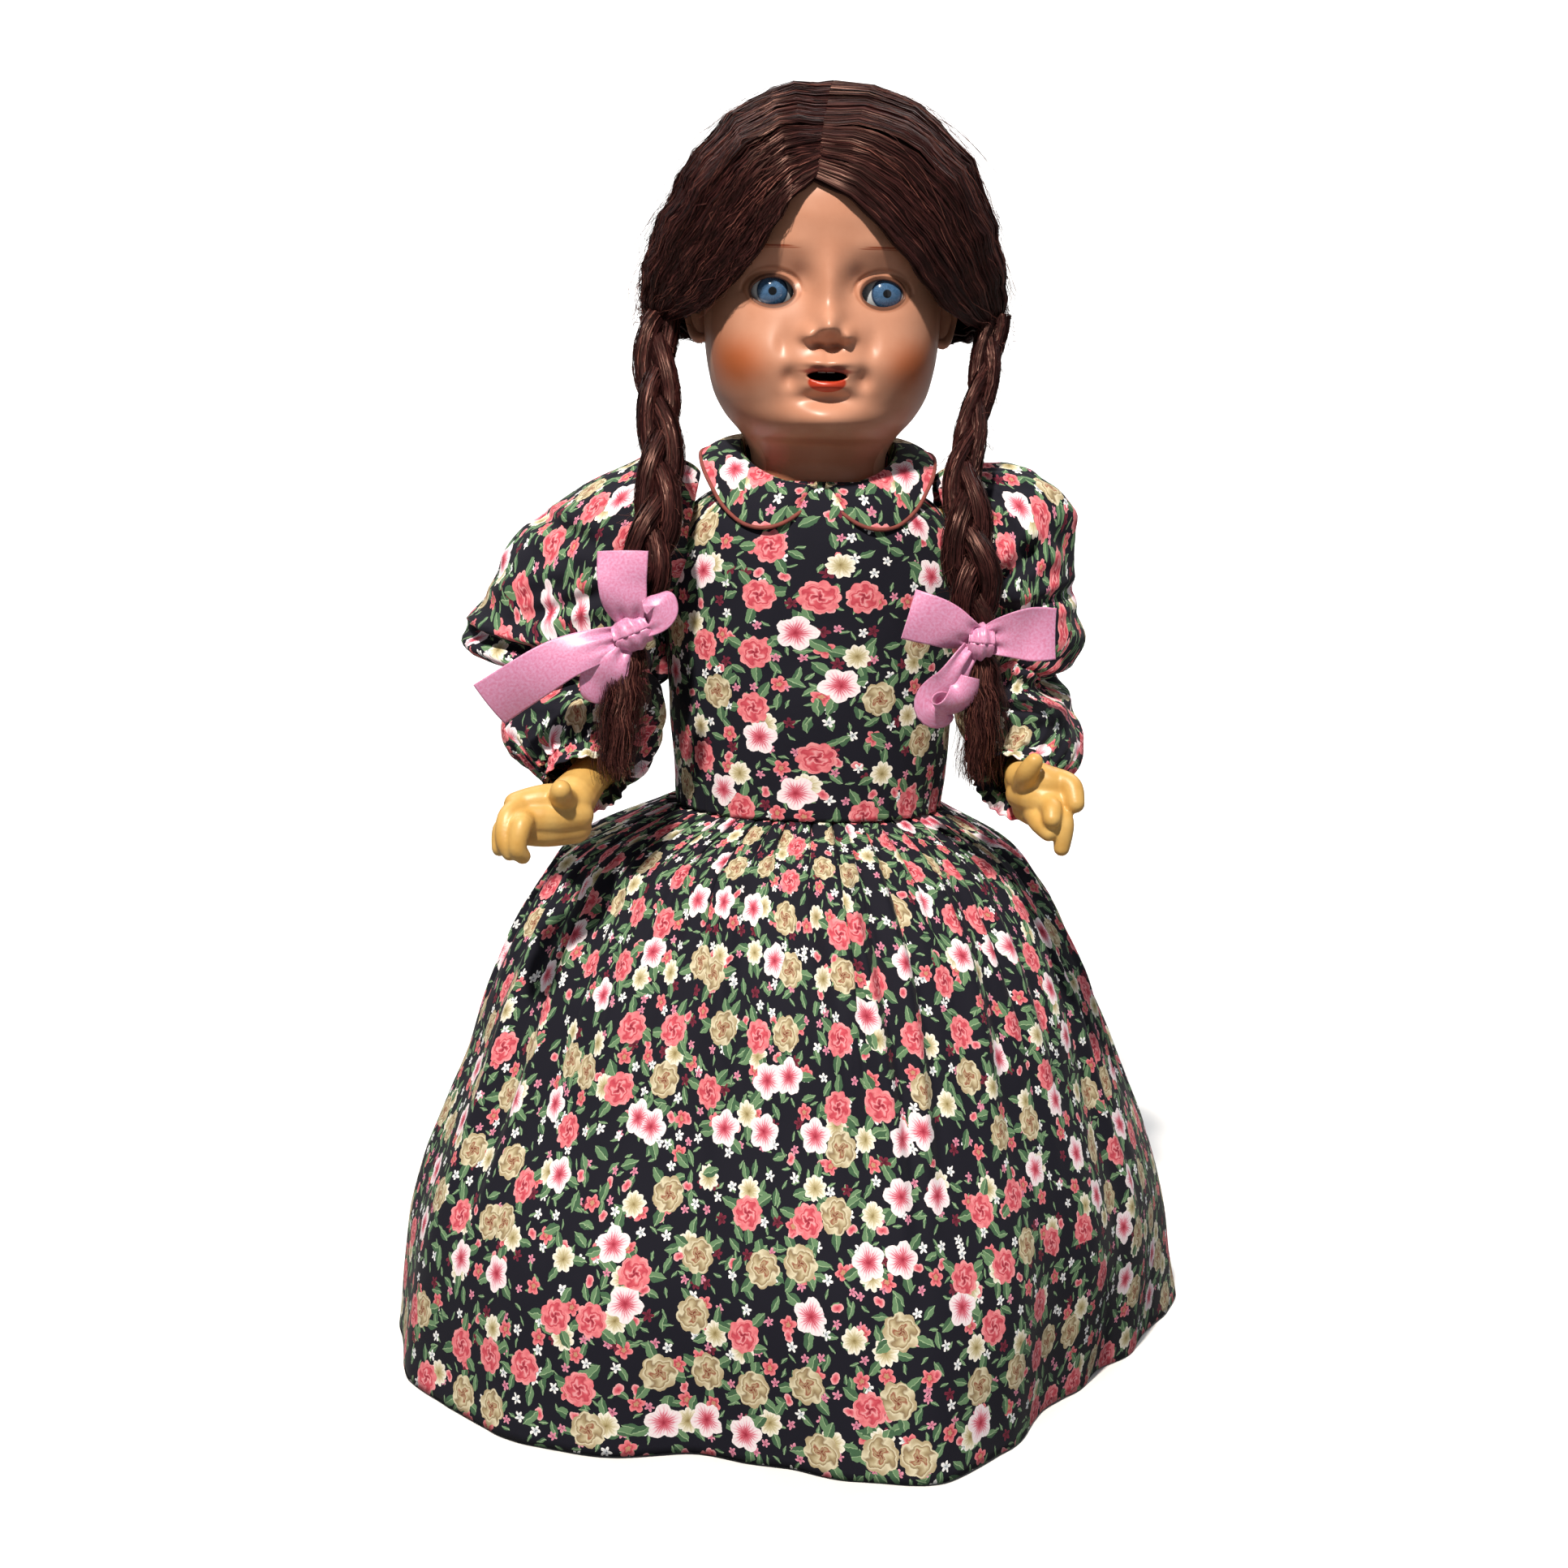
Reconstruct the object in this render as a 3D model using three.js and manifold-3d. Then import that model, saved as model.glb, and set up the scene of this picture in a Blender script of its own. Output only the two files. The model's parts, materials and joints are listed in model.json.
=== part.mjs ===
// A mama doll: a strung composition doll with a socket head, sleep eyes, a tilting crier in the body,
// two ribboned plaits and a gathered cotton dress. She stands on +Z and faces -Y. Lengths are in
// millimetres, and left and right are the doll's own.

import * as THREE from "three";
import { mergeVertices } from "three/addons/utils/BufferGeometryUtils.js";
import Module from "manifold-3d";

const wasm = await Module();
wasm.setup();

// Clearances, cuts and counts of flat sides
const GAP = 0.3;
const TURN_GAP = 0.3;
const OVERRUN = 60;
const MERGE_DISTANCE = 1e-4;
const BALL_SIDES = 10;

// Heights that stack up from the soles
const SHIN_LENGTH = 103;
const THIGH_LENGTH = 97;
const TORSO_BELOW_HIP = 10;
const TORSO_HEIGHT = 172;
const WAIST_RISE = 38;
const NECK_SEAT_DEPTH = 10;
const HEAD_HEIGHT = 158;
const WIG_THICKNESS = 10;

const KNEE_Z = SHIN_LENGTH;
const HIP_Z = KNEE_Z + THIGH_LENGTH;
const TORSO_BOTTOM = HIP_Z - TORSO_BELOW_HIP;
const NECK_SEAT_Z = TORSO_BOTTOM + TORSO_HEIGHT;
const WAIST_Z = TORSO_BOTTOM + WAIST_RISE;
const HEAD_BOTTOM = NECK_SEAT_Z - NECK_SEAT_DEPTH;

// Head
const HEAD_HALF_WIDTH = 48.5;
const HEAD_FRONT = 49;
const HEAD_BACK = 58;
const HEAD_WALL = 3.5;
const HEAD_SIDES = 28;
const HIDDEN_HEAD_SIDES = 14;
const FRONT_CROWDING_SHARE = 0.5;
const NECK_RADIUS = 28;
// Rows of height and radius of the round neck, from its seated end.
const NECK_SHARES = [
  [0, 0.78],
  [0.03, 0.93],
  [0.075, 0.99],
  [0.155, 1],
];
// Rows of height, half width, front and back, from the chin to the crown.
const HEAD_SHARES = [
  [0.19, 0.66, 0.86, 0.52],
  [0.228, 0.76, 0.94, 0.56],
  [0.278, 0.87, 0.98, 0.65],
  [0.342, 0.93, 1, 0.77],
  [0.405, 0.97, 1, 0.87],
  [0.481, 0.99, 0.97, 0.94],
  [0.557, 0.99, 0.94, 0.98],
  [0.652, 1, 0.95, 1],
  [0.747, 0.98, 0.94, 0.98],
  [0.842, 0.91, 0.86, 0.9],
  [0.924, 0.72, 0.67, 0.72],
  [0.975, 0.45, 0.43, 0.47],
  [1, 0.16, 0.16, 0.17],
];
// Rows of place across, place up, half width, half height and rise: nose, bridge, cheek, lips, chin, socket.
const FACE_RELIEF_SHARES = [
  [0, 0.468, 0.1, 0.038, 0.16],
  [0, 0.535, 0.09, 0.06, 0.06],
  [0.56, 0.38, 0.25, 0.065, 0.05],
  [0, 0.345, 0.2, 0.035, 0.05],
  [0, 0.225, 0.2, 0.04, 0.06],
  [0.45, 0.555, 0.2, 0.04, -0.06],
];
const CROWN_CUT_SHARE = 0.87;
const PATE_WALL = 1.6;
const EAR_HALF_HEIGHT = 9;
const EAR_HALF_WIDTH = 3.4;
const EAR_HALF_DEPTH = 5.5;
const EAR_HEIGHT_SHARE = 0.49;
const EAR_BACK = 3;
const NECK_HOLE_RADIUS = 7;

// Eyes and their rocker
const EYE_SPACING = 43.4;
const EYE_HEIGHT_SHARE = 0.544;
const EYE_SET_BACK = 27;
const EYEBALL_RADIUS = 10.5;
const EYE_SIDES = 12;
const EYE_SLOT_HALF_WIDTH = 8.2;
const EYE_SLOT_HALF_HEIGHT = 5.7;
const IRIS_RADIUS = 5.4;
const IRIS_PROUD = 0.2;
const IRIS_DEPTH = 1.8;
const ROCKER_WIRE_RADIUS = 1.1;
const ROCKER_DROP = 21;
const ROCKER_LAG = 2;
const EYE_WEIGHT_WIDTH = 13;
const EYE_WEIGHT_DEPTH = 8;
const EYE_WEIGHT_HEIGHT = 10;

// Mouth
const MOUTH_HEIGHT_SHARE = 0.348;
const MOUTH_HALF_WIDTH = 8;
const MOUTH_HALF_HEIGHT = 2.4;
const TOOTH_WIDTH = 3;
const TOOTH_DROP = 2.2;
const TOOTH_BAR_DEPTH = 5;
const TOOTH_BAR_WIDTH = 12;
const TOOTH_BAR_HEIGHT = 4;
const TONGUE_HALF_WIDTH = 6;
const TONGUE_HALF_LENGTH = 5;
const TONGUE_HALF_HEIGHT = 2;
const TONGUE_DROP = 5.5;

// Neck plug and hook
const NECK_PLUG_RADIUS = 13;
const NECK_PLUG_HEIGHT = 9;
const NECK_WALL_SHARE = 0.4;
const HOOK_WIRE_RADIUS = 0.8;
const WIRE_SIDES = 6;
const HOOK_SIDES = 10;
const HOOK_EYE_RADIUS = 3.2;
const NECK_HOOK_DROP = 30;

// Wig
const WIG_HALF_WIDTH = 70;
const WIG_FRONT = 54;
const WIG_BACK = 72;
const WIG_SIDES = 20;
const WIG_START_SHARE = 0.23;
// Rows of height, half width, front and back, from the nape to the top.
const WIG_SHARES = [
  [0, 0.76, 0.37, 0.84],
  [0.09, 0.89, 0.6, 0.93],
  [0.24, 0.96, 0.84, 0.98],
  [0.39, 1, 0.96, 1],
  [0.51, 1, 1, 1],
  [0.62, 0.965, 1, 0.975],
  [0.735, 0.9, 0.96, 0.92],
  [0.825, 0.78, 0.87, 0.83],
  [0.9, 0.61, 0.71, 0.69],
  [0.96, 0.38, 0.45, 0.47],
  [1, 0.12, 0.15, 0.17],
];
// The face's outline in the hair, as shares of the head's half width and height.
const HAIRLINE_SHARES = [
  [0, 0.822],
  [0.36, 0.755],
  [0.66, 0.655],
  [0.88, 0.5],
  [0.97, 0.39],
  [1.06, 0.27],
  [1, 0.15],
];
const HAIRLINE_BACK = 6;

// Plaits, listed down the middle of each: across, depth and height, all in millimetres
const PLAIT_SIDES = 8;
const PLAIT_LEFT_POINTS = [
  [69, -6, 431],
  [66, -16, 412],
  [61, -27, 391],
  [56, -40, 371],
  [57, -52, 350],
  [59, -59, 328],
  [62, -62, 306],
  [63, -63, 290],
  [64, -63, 270],
  [63, -61, 249],
];
const PLAIT_RIGHT_POINTS = [
  [-66, -6, 428],
  [-67, -17, 408],
  [-65, -29, 388],
  [-64, -42, 367],
  [-66, -53, 346],
  [-70, -60, 326],
  [-74, -64, 307],
  [-76, -67, 290],
  [-77, -71, 272],
  [-78, -76, 255],
];
const PLAIT_RADIUS = 8.6;
const PLAIT_RADIUS_SHARES = [0.85, 1, 0.95, 1, 1.2, 1.2, 0.72, 1.05, 1.2, 0.55];
const PLAIT_FLATNESS_SHARE = 0.75;
const PLAIT_BOW_SHARE = 2 / 3;
const PLAIT_STEPS = 22;
const PLAIT_LOBES = 9;
const PLAIT_LOBE_SHARE = 0.1;

// Ribbons
const RIBBON_WIDTH = 20;
const RIBBON_STEPS = 5;
const RIBBON_SIDES = 6;
const RIBBON_THICKNESS = 1.2;
const KNOT_RADIUS = 7;
const KNOT_HALF_LENGTH = 8.5;
const KNOT_PROUD = 5;
const BAND_THICKNESS = 1.4;
const BAND_HALF_HEIGHT = 4.5;
// Each ribbon's loops and tails: where they run from the knot, in millimetres.
const BOW_LEFT_RUNS = [
  [[-3, 0, 2], [-14, -5, 5], [-29, -5, 11]],
  [[3, 0, 1], [14, -6, 3], [27, -2, 4]],
  [[-4, -1, -5], [-10, -3, -13], [-15, 0, -22]],
];
const BOW_RIGHT_RUNS = [
  [[-2, 0, 4], [-4, -4, 15], [-5, -2, 31]],
  [[-5, 0, -2], [-22, -5, -7], [-38, -5, -17], [-55, -2, -29]],
  [[-2, -1, -5], [-8, -4, -13], [-11, 0, -23]],
];

// Torso
const TORSO_HALF_WIDTH = 49;
const TORSO_FRONT = 39.5;
const TORSO_BACK = 34;
const TORSO_WALL = 4;
const TORSO_SIDES = 18;
const HIDDEN_TORSO_SIDES = 10;
// Rows of height, half width, front and back, from the crotch to the neck seat.
const TORSO_SHARES = [
  [0, 0.6, 0.6, 0.68],
  [0.03, 0.86, 0.82, 0.92],
  [0.07, 0.95, 0.9, 1],
  [0.15, 1, 0.97, 1],
  [0.24, 1, 1, 0.95],
  [0.35, 0.98, 0.98, 0.9],
  [0.48, 0.96, 0.91, 0.91],
  [0.62, 0.95, 0.85, 0.93],
  [0.75, 0.97, 0.82, 0.93],
  [0.86, 0.97, 0.77, 0.88],
  [0.93, 0.88, 0.75, 0.86],
  [1, 0.66, 0.75, 0.85],
];
const SOUND_HOLE_RADIUS = 1.7;
const SOUND_HOLE_RING_RADIUS = 8;
const SOUND_HOLES = 6;

// Crier
const CRIER_RADIUS = 20;
const CRIER_SIDES = 12;
const CRIER_LENGTH = 36;
const CRIER_WALL = 1.2;
const CRIER_DROP_FROM_NECK = 92;
const CRIER_TILT = THREE.MathUtils.degToRad(15);
const CRIER_BACK_REACH = 24;
const CRIER_SEAT_DEPTH = 9;
const CRIER_SEAT_WALL = 2.4;
const GRILLE_THICKNESS = 1.5;
const REED_PLATE_THICKNESS = 2;
const REED_PLATE_SET_BACK = 2;
const REED_LENGTH = 14;
const REED_WIDTH = 5;
const REED_HEIGHT = 1;
const BELLOWS_RADIUS = 15;
const BELLOWS_RIB_DEPTH = 2.5;
const BELLOWS_PRESSED_LENGTH = 8;
const BELLOWS_RIBS = 3;
const CRIER_WEIGHT_RADIUS = 14;
const CRIER_WEIGHT_THICKNESS = 8;

// Arms, given for the left side
const SHOULDER_X = 52;
const SHOULDER_DROP = 24;
const SHOULDER_BALL_RADIUS = 15;
const SOCKET_WALL = 3;
const SOCKET_SIDES = 8;
const SOCKET_PASSAGE_RADIUS = 5.5;
const HIP_SLOT_HALF_LENGTH = 13;
const UPPER_ARM_RUN = new THREE.Vector3(53, 4, -60);
const UPPER_ARM_RADIUS = 11;
const ARM_BOW = 2;
const ELBOW_BALL_RADIUS = 10.5;
const FOREARM_RUN = new THREE.Vector3(-19, -58, -32);
const FOREARM_RADIUS = 11;
const WRIST_RADIUS = 7.5;
const ARM_SIDES = 10;
// Rows of place along and radius share.
const UPPER_ARM_SHARES = [
  [0.1, 0.7],
  [0.25, 0.7],
  [0.5, 0.78],
  [0.75, 0.9],
  [0.94, 0.6],
];
const FOREARM_SHARES = [
  [0.11, 0.72],
  [0.2, 0.96],
  [0.38, 1],
  [0.65, 0.86],
];

// Hands
const HAND_RUN = new THREE.Vector3(12, -16, -7);
const PALM_HALF_WIDTH = 10.5;
const PALM_HALF_THICKNESS = 6;
const FINGER_RADIUS = 3.2;
const FINGER_SIDES = 6;
const PALM_SIDES = 8;
const PALM_SHARES = [
  [0.1, 0.7],
  [0.4, 0.95],
  [0.8, 1],
  [1, 0.7],
];
const FINGER_SHARES = [1, 1, 0.95, 0.85, 0.5];
// Each finger's course from the wrist, first the thumb, in millimetres.
const FINGER_RUNS = [
  [[2, -5, 2], [4, -9, 8], [5, -13, 13], [5, -15, 18]],
  [[8, -9, 0], [14, -15, 1], [20, -20, -2], [22, -25, -8]],
  [[7, -11, -3], [13, -19, -5], [17, -26, -9], [15, -31, -14]],
  [[6, -11, -6], [11, -19, -10], [14, -25, -15], [11, -28, -20]],
  [[5, -10, -8], [9, -16, -13], [13, -20, -19], [15, -21, -26]],
];

// Legs
const HIP_X = 27;
const HIP_BALL_RADIUS = 20;
const THIGH_RADIUS = 19;
const KNEE_BALL_RADIUS = 14;
const CALF_RADIUS = 15;
const ANKLE_RADIUS = 10.5;
const LEG_SIDES = 10;
const THIGH_SHARES = [
  [0.12, 0.72],
  [0.24, 0.82],
  [0.45, 1],
  [0.7, 0.92],
  [0.9, 0.62],
];
const CALF_SHARES = [
  [0.1, 0.72],
  [0.17, 0.94],
  [0.35, 1],
  [0.55, 0.88],
];
const FOOT_HALF_WIDTH = 14;
const FOOT_HEIGHT = 24;
const HEEL_REACH = 15;
const TOE_REACH = 42;
// Rows of place along the foot, half width and height, from heel to toe.
const FOOT_SHARES = [
  [0, 0.45, 0.5],
  [0.08, 0.74, 0.8],
  [0.28, 0.8, 1],
  [0.52, 0.88, 0.82],
  [0.74, 1, 0.56],
  [0.92, 0.86, 0.42],
  [1, 0.5, 0.26],
];

// Stringing
const ELASTIC_RADIUS = 1.2;
const ELASTIC_SIDES = 6;
const ARM_LOOP_STEPS = 20;
const LEG_CORD_STEPS = 28;
const KNOT_SHARE = 1.8;
const BESIDE_CRIER = 26;
const LOOP_HALF_WIDTH = 3;
const ARM_EYE_X = 30;
const LEG_HOOK_RISE = 27;

// Dress
const CLOTH = 1.3;
const BODICE_SIDES = 24;
const BODICE_TOP_INSET = 12;
const BODICE_HALF_WIDTH = 61;
const BODICE_FRONT = 44.5;
const BODICE_BACK = 39.5;
// Rows of height above the waist, half width, front and back.
const BODICE_SHARES = [
  [0, 0.885, 0.99, 0.98],
  [0.16, 0.93, 0.985, 0.95],
  [0.4, 0.98, 0.94, 0.94],
  [0.6, 1, 0.9, 0.95],
  [0.78, 0.985, 0.86, 0.94],
  [0.89, 0.9, 0.8, 0.89],
  [0.96, 0.76, 0.75, 0.85],
  [1, 0.62, 0.74, 0.82],
];
const BODICE_TOP_DROP = 1;
const BODICE_HEIGHT = NECK_SEAT_Z - BODICE_TOP_DROP - WAIST_Z;
const ARMHOLE_RADIUS = 27;
const ARMHOLE_X = 44;
const SKIRT_WALL = 2;
const SKIRT_RADIUS = 165;
const SKIRT_WAIST_DEPTH_SHARE = 0.77;
const HEM_CLEARANCE = 0.5;
const SKIRT_FOLDS = 12;
const SKIRT_FOLD_DEPTH = 5;
const GATHERS = 24;
const GATHER_DEPTH = 1.8;
const SKIRT_SIDES = 72;
// Rows of height above the hem and radius.
const SKIRT_SHARES = [
  [0, 1],
  [0.27, 0.925],
  [0.51, 0.8],
  [0.74, 0.665],
  [0.9, 0.49],
  [1, 0.342],
];
const BUTTONS = 4;
const BUTTON_RADIUS = 4.5;
const BUTTON_THICKNESS = 2;
const BUTTON_SIDES = 8;

// Sleeves, given for the left side as places from the shoulder's centre, in millimetres
const SLEEVE_SIDES = 16;
const SLEEVE_FOLDS = 5;
const SLEEVE_FOLD_SHARE = 0.05;
const SLEEVE_RUN = [
  [11, 0, 0],
  [16, 0, 0],
  [30.5, -1, -5],
  [44, -2, -20],
  [50, -3, -36],
  [51, -6, -50],
  [50, -13, -62],
  [47, -24, -71],
  [43, -35, -79],
  [38, -45, -86],
];
const SLEEVE_RADIUS = 35;
const SLEEVE_SHARES = [0.77, 0.83, 0.86, 0.97, 1, 0.91, 0.78, 0.7, 0.6, 0.43];
const SLEEVE_ELBOW_SHARE = 2 / 3;
const CUFF_LENGTH = 7;
const CUFF_RADIUS = 15;

// Collar
const COLLAR_INNER_RADIUS = 30.5;
const COLLAR_DEPTH = 16;
const COLLAR_STAND = 1.6;
const COLLAR_BACK_RISE = 8;
const COLLAR_FRONT_FALL = 15;
const COLLAR_BACK_FALL = 8;
const COLLAR_SIDE_LIFT = 6;
const COLLAR_WALL = 1.5;
const COLLAR_STEPS = 16;
const COLLAR_FRONT_ANGLE = THREE.MathUtils.degToRad(7);
const COLLAR_BACK_ANGLE = THREE.MathUtils.degToRad(176);
const COLLAR_CORNER_ANGLE = THREE.MathUtils.degToRad(38);
const COLLAR_CORNER_SHARE = 0.12;
const PIPING_RADIUS = 0.8;

// The first, last and every second row between.
const everyOther = (rows) => rows.filter((_, k) => k % 2 === 0 || k === rows.length - 1);

// A point from a list of three numbers.
const point = (list) => new THREE.Vector3(...list);
const mirrored = (p) => new THREE.Vector3(-p.x, p.y, p.z);

// One closed body from rings of equal counts: a loop joins last to first, and an open run is capped.
function grid(rings, { loop = false } = {}) {
  const count = rings[0].length;
  const positions = rings.flat().flatMap((p) => [p.x, p.y, p.z]);
  const index = [];
  const bands = loop ? rings.length : rings.length - 1;
  for (let r = 0; r < bands; r++) {
    const here = r * count;
    const next = ((r + 1) % rings.length) * count;
    for (let i = 0; i < count; i++) {
      const j = (i + 1) % count;
      index.push(here + i, here + j, next + i, here + j, next + j, next + i);
    }
  }
  if (!loop) {
    for (const [ring, turn] of [[0, 1], [rings.length - 1, -1]]) {
      const centre = positions.length / 3;
      const middle = new THREE.Vector3();
      rings[ring].forEach((p) => middle.addScaledVector(p, 1 / count));
      positions.push(middle.x, middle.y, middle.z);
      for (let i = 0; i < count; i++) {
        const a = ring * count + i;
        const b = ring * count + ((i + 1) % count);
        index.push(centre, ...(turn > 0 ? [b, a] : [a, b]));
      }
    }
  }
  const geometry = new THREE.BufferGeometry();
  geometry.setAttribute("position", new THREE.Float32BufferAttribute(positions, 3));
  geometry.setIndex(index);
  return facingOut(geometry);
}

// The same faces, turned round if they enclose a negative volume.
function facingOut(geometry) {
  const { array } = geometry.getAttribute("position");
  const index = geometry.index.array;
  const corner = (i) => new THREE.Vector3().fromArray(array, index[i] * 3);
  let volume = 0;
  for (let i = 0; i < index.length; i += 3) {
    volume += corner(i).dot(corner(i + 1).cross(corner(i + 2)));
  }
  if (volume < 0) {
    for (let i = 0; i < index.length; i += 3) {
      [index[i + 1], index[i + 2]] = [index[i + 2], index[i + 1]];
    }
  }
  return geometry;
}

// A geometry as a solid that can be cut and joined.
function solid(geometry) {
  const bare = geometry.index ? geometry.toNonIndexed() : geometry.clone();
  for (const name of Object.keys(bare.attributes)) {
    if (name !== "position") {
      bare.deleteAttribute(name);
    }
  }
  const merged = mergeVertices(bare, MERGE_DISTANCE);
  return new wasm.Manifold(
    new wasm.Mesh({
      numProp: 3,
      vertProperties: new Float32Array(merged.attributes.position.array),
      triVerts: new Uint32Array(merged.index.array),
    }),
  );
}

// A solid as a geometry.
function shape(manifold) {
  const mesh = manifold.getMesh();
  const geometry = new THREE.BufferGeometry();
  geometry.setAttribute("position", new THREE.Float32BufferAttribute(mesh.vertProperties, 3));
  geometry.setIndex(Array.from(mesh.triVerts));
  return geometry;
}

// A geometry's mirror image for the doll's right side.
const forSide = (geometry, side) =>
  side > 0 ? geometry : facingOut(geometry.clone().scale(-1, 1, 1));

// The even number of rows that a ball of so many sides has from pole to pole.
const ballRows = (sides) => 2 * Math.round(sides / 4);

// A round ball with its centre at a point.
const ball = (radius, at, sides = BALL_SIDES) =>
  new THREE.SphereGeometry(radius, sides, ballRows(sides)).translate(at.x, at.y, at.z);

// A ball whose flat faces touch its radius from outside, for a seat that another ball turns in. Its
// faces are half a step off that ball's, so the two lie close.
function seatBall(radius, at, sides = BALL_SIDES) {
  const rows = ballRows(sides) + 1;
  const outside = radius / (Math.cos(Math.PI / sides) * Math.cos(Math.PI / (2 * rows)));
  return new THREE.SphereGeometry(outside, sides, rows).rotateY(Math.PI / sides).translate(at.x, at.y, at.z);
}

// A bar whose axis runs along Y through a point.
const barAlongY = (radiusX, radiusZ, length, at, sides = BALL_SIDES) =>
  new THREE.CylinderGeometry(1, 1, length, sides)
    .scale(radiusX, 1, radiusZ)
    .translate(at.x, at.y, at.z);

// A block with its centre at a point.
const block = (width, depth, height, at) =>
  new THREE.BoxGeometry(width, depth, height).translate(at.x, at.y, at.z);

// One oval ring round the vertical, with its own front and back depth.
function oval(z, halfWidth, front, back, sides, crowding = 0) {
  return Array.from({ length: sides }, (_, i) => {
    const even = (2 * Math.PI * i) / sides;
    const angle = even - crowding * Math.sin(even);
    const depth = Math.cos(angle) > 0 ? front : back;
    return new THREE.Vector3(halfWidth * Math.sin(angle), -depth * Math.cos(angle), z);
  });
}

// Rings down a run of points, each with a half width and a half depth, carried without twist.
function runRings(points, radii, sides, fold = () => 1, startNormal = new THREE.Vector3(0, -1, 0)) {
  const side = new THREE.Vector3();
  const normal = startNormal.clone();
  return points.map((at, k) => {
    const before = points[Math.max(k - 1, 0)];
    const after = points[Math.min(k + 1, points.length - 1)];
    const along = after.clone().sub(before).normalize();
    normal.addScaledVector(along, -normal.dot(along)).normalize();
    side.crossVectors(along, normal);
    const [wide, deep] = Array.isArray(radii[k]) ? radii[k] : [radii[k], radii[k]];
    return Array.from({ length: sides }, (_, i) => {
      const angle = (2 * Math.PI * i) / sides;
      const scale = fold(k / (points.length - 1), angle);
      return at
        .clone()
        .addScaledVector(side, wide * scale * Math.sin(angle))
        .addScaledVector(normal, deep * scale * Math.cos(angle));
    });
  });
}

// A straight wire between two points.
const wire = (from, to, radius, sides = WIRE_SIDES) =>
  grid(runRings([from, to], [radius, radius], sides, undefined, sideways(from, to)));

// A direction square to a straight line.
function sideways(from, to) {
  const along = to.clone().sub(from).normalize();
  const start = Math.abs(along.x) < Math.SQRT1_2 ? new THREE.Vector3(1, 0, 0) : new THREE.Vector3(0, 1, 0);
  return start.addScaledVector(along, -start.dot(along)).normalize();
}

// A closed loop of cord through a list of points.
function cordLoop(points, radius, steps) {
  const curve = new THREE.CatmullRomCurve3(points, true, "centripetal");
  const path = curve.getSpacedPoints(steps).slice(0, steps);
  const closed = [path[steps - 1], ...path, path[0]];
  const up = new THREE.Vector3(0, 1, 0);
  const rings = path.map((at, k) => {
    const along = closed[k + 2].clone().sub(closed[k]).normalize();
    const across = new THREE.Vector3().crossVectors(along, up).normalize();
    const rise = new THREE.Vector3().crossVectors(across, along);
    return Array.from({ length: ELASTIC_SIDES }, (_, i) => {
      const angle = (2 * Math.PI * i) / ELASTIC_SIDES;
      return at
        .clone()
        .addScaledVector(across, radius * Math.cos(angle))
        .addScaledVector(rise, radius * Math.sin(angle));
    });
  });
  return grid(rings, { loop: true });
}

// Materials
const finish = (color, roughness, metalness = 0) =>
  new THREE.MeshStandardMaterial({ color, roughness, metalness });
const skin = finish(0xd29a78, 0.4);
const paleSkin = finish(0xd6a85e, 0.45);
const card = finish(0xb59c78, 0.9);
const hair = finish(0x3d201a, 0.45);
const ribbon = finish(0xe08fb4, 0.35);
const glassWhite = finish(0xf0efe8, 0.15);
const irisBlue = finish(0x6d93c4, 0.1);
const ivory = finish(0xf2ead6, 0.3);
const tongueRed = finish(0xb8402e, 0.5);
const timber = finish(0xb98b5a, 0.7);
const steel = finish(0x9a9a9c, 0.35, 1);
const lead = finish(0x6e7074, 0.6, 0.8);
const rubberCord = finish(0xe6e0d2, 0.8);
const leather = finish(0xa87f56, 0.7);
const print = finish(0x1d1f33, 0.85);
const trim = finish(0x8c3b34, 0.8);
const buttonPearl = finish(0xe9e4da, 0.3);

const doll = new THREE.Group();

// Adds a named piece to a group.
function piece(name, geometry, material, parent) {
  const mesh = new THREE.Mesh(geometry, material);
  mesh.name = name;
  parent.add(mesh);
  return mesh;
}

// The neck's and the head's rows as heights and half sizes.
const NECK_ROWS = NECK_SHARES.map(([up, radius]) => [
  HEAD_BOTTOM + up * HEAD_HEIGHT,
  ...[radius, radius, radius].map((share) => share * NECK_RADIUS),
]);
const HEAD_ROWS = HEAD_SHARES.map(([up, wide, front, back]) => [
  HEAD_BOTTOM + up * HEAD_HEIGHT,
  wide * HEAD_HALF_WIDTH,
  front * HEAD_FRONT,
  back * HEAD_BACK,
]);

const HOLLOW_ROWS = [...everyOther(NECK_ROWS), ...everyOther(HEAD_ROWS)];

// The head's own surface with the face's relief.
function facedHead() {
  const faceRings = HEAD_ROWS.map(([z, ...sizes]) => {
    const ring = oval(z, ...sizes, HEAD_SIDES, FRONT_CROWDING_SHARE);
    ring.forEach((p) => {
      p.y -= p.y < 0 ? faceRise(Math.abs(p.x), z) : 0;
    });
    return ring;
  });
  return grid([...NECK_ROWS.map(([z, ...sizes]) => oval(z, ...sizes, HEAD_SIDES)), ...faceRings]);
}

// The head's plain surface in fewer sides, drawn in or out all round.
function plainHead(inset, rows = [...NECK_ROWS, ...HEAD_ROWS]) {
  const rings = rows.map(([z, ...sizes]) => oval(z, ...sizes.map((size) => size - inset), HIDDEN_HEAD_SIDES));
  rings[0].forEach((p) => (p.z += inset));
  rings[rings.length - 1].forEach((p) => (p.z -= inset));
  return grid(rings);
}

// How far the face stands out at a place.
function faceRise(across, z) {
  return FACE_RELIEF_SHARES.reduce((sum, [x, up, halfWidth, halfHeight, rise]) => {
    const dx = (across - x * HEAD_HALF_WIDTH) / (halfWidth * HEAD_HALF_WIDTH);
    const dz = (z - HEAD_BOTTOM - up * HEAD_HEIGHT) / (halfHeight * HEAD_HEIGHT);
    return sum + rise * HEAD_FRONT * Math.exp(-dx * dx - dz * dz);
  }, 0);
}

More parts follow.
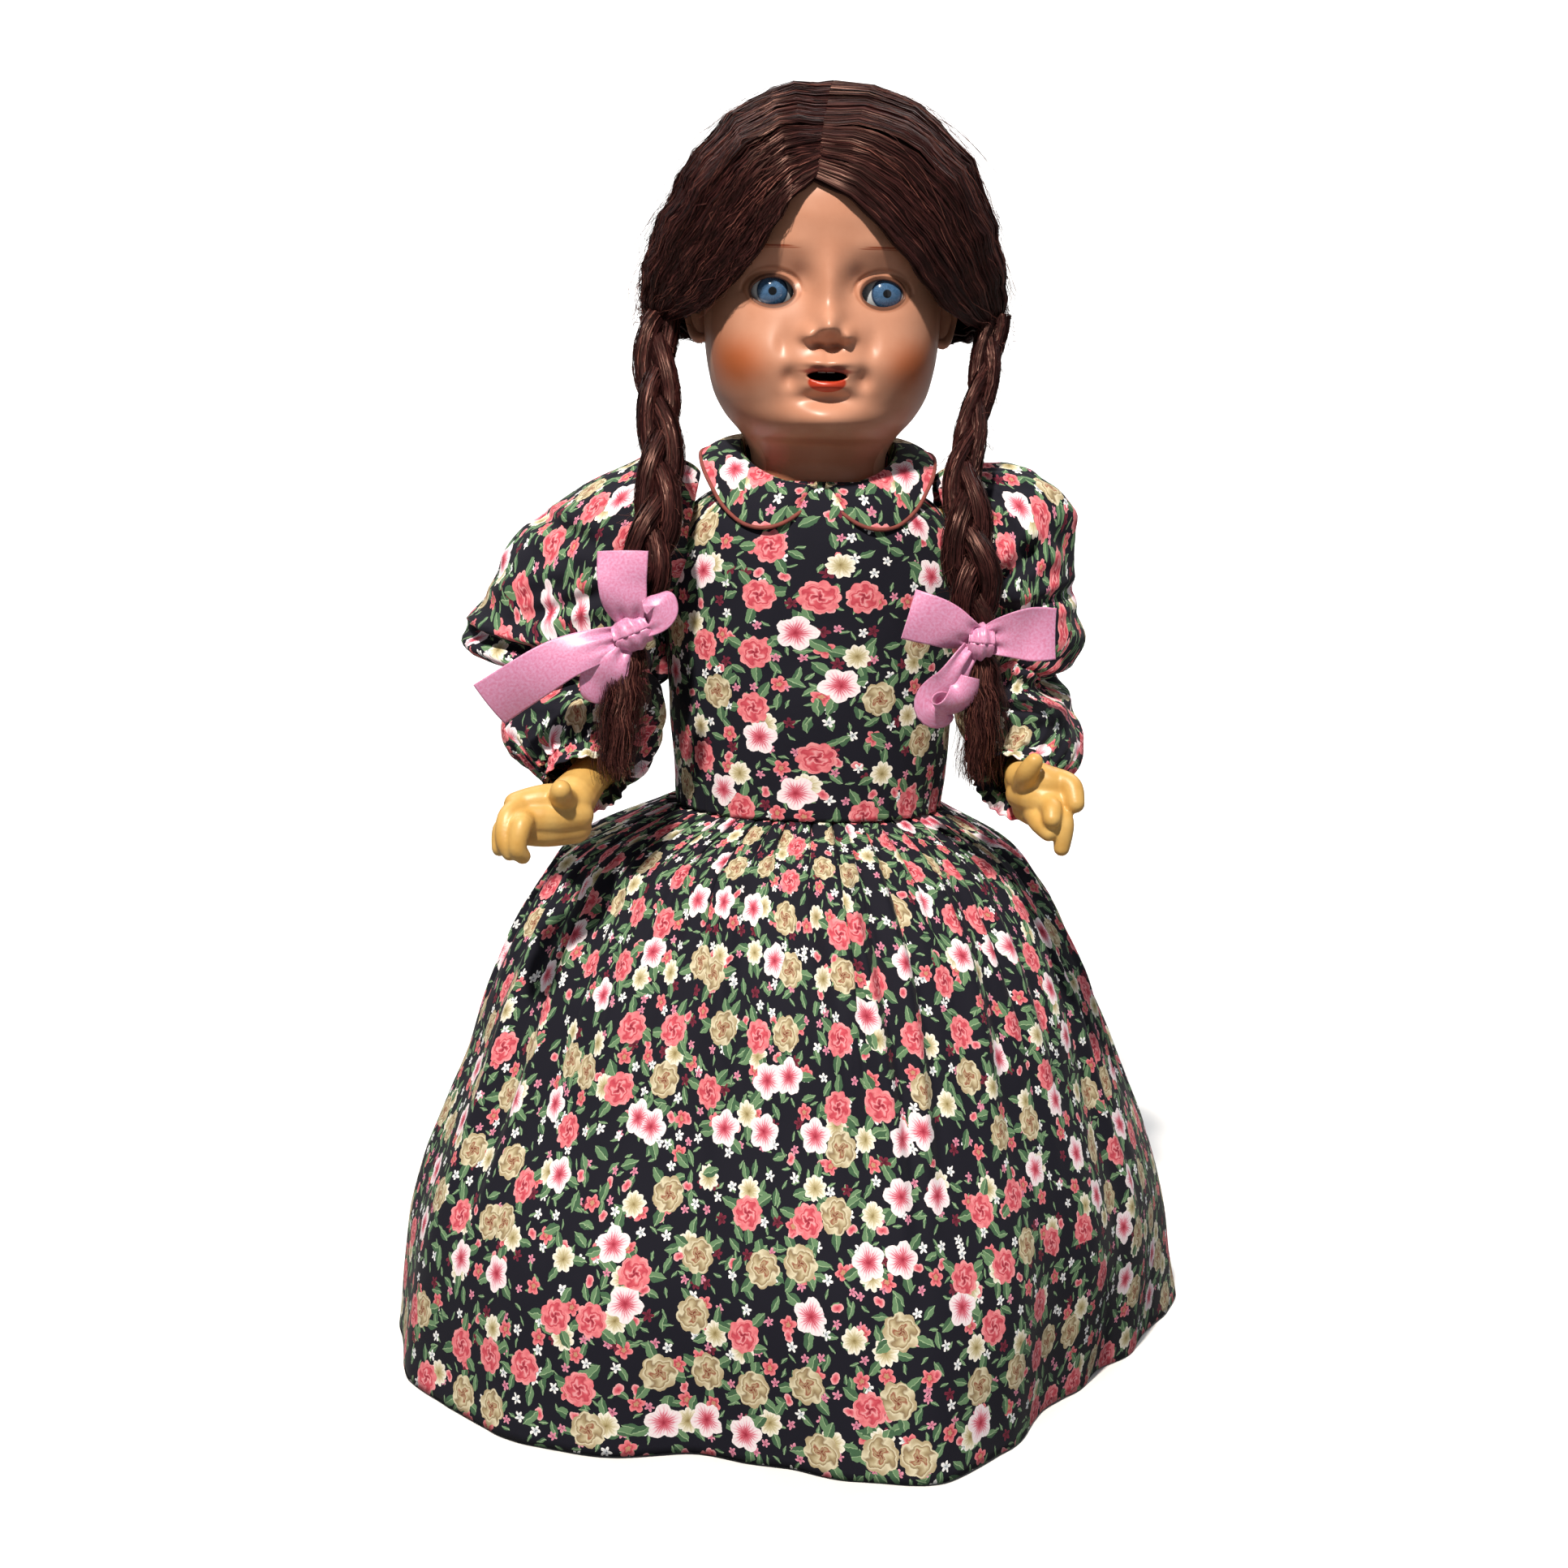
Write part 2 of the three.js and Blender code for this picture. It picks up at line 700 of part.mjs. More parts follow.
const EYE_Z = HEAD_BOTTOM + EYE_HEIGHT_SHARE * HEAD_HEIGHT;
const MOUTH_Z = HEAD_BOTTOM + MOUTH_HEIGHT_SHARE * HEAD_HEIGHT;
const CROWN_Z = HEAD_BOTTOM + CROWN_CUT_SHARE * HEAD_HEIGHT;
const HEAD_TOP = HEAD_BOTTOM + HEAD_HEIGHT;
const eyeCentre = (side) => new THREE.Vector3((side * EYE_SPACING) / 2, -EYE_SET_BACK, EYE_Z);
const FACET_SAG = HEAD_BACK * (1 - Math.cos(Math.PI / HIDDEN_HEAD_SIDES));
const aboveCrown = (gap) => {
  const middle = new THREE.Vector3(0, 0, CROWN_Z + gap + OVERRUN / 2);
  return solid(block(2 * OVERRUN, 2 * OVERRUN + HEAD_BACK, OVERRUN, middle));
};

// An ear, drawn out all round by a gap.
const ear = (side, gap) =>
  new THREE.SphereGeometry(1, BALL_SIDES, ballRows(BALL_SIDES))
    .scale(EAR_HALF_WIDTH + gap, EAR_HALF_DEPTH + gap, EAR_HALF_HEIGHT + gap)
    .translate(side * HEAD_HALF_WIDTH, EAR_BACK, HEAD_BOTTOM + EAR_HEIGHT_SHARE * HEAD_HEIGHT);

// The pressed head: a shell with an open crown, eye slots and mouth, and a hole for the stringing.
function buildHead() {
  let shell = solid(facedHead());
  const hollow = solid(plainHead(HEAD_WALL, HOLLOW_ROWS));
  for (const side of [1, -1]) {
    shell = shell.add(solid(ear(side, 0)));
  }
  shell = shell.subtract(hollow).subtract(aboveCrown(0));
  for (const side of [1, -1]) {
    const centre = eyeCentre(side);
    const seat = seatBall(EYEBALL_RADIUS + IRIS_PROUD + TURN_GAP, centre, EYE_SIDES);
    const slot = barAlongY(EYE_SLOT_HALF_WIDTH, EYE_SLOT_HALF_HEIGHT, OVERRUN, centre, EYE_SIDES);
    const slotFront = solid(slot.translate(0, -OVERRUN / 2, 0));
    shell = shell.subtract(solid(seat)).subtract(slotFront);
  }
  const mouthAt = new THREE.Vector3(0, -HEAD_FRONT, MOUTH_Z);
  const neckHole = new THREE.CylinderGeometry(NECK_HOLE_RADIUS, NECK_HOLE_RADIUS, OVERRUN, BALL_SIDES)
    .rotateX(Math.PI / 2)
    .translate(0, 0, HEAD_BOTTOM + HEAD_WALL - OVERRUN / 2 + GAP);
  shell = shell
    .subtract(solid(barAlongY(MOUTH_HALF_WIDTH, MOUTH_HALF_HEIGHT, HEAD_FRONT, mouthAt)))
    .subtract(solid(neckHole));
  piece("head_shell", shape(shell), skin, doll);

  const pate = solid(plainHead(0)).subtract(solid(plainHead(PATE_WALL))).intersect(aboveCrown(GAP));
  piece("crown_pate", shape(pate), card, doll);
}

// The teeth on their bar, fitted to the inside of the face, and the tongue behind the lips.
function buildMouth() {
  const barZ = MOUTH_Z + MOUTH_HALF_HEIGHT + GAP + TOOTH_BAR_HEIGHT / 2;
  const y = -HEAD_FRONT + HEAD_WALL + TOOTH_BAR_DEPTH / 2;
  const bar = solid(block(TOOTH_BAR_WIDTH, TOOTH_BAR_DEPTH, TOOTH_BAR_HEIGHT, new THREE.Vector3(0, y, barZ)));
  const teeth = [1, -1].reduce((all, side) => {
    const at = new THREE.Vector3(side * (TOOTH_WIDTH / 2 + GAP), y, barZ - TOOTH_BAR_HEIGHT / 2);
    return all.add(solid(block(TOOTH_WIDTH, TOOTH_BAR_DEPTH, 2 * TOOTH_DROP, at)));
  }, bar);
  piece("upper_teeth", shape(teeth.intersect(solid(plainHead(HEAD_WALL + GAP, HOLLOW_ROWS)))), ivory, doll);
  const tongue = solid(
    new THREE.SphereGeometry(1, BALL_SIDES, ballRows(BALL_SIDES))
      .scale(TONGUE_HALF_WIDTH, TONGUE_HALF_LENGTH, TONGUE_HALF_HEIGHT)
      .translate(0, -HEAD_FRONT + HEAD_WALL + TONGUE_HALF_LENGTH, MOUTH_Z - TONGUE_DROP),
  );
  piece("tongue", shape(tongue.intersect(solid(plainHead(HEAD_WALL + GAP, HOLLOW_ROWS)))), tongueRed, doll);
}

// The glass eyes on their wire rocker, with the lead that swings them shut.
function buildEyes() {
  const bridgeEnds = [1, -1].map((side) => {
    const centre = eyeCentre(side);
    const front = centre.clone().add(new THREE.Vector3(0, -EYEBALL_RADIUS, 0));
    const inset = barAlongY(IRIS_RADIUS + GAP, IRIS_RADIUS + GAP, 2 * (IRIS_DEPTH + GAP), front);
    const socket = barAlongY(
      ROCKER_WIRE_RADIUS + GAP,
      ROCKER_WIRE_RADIUS + GAP,
      EYEBALL_RADIUS,
      centre.clone().add(new THREE.Vector3(0, EYEBALL_RADIUS, 0)),
      WIRE_SIDES,
    );
    const whole = solid(ball(EYEBALL_RADIUS, centre, EYE_SIDES));
    const eyeball = whole.subtract(solid(inset)).subtract(solid(socket));
    const suffix = side > 0 ? "left" : "right";
    piece("eyeball_" + suffix, shape(eyeball), glassWhite, doll);
    const dome = solid(ball(EYEBALL_RADIUS + IRIS_PROUD, centre, EYE_SIDES));
    const core = solid(barAlongY(IRIS_RADIUS, IRIS_RADIUS, 2 * IRIS_DEPTH, front));
    piece("iris_" + suffix, shape(dome.intersect(core)), irisBlue, doll);
    return centre.add(new THREE.Vector3(0, EYEBALL_RADIUS - HEAD_WALL / 2, 0));
  });
  const behind = bridgeEnds.map((p) => p.clone().add(new THREE.Vector3(0, HEAD_WALL, 0)));
  const middle = behind[0].clone().add(behind[1]).multiplyScalar(1 / 2);
  const foot = new THREE.Vector3(0, -EYE_SET_BACK + ROCKER_LAG, EYE_Z - ROCKER_DROP);
  const weightTop = foot.clone().add(new THREE.Vector3(0, 0, EYE_WEIGHT_HEIGHT / 2 - GAP));
  let rocker = solid(wire(behind[0], behind[1], ROCKER_WIRE_RADIUS));
  for (const k of [0, 1]) {
    rocker = rocker
      .add(solid(wire(bridgeEnds[k], behind[k], ROCKER_WIRE_RADIUS)))
      .add(solid(ball(ROCKER_WIRE_RADIUS, behind[k], WIRE_SIDES)));
  }
  rocker = rocker.add(solid(wire(middle, weightTop, ROCKER_WIRE_RADIUS)));
  const weight = solid(block(EYE_WEIGHT_WIDTH, EYE_WEIGHT_DEPTH, EYE_WEIGHT_HEIGHT, foot));
  const grown = solid(wire(middle, weightTop, ROCKER_WIRE_RADIUS + GAP)).add(
    solid(ball(ROCKER_WIRE_RADIUS + 2 * GAP, weightTop, WIRE_SIDES)),
  );
  piece("eye_rocker", shape(rocker), steel, doll);
  piece("eye_weight", shape(weight.subtract(grown)), lead, doll);
}

// A hook's round eye in the plane that holds X and Z.
const hookEye = (at) =>
  new THREE.TorusGeometry(HOOK_EYE_RADIUS, HOOK_WIRE_RADIUS, WIRE_SIDES, HOOK_SIDES)
    .rotateX(Math.PI / 2)
    .translate(at.x, at.y, at.z);

const NECK_SAG = NECK_RADIUS * (1 - Math.cos(Math.PI / HIDDEN_HEAD_SIDES));
const NECK_PLUG_Z = HEAD_BOTTOM + HEAD_WALL + GAP;
const NECK_EYE_Z = NECK_SEAT_Z - NECK_HOOK_DROP - NECK_SEAT_DEPTH;

// The turned plug in the neck and the hook that draws the head into its seat.
function buildNeck() {
  const bore = HOOK_WIRE_RADIUS + GAP;
  const plug = new THREE.LatheGeometry(
    [
      [bore, 0],
      [NECK_PLUG_RADIUS, 0],
      [NECK_PLUG_RADIUS, NECK_PLUG_HEIGHT * NECK_WALL_SHARE],
      [bore, NECK_PLUG_HEIGHT],
      [bore, 0],
    ].map(([r, h]) => new THREE.Vector2(r, h)),
    BALL_SIDES,
  )
    .rotateX(Math.PI / 2)
    .translate(0, 0, NECK_PLUG_Z);
  piece("neck_plug", shape(solid(plug)), timber, doll);
  const top = new THREE.Vector3(0, 0, NECK_PLUG_Z + NECK_PLUG_HEIGHT + HOOK_WIRE_RADIUS + GAP);
  const bottom = new THREE.Vector3(0, 0, NECK_EYE_Z + HOOK_EYE_RADIUS);
  const stop = ball(2 * HOOK_WIRE_RADIUS, top, WIRE_SIDES);
  const eye = hookEye(new THREE.Vector3(0, 0, NECK_EYE_Z)).rotateZ(Math.PI / 2);
  const hook = solid(wire(bottom, top, HOOK_WIRE_RADIUS)).add(solid(stop)).add(solid(eye));
  piece("neck_hook", shape(hook), steel, doll);
}

// The middle line and half widths of a plait: lobes where the strands cross, a waist in the ribbon, a tuft.
function plaitRun(points, grow = 0) {
  const curve = new THREE.CatmullRomCurve3(points.map(point), false, "centripetal");
  const middle = [];
  const radii = [];
  for (let k = 0; k <= PLAIT_STEPS; k++) {
    const t = k / PLAIT_STEPS;
    const place = t * (points.length - 1);
    const low = Math.min(Math.floor(place), points.length - 2);
    const share = THREE.MathUtils.lerp(PLAIT_RADIUS_SHARES[low], PLAIT_RADIUS_SHARES[low + 1], place - low);
    const lobe = t < PLAIT_BOW_SHARE ? PLAIT_LOBE_SHARE * Math.cos(2 * Math.PI * PLAIT_LOBES * t) : 0;
    const wide = PLAIT_RADIUS * share * (1 + lobe);
    middle.push(curve.getPoint(t));
    radii.push([wide + grow, wide * PLAIT_FLATNESS_SHARE + grow]);
  }
  return grid(runRings(middle, radii, PLAIT_SIDES));
}

// The wig: the hair's own mass over the head, open at the face and where the plaits leave it.
function buildHair() {
  const bottom = HEAD_BOTTOM + WIG_START_SHARE * HEAD_HEIGHT;
  const height = HEAD_TOP + WIG_THICKNESS - bottom;
  const rings = WIG_SHARES.map(([up, wide, front, back]) =>
    oval(bottom + up * height, wide * WIG_HALF_WIDTH, front * WIG_FRONT, back * WIG_BACK, WIG_SIDES),
  );
  const right = HAIRLINE_SHARES.map(
    ([x, up]) => new THREE.Vector2(x * HEAD_HALF_WIDTH, HEAD_BOTTOM + up * HEAD_HEIGHT),
  );
  const left = right.slice(1).reverse().map((p) => new THREE.Vector2(-p.x, p.y));
  const face = new THREE.ExtrudeGeometry(new THREE.Shape([...right, ...left]), {
    depth: OVERRUN + WIG_FRONT,
    bevelEnabled: false,
  })
    .rotateX(Math.PI / 2)
    .translate(0, -HAIRLINE_BACK, 0);
  let wig = solid(grid(rings))
    .subtract(solid(plainHead(-TURN_GAP - FACET_SAG)))
    .subtract(solid(face));
  for (const side of [1, -1]) {
    wig = wig.subtract(solid(ear(side, GAP)));
  }
  for (const points of [PLAIT_LEFT_POINTS, PLAIT_RIGHT_POINTS]) {
    wig = wig.subtract(solid(plaitRun(points, GAP)));
  }
  const parts = wig.decompose().sort((a, b) => b.volume() - a.volume());
  piece("wig", shape(parts[0]), hair, doll);
}

// One ribbon: a band round the plait, the knot in front of it, and its loops and tails.
function buildBow(name, plaitPoints, runs) {
  const bowPoint = Math.round(PLAIT_BOW_SHARE * (plaitPoints.length - 1));
  const at = point(plaitPoints[bowPoint]);
  const wide = PLAIT_RADIUS * PLAIT_RADIUS_SHARES[bowPoint];
  const knotAt = at.clone().add(new THREE.Vector3(0, -wide * PLAIT_FLATNESS_SHARE - KNOT_PROUD, 0));
  let bow = solid(
    new THREE.SphereGeometry(1, BALL_SIDES, ballRows(BALL_SIDES))
      .scale(KNOT_RADIUS, KNOT_PROUD, KNOT_HALF_LENGTH)
      .translate(knotAt.x, knotAt.y, knotAt.z),
  );
  const band = new THREE.CylinderGeometry(1, 1, 2 * BAND_HALF_HEIGHT, BALL_SIDES)
    .rotateX(Math.PI / 2)
    .scale(wide + BAND_THICKNESS + GAP, wide * PLAIT_FLATNESS_SHARE + BAND_THICKNESS + GAP, 1)
    .translate(at.x, at.y, at.z);
  bow = bow.add(solid(band));
  for (const run of runs) {
    const points = [knotAt.clone(), ...run.map((p) => point(p).add(knotAt))];
    const flat = new THREE.CatmullRomCurve3(points).getPoints(RIBBON_STEPS);
    const widths = flat.map((_, k) => {
      const open = Math.min(1, 1 / 3 + k / 4);
      return [(RIBBON_WIDTH / 2) * open, RIBBON_THICKNESS / 2];
    });
    const strip = runRings(flat, widths, RIBBON_SIDES);
    bow = bow.add(solid(grid(strip)));
  }
  bow = bow.subtract(solid(plaitRun(plaitPoints, GAP)));
  const parts = bow.decompose().sort((a, b) => b.volume() - a.volume());
  piece(name, shape(parts[0]), ribbon, doll);
}

// An oval body between rows of shares, drawn in by an inset.
function torsoForm(inset, sides, rows = TORSO_SHARES) {
  const rings = rows.map(([up, wide, front, back]) =>
    oval(
      TORSO_BOTTOM + up * TORSO_HEIGHT,
      wide * TORSO_HALF_WIDTH - inset,
      front * TORSO_FRONT - inset,
      back * TORSO_BACK - inset,
      sides,
    ),
  );
  rings[0].forEach((p) => (p.z += inset));
  rings[rings.length - 1].forEach((p) => (p.z -= inset + (inset > 0 ? NECK_SEAT_DEPTH : 0)));
  return grid(rings);
}

const SHOULDER_Z = NECK_SEAT_Z - SHOULDER_DROP;
const CRIER_Z = NECK_SEAT_Z - CRIER_DROP_FROM_NECK;
const shoulderAt = (side) => new THREE.Vector3(side * SHOULDER_X, 0, SHOULDER_Z);
const hipAt = (side) => new THREE.Vector3(side * HIP_X, 0, HIP_Z);

// Turns a geometry made along Y, back end at zero and front towards -Y, into the crier's tilted place.
const inCrier = (geometry) =>
  geometry.rotateX(-CRIER_TILT).translate(0, CRIER_BACK_REACH * Math.cos(CRIER_TILT), CRIER_Z);

// The bars that cut one middle hole and a ring of holes round it.
function soundHoles(y, z) {
  return Array.from({ length: SOUND_HOLES + 1 }, (_, k) => {
    const angle = (2 * Math.PI * k) / SOUND_HOLES;
    const out = k === SOUND_HOLES ? 0 : SOUND_HOLE_RING_RADIUS;
    const at = new THREE.Vector3(out * Math.cos(angle), y, z + out * Math.sin(angle));
    return barAlongY(SOUND_HOLE_RADIUS, SOUND_HOLE_RADIUS, OVERRUN, at, WIRE_SIDES);
  });
}

// A lathe shape of closed profile, its axis laid along -Y from the back end.
const latheAlongY = (profile, sides) =>
  new THREE.LatheGeometry(profile.map(([r, h]) => new THREE.Vector2(r, h)), sides).rotateX(Math.PI);

// The pressed torso in two glued halves, with sockets, the crier's seat and its sound holes.
function buildTorso() {
  const form = solid(torsoForm(0, TORSO_SIDES));
  let body = form.subtract(solid(torsoForm(TORSO_WALL, HIDDEN_TORSO_SIDES, everyOther(TORSO_SHARES))));
  const headSeat = solid(plainHead(-TURN_GAP - NECK_SAG, NECK_ROWS));
  const sockets = [1, -1].flatMap((side) => [
    [shoulderAt(side), SHOULDER_BALL_RADIUS],
    [hipAt(side), HIP_BALL_RADIUS],
  ]);
  for (const [at, radius] of sockets) {
    body = body.add(solid(seatBall(radius + TURN_GAP + SOCKET_WALL, at, SOCKET_SIDES)).intersect(form));
  }
  const crierSeat = solid(
    inCrier(
      latheAlongY(
        [
          [0, -OVERRUN / 2],
          [CRIER_RADIUS + GAP + CRIER_SEAT_WALL, -OVERRUN / 2],
          [CRIER_RADIUS + GAP + CRIER_SEAT_WALL, CRIER_SEAT_DEPTH],
          [0, CRIER_SEAT_DEPTH],
        ],
        CRIER_SIDES,
      ),
    ),
  ).intersect(form);
  const crierRoom = solid(
    inCrier(
      latheAlongY(
        [
          [0, -GAP],
          [CRIER_RADIUS + GAP, -GAP],
          [CRIER_RADIUS + GAP, CRIER_LENGTH + GAP],
          [0, CRIER_LENGTH + GAP],
        ],
        CRIER_SIDES,
      ),
    ),
  );
  body = body.add(crierSeat).subtract(crierRoom).subtract(headSeat);
  for (const [at, radius] of sockets) {
    body = body.subtract(solid(seatBall(radius + TURN_GAP, at)));
  }
  const passage = (halfLength, rotation, at) =>
    solid(
      new THREE.CylinderGeometry(1, 1, OVERRUN, HOOK_SIDES)
        .scale(SOCKET_PASSAGE_RADIUS, 1, halfLength)
        .applyMatrix4(rotation)
        .translate(at.x, at.y, at.z),
    );
  const upright = new THREE.Matrix4().makeRotationX(Math.PI / 2);
  const level = new THREE.Matrix4().makeRotationZ(Math.PI / 2);
  for (const side of [1, -1]) {
    const inShoulder = new THREE.Vector3(side * (SHOULDER_X - OVERRUN / 2), 0, SHOULDER_Z);
    const inHip = new THREE.Vector3(side * HIP_X, 0, HIP_Z + OVERRUN / 2);
    body = body.subtract(passage(SOCKET_PASSAGE_RADIUS, level, inShoulder));
    body = body.subtract(passage(HIP_SLOT_HALF_LENGTH, upright, inHip));
  }
  body = body.subtract(passage(SOCKET_PASSAGE_RADIUS, upright, new THREE.Vector3(0, 0, HEAD_BOTTOM)));
  for (const hole of soundHoles(OVERRUN / 2 + CRIER_BACK_REACH / 2, CRIER_Z)) {
    body = body.subtract(solid(hole));
  }
  for (const [name, facing] of [["torso_front", -1], ["torso_back", 1]]) {
    const middle = new THREE.Vector3(0, (facing * (2 * OVERRUN + GAP)) / 2, (TORSO_BOTTOM + NECK_SEAT_Z) / 2);
    const half = solid(block(4 * OVERRUN, 2 * OVERRUN, TORSO_HEIGHT + OVERRUN, middle));
    const parts = body.intersect(half).decompose().sort((a, b) => b.volume() - a.volume());
    piece(name, shape(parts[0]), paleSkin, doll);
  }
}

// The crier: case, perforated grille, reed plate, bellows and the weight that works them.
function buildCrier() {
  const bore = CRIER_RADIUS - CRIER_WALL;
  const drum = latheAlongY(
    [
      [bore, 0],
      [CRIER_RADIUS, 0],
      [CRIER_RADIUS, CRIER_LENGTH],
      [0, CRIER_LENGTH],
      [0, CRIER_LENGTH - CRIER_WALL],
      [bore, CRIER_LENGTH - CRIER_WALL],
      [bore, 0],
    ],
    CRIER_SIDES,
  );
  piece("crier_case", shape(solid(inCrier(drum))), card, doll);

  const inner = bore * Math.cos(Math.PI / CRIER_SIDES) - GAP;
  const disc = barAlongY(inner, inner, GRILLE_THICKNESS, new THREE.Vector3(0, -GRILLE_THICKNESS / 2, 0));
  const grille = soundHoles(0, 0).reduce((left, hole) => left.subtract(solid(hole)), solid(disc));
  piece("crier_grille", inCrier(shape(grille)), card, doll);

  const plateAt = GRILLE_THICKNESS + REED_PLATE_SET_BACK;
  const plate = latheAlongY(
    [
      [0, plateAt],
      [bore - GAP, plateAt],
      [bore - GAP, plateAt + REED_PLATE_THICKNESS],
      [0, plateAt + REED_PLATE_THICKNESS],
    ],
    CRIER_SIDES,
  );
  piece("reed_plate", inCrier(plate), timber, doll);
  const reedAt = new THREE.Vector3(0, -plateAt + GAP + REED_HEIGHT / 2, 0);
  piece("brass_reed", inCrier(block(REED_WIDTH, REED_HEIGHT, REED_LENGTH, reedAt)), steel, doll);

  const bellowsAt = plateAt + REED_PLATE_THICKNESS + GAP;
  const steps = 2 * BELLOWS_RIBS;
  const profile = [[0, bellowsAt]];
  for (let k = 0; k <= steps; k++) {
    const out = k % 2 ? BELLOWS_RADIUS : BELLOWS_RADIUS - BELLOWS_RIB_DEPTH;
    profile.push([out, bellowsAt + (k * BELLOWS_PRESSED_LENGTH) / steps]);
  }
  profile.push([0, bellowsAt + BELLOWS_PRESSED_LENGTH]);
  piece("crier_bellows", inCrier(latheAlongY(profile, CRIER_SIDES)), leather, doll);

  const weightAt = bellowsAt + BELLOWS_PRESSED_LENGTH + GAP;
  const weight = latheAlongY(
    [
      [0, weightAt],
      [CRIER_WEIGHT_RADIUS, weightAt],
      [CRIER_WEIGHT_RADIUS, weightAt + CRIER_WEIGHT_THICKNESS],
      [0, weightAt + CRIER_WEIGHT_THICKNESS],
    ],
    CRIER_SIDES,
  );
  piece("crier_weight", inCrier(weight), lead, doll);
}

// A smooth open cord through a list of points, with a knot at each end.
function cord(points, radius, steps) {
  const path = new THREE.CatmullRomCurve3(points, false, "centripetal").getPoints(steps);
  const cordRings = runRings(path, path.map(() => radius), ELASTIC_SIDES);
  return [path[0], path[steps]].reduce(
    (all, end) => all.add(solid(ball(KNOT_SHARE * radius, end, ELASTIC_SIDES))),
    solid(grid(cordRings)),
  );
}

// The elastic that strings the arms together, and the one from leg to leg over the neck's hook.
function buildStringing() {
  const inEye = HOOK_EYE_RADIUS - HOOK_WIRE_RADIUS - ELASTIC_RADIUS - GAP;
  const end = ARM_EYE_X - inEye / 2;
  const nearEnd = end - LOOP_HALF_WIDTH;
  const armLoop = [
    [end, 0],
    [nearEnd, LOOP_HALF_WIDTH],
    [0, LOOP_HALF_WIDTH],
    [-nearEnd, LOOP_HALF_WIDTH],
    [-end, 0],
    [-nearEnd, -LOOP_HALF_WIDTH],
    [0, -LOOP_HALF_WIDTH],
    [nearEnd, -LOOP_HALF_WIDTH],
  ].map(([x, y]) => new THREE.Vector3(x, 0, y));
  const laidFlat = cordLoop(armLoop, ELASTIC_RADIUS, ARM_LOOP_STEPS)
    .rotateX(Math.PI / 2)
    .translate(0, 0, SHOULDER_Z);
  piece("arm_elastic", laidFlat, rubberCord, doll);

  const legEyeZ = HIP_Z + LEG_HOOK_RISE + inEye / 2;
  const halfLoop = [
    [HIP_X, LOOP_HALF_WIDTH, legEyeZ - LOOP_HALF_WIDTH],
    [HIP_X, 0, legEyeZ],
    [HIP_X, -LOOP_HALF_WIDTH, legEyeZ + LOOP_HALF_WIDTH],
    [BESIDE_CRIER, -LOOP_HALF_WIDTH, CRIER_Z],
    [BESIDE_CRIER, 0, CRIER_Z + CRIER_RADIUS],
  ].map(point);
  const top = new THREE.Vector3(0, 0, NECK_EYE_Z - inEye);
  const otherHalf = halfLoop.map(mirrored).reverse();
  const legCord = cord([...halfLoop, top, ...otherHalf], ELASTIC_RADIUS, LEG_CORD_STEPS);
  piece("leg_elastic", shape(legCord), rubberCord, doll);
}

// One arm: the upper arm with its two balls, the forearm, the hand, the hook, the sleeve and its cuff.
function buildArm(side) {
  const suffix = side > 0 ? "left" : "right";
  const origin = new THREE.Vector3();
  const arm = new THREE.Group();
  arm.position.copy(shoulderAt(side));
  doll.add(arm);
  const along = (run, share) => run.clone().multiplyScalar(share);

  const bowed = (t) => along(UPPER_ARM_RUN, t).add(new THREE.Vector3(ARM_BOW * Math.sin(Math.PI * t), 0, 0));
  const upperPoints = UPPER_ARM_SHARES.map(([t]) => bowed(t));
  const upperRadii = UPPER_ARM_SHARES.map(([, r]) => r * UPPER_ARM_RADIUS);
  const upper = solid(grid(runRings(upperPoints, upperRadii, ARM_SIDES)))
    .add(solid(ball(SHOULDER_BALL_RADIUS, origin)))
    .add(solid(ball(ELBOW_BALL_RADIUS, UPPER_ARM_RUN)));
  piece("upper_arm_" + suffix, forSide(shape(upper), side), paleSkin, arm);

  const eyeAt = new THREE.Vector3(ARM_EYE_X - SHOULDER_X, 0, 0);
  const shankFrom = new THREE.Vector3(-SHOULDER_BALL_RADIUS - GAP, 0, 0);
  const shankTo = eyeAt.clone().add(new THREE.Vector3(HOOK_EYE_RADIUS, 0, 0));
  const hook = solid(wire(shankFrom, shankTo, HOOK_WIRE_RADIUS)).add(solid(hookEye(eyeAt)));
  piece("arm_hook_" + suffix, forSide(shape(hook), side), steel, arm);

  const elbow = new THREE.Group();
  elbow.position.set(side * UPPER_ARM_RUN.x, UPPER_ARM_RUN.y, UPPER_ARM_RUN.z);
  arm.add(elbow);
  const forePoints = [...FOREARM_SHARES.map(([t]) => along(FOREARM_RUN, t)), along(FOREARM_RUN, 1)];
  const foreRadii = [...FOREARM_SHARES.map(([, r]) => r * FOREARM_RADIUS), WRIST_RADIUS];
  const forearm = solid(grid(runRings(forePoints, foreRadii, ARM_SIDES))).subtract(
    solid(seatBall(ELBOW_BALL_RADIUS + TURN_GAP, origin)),
  );
  piece("forearm_" + suffix, forSide(shape(forearm), side), paleSkin, elbow);
  piece("hand_" + suffix, forSide(buildHand(solid(shape(forearm))), side), paleSkin, elbow);

  buildSleeve(side, suffix, arm, elbow);
}

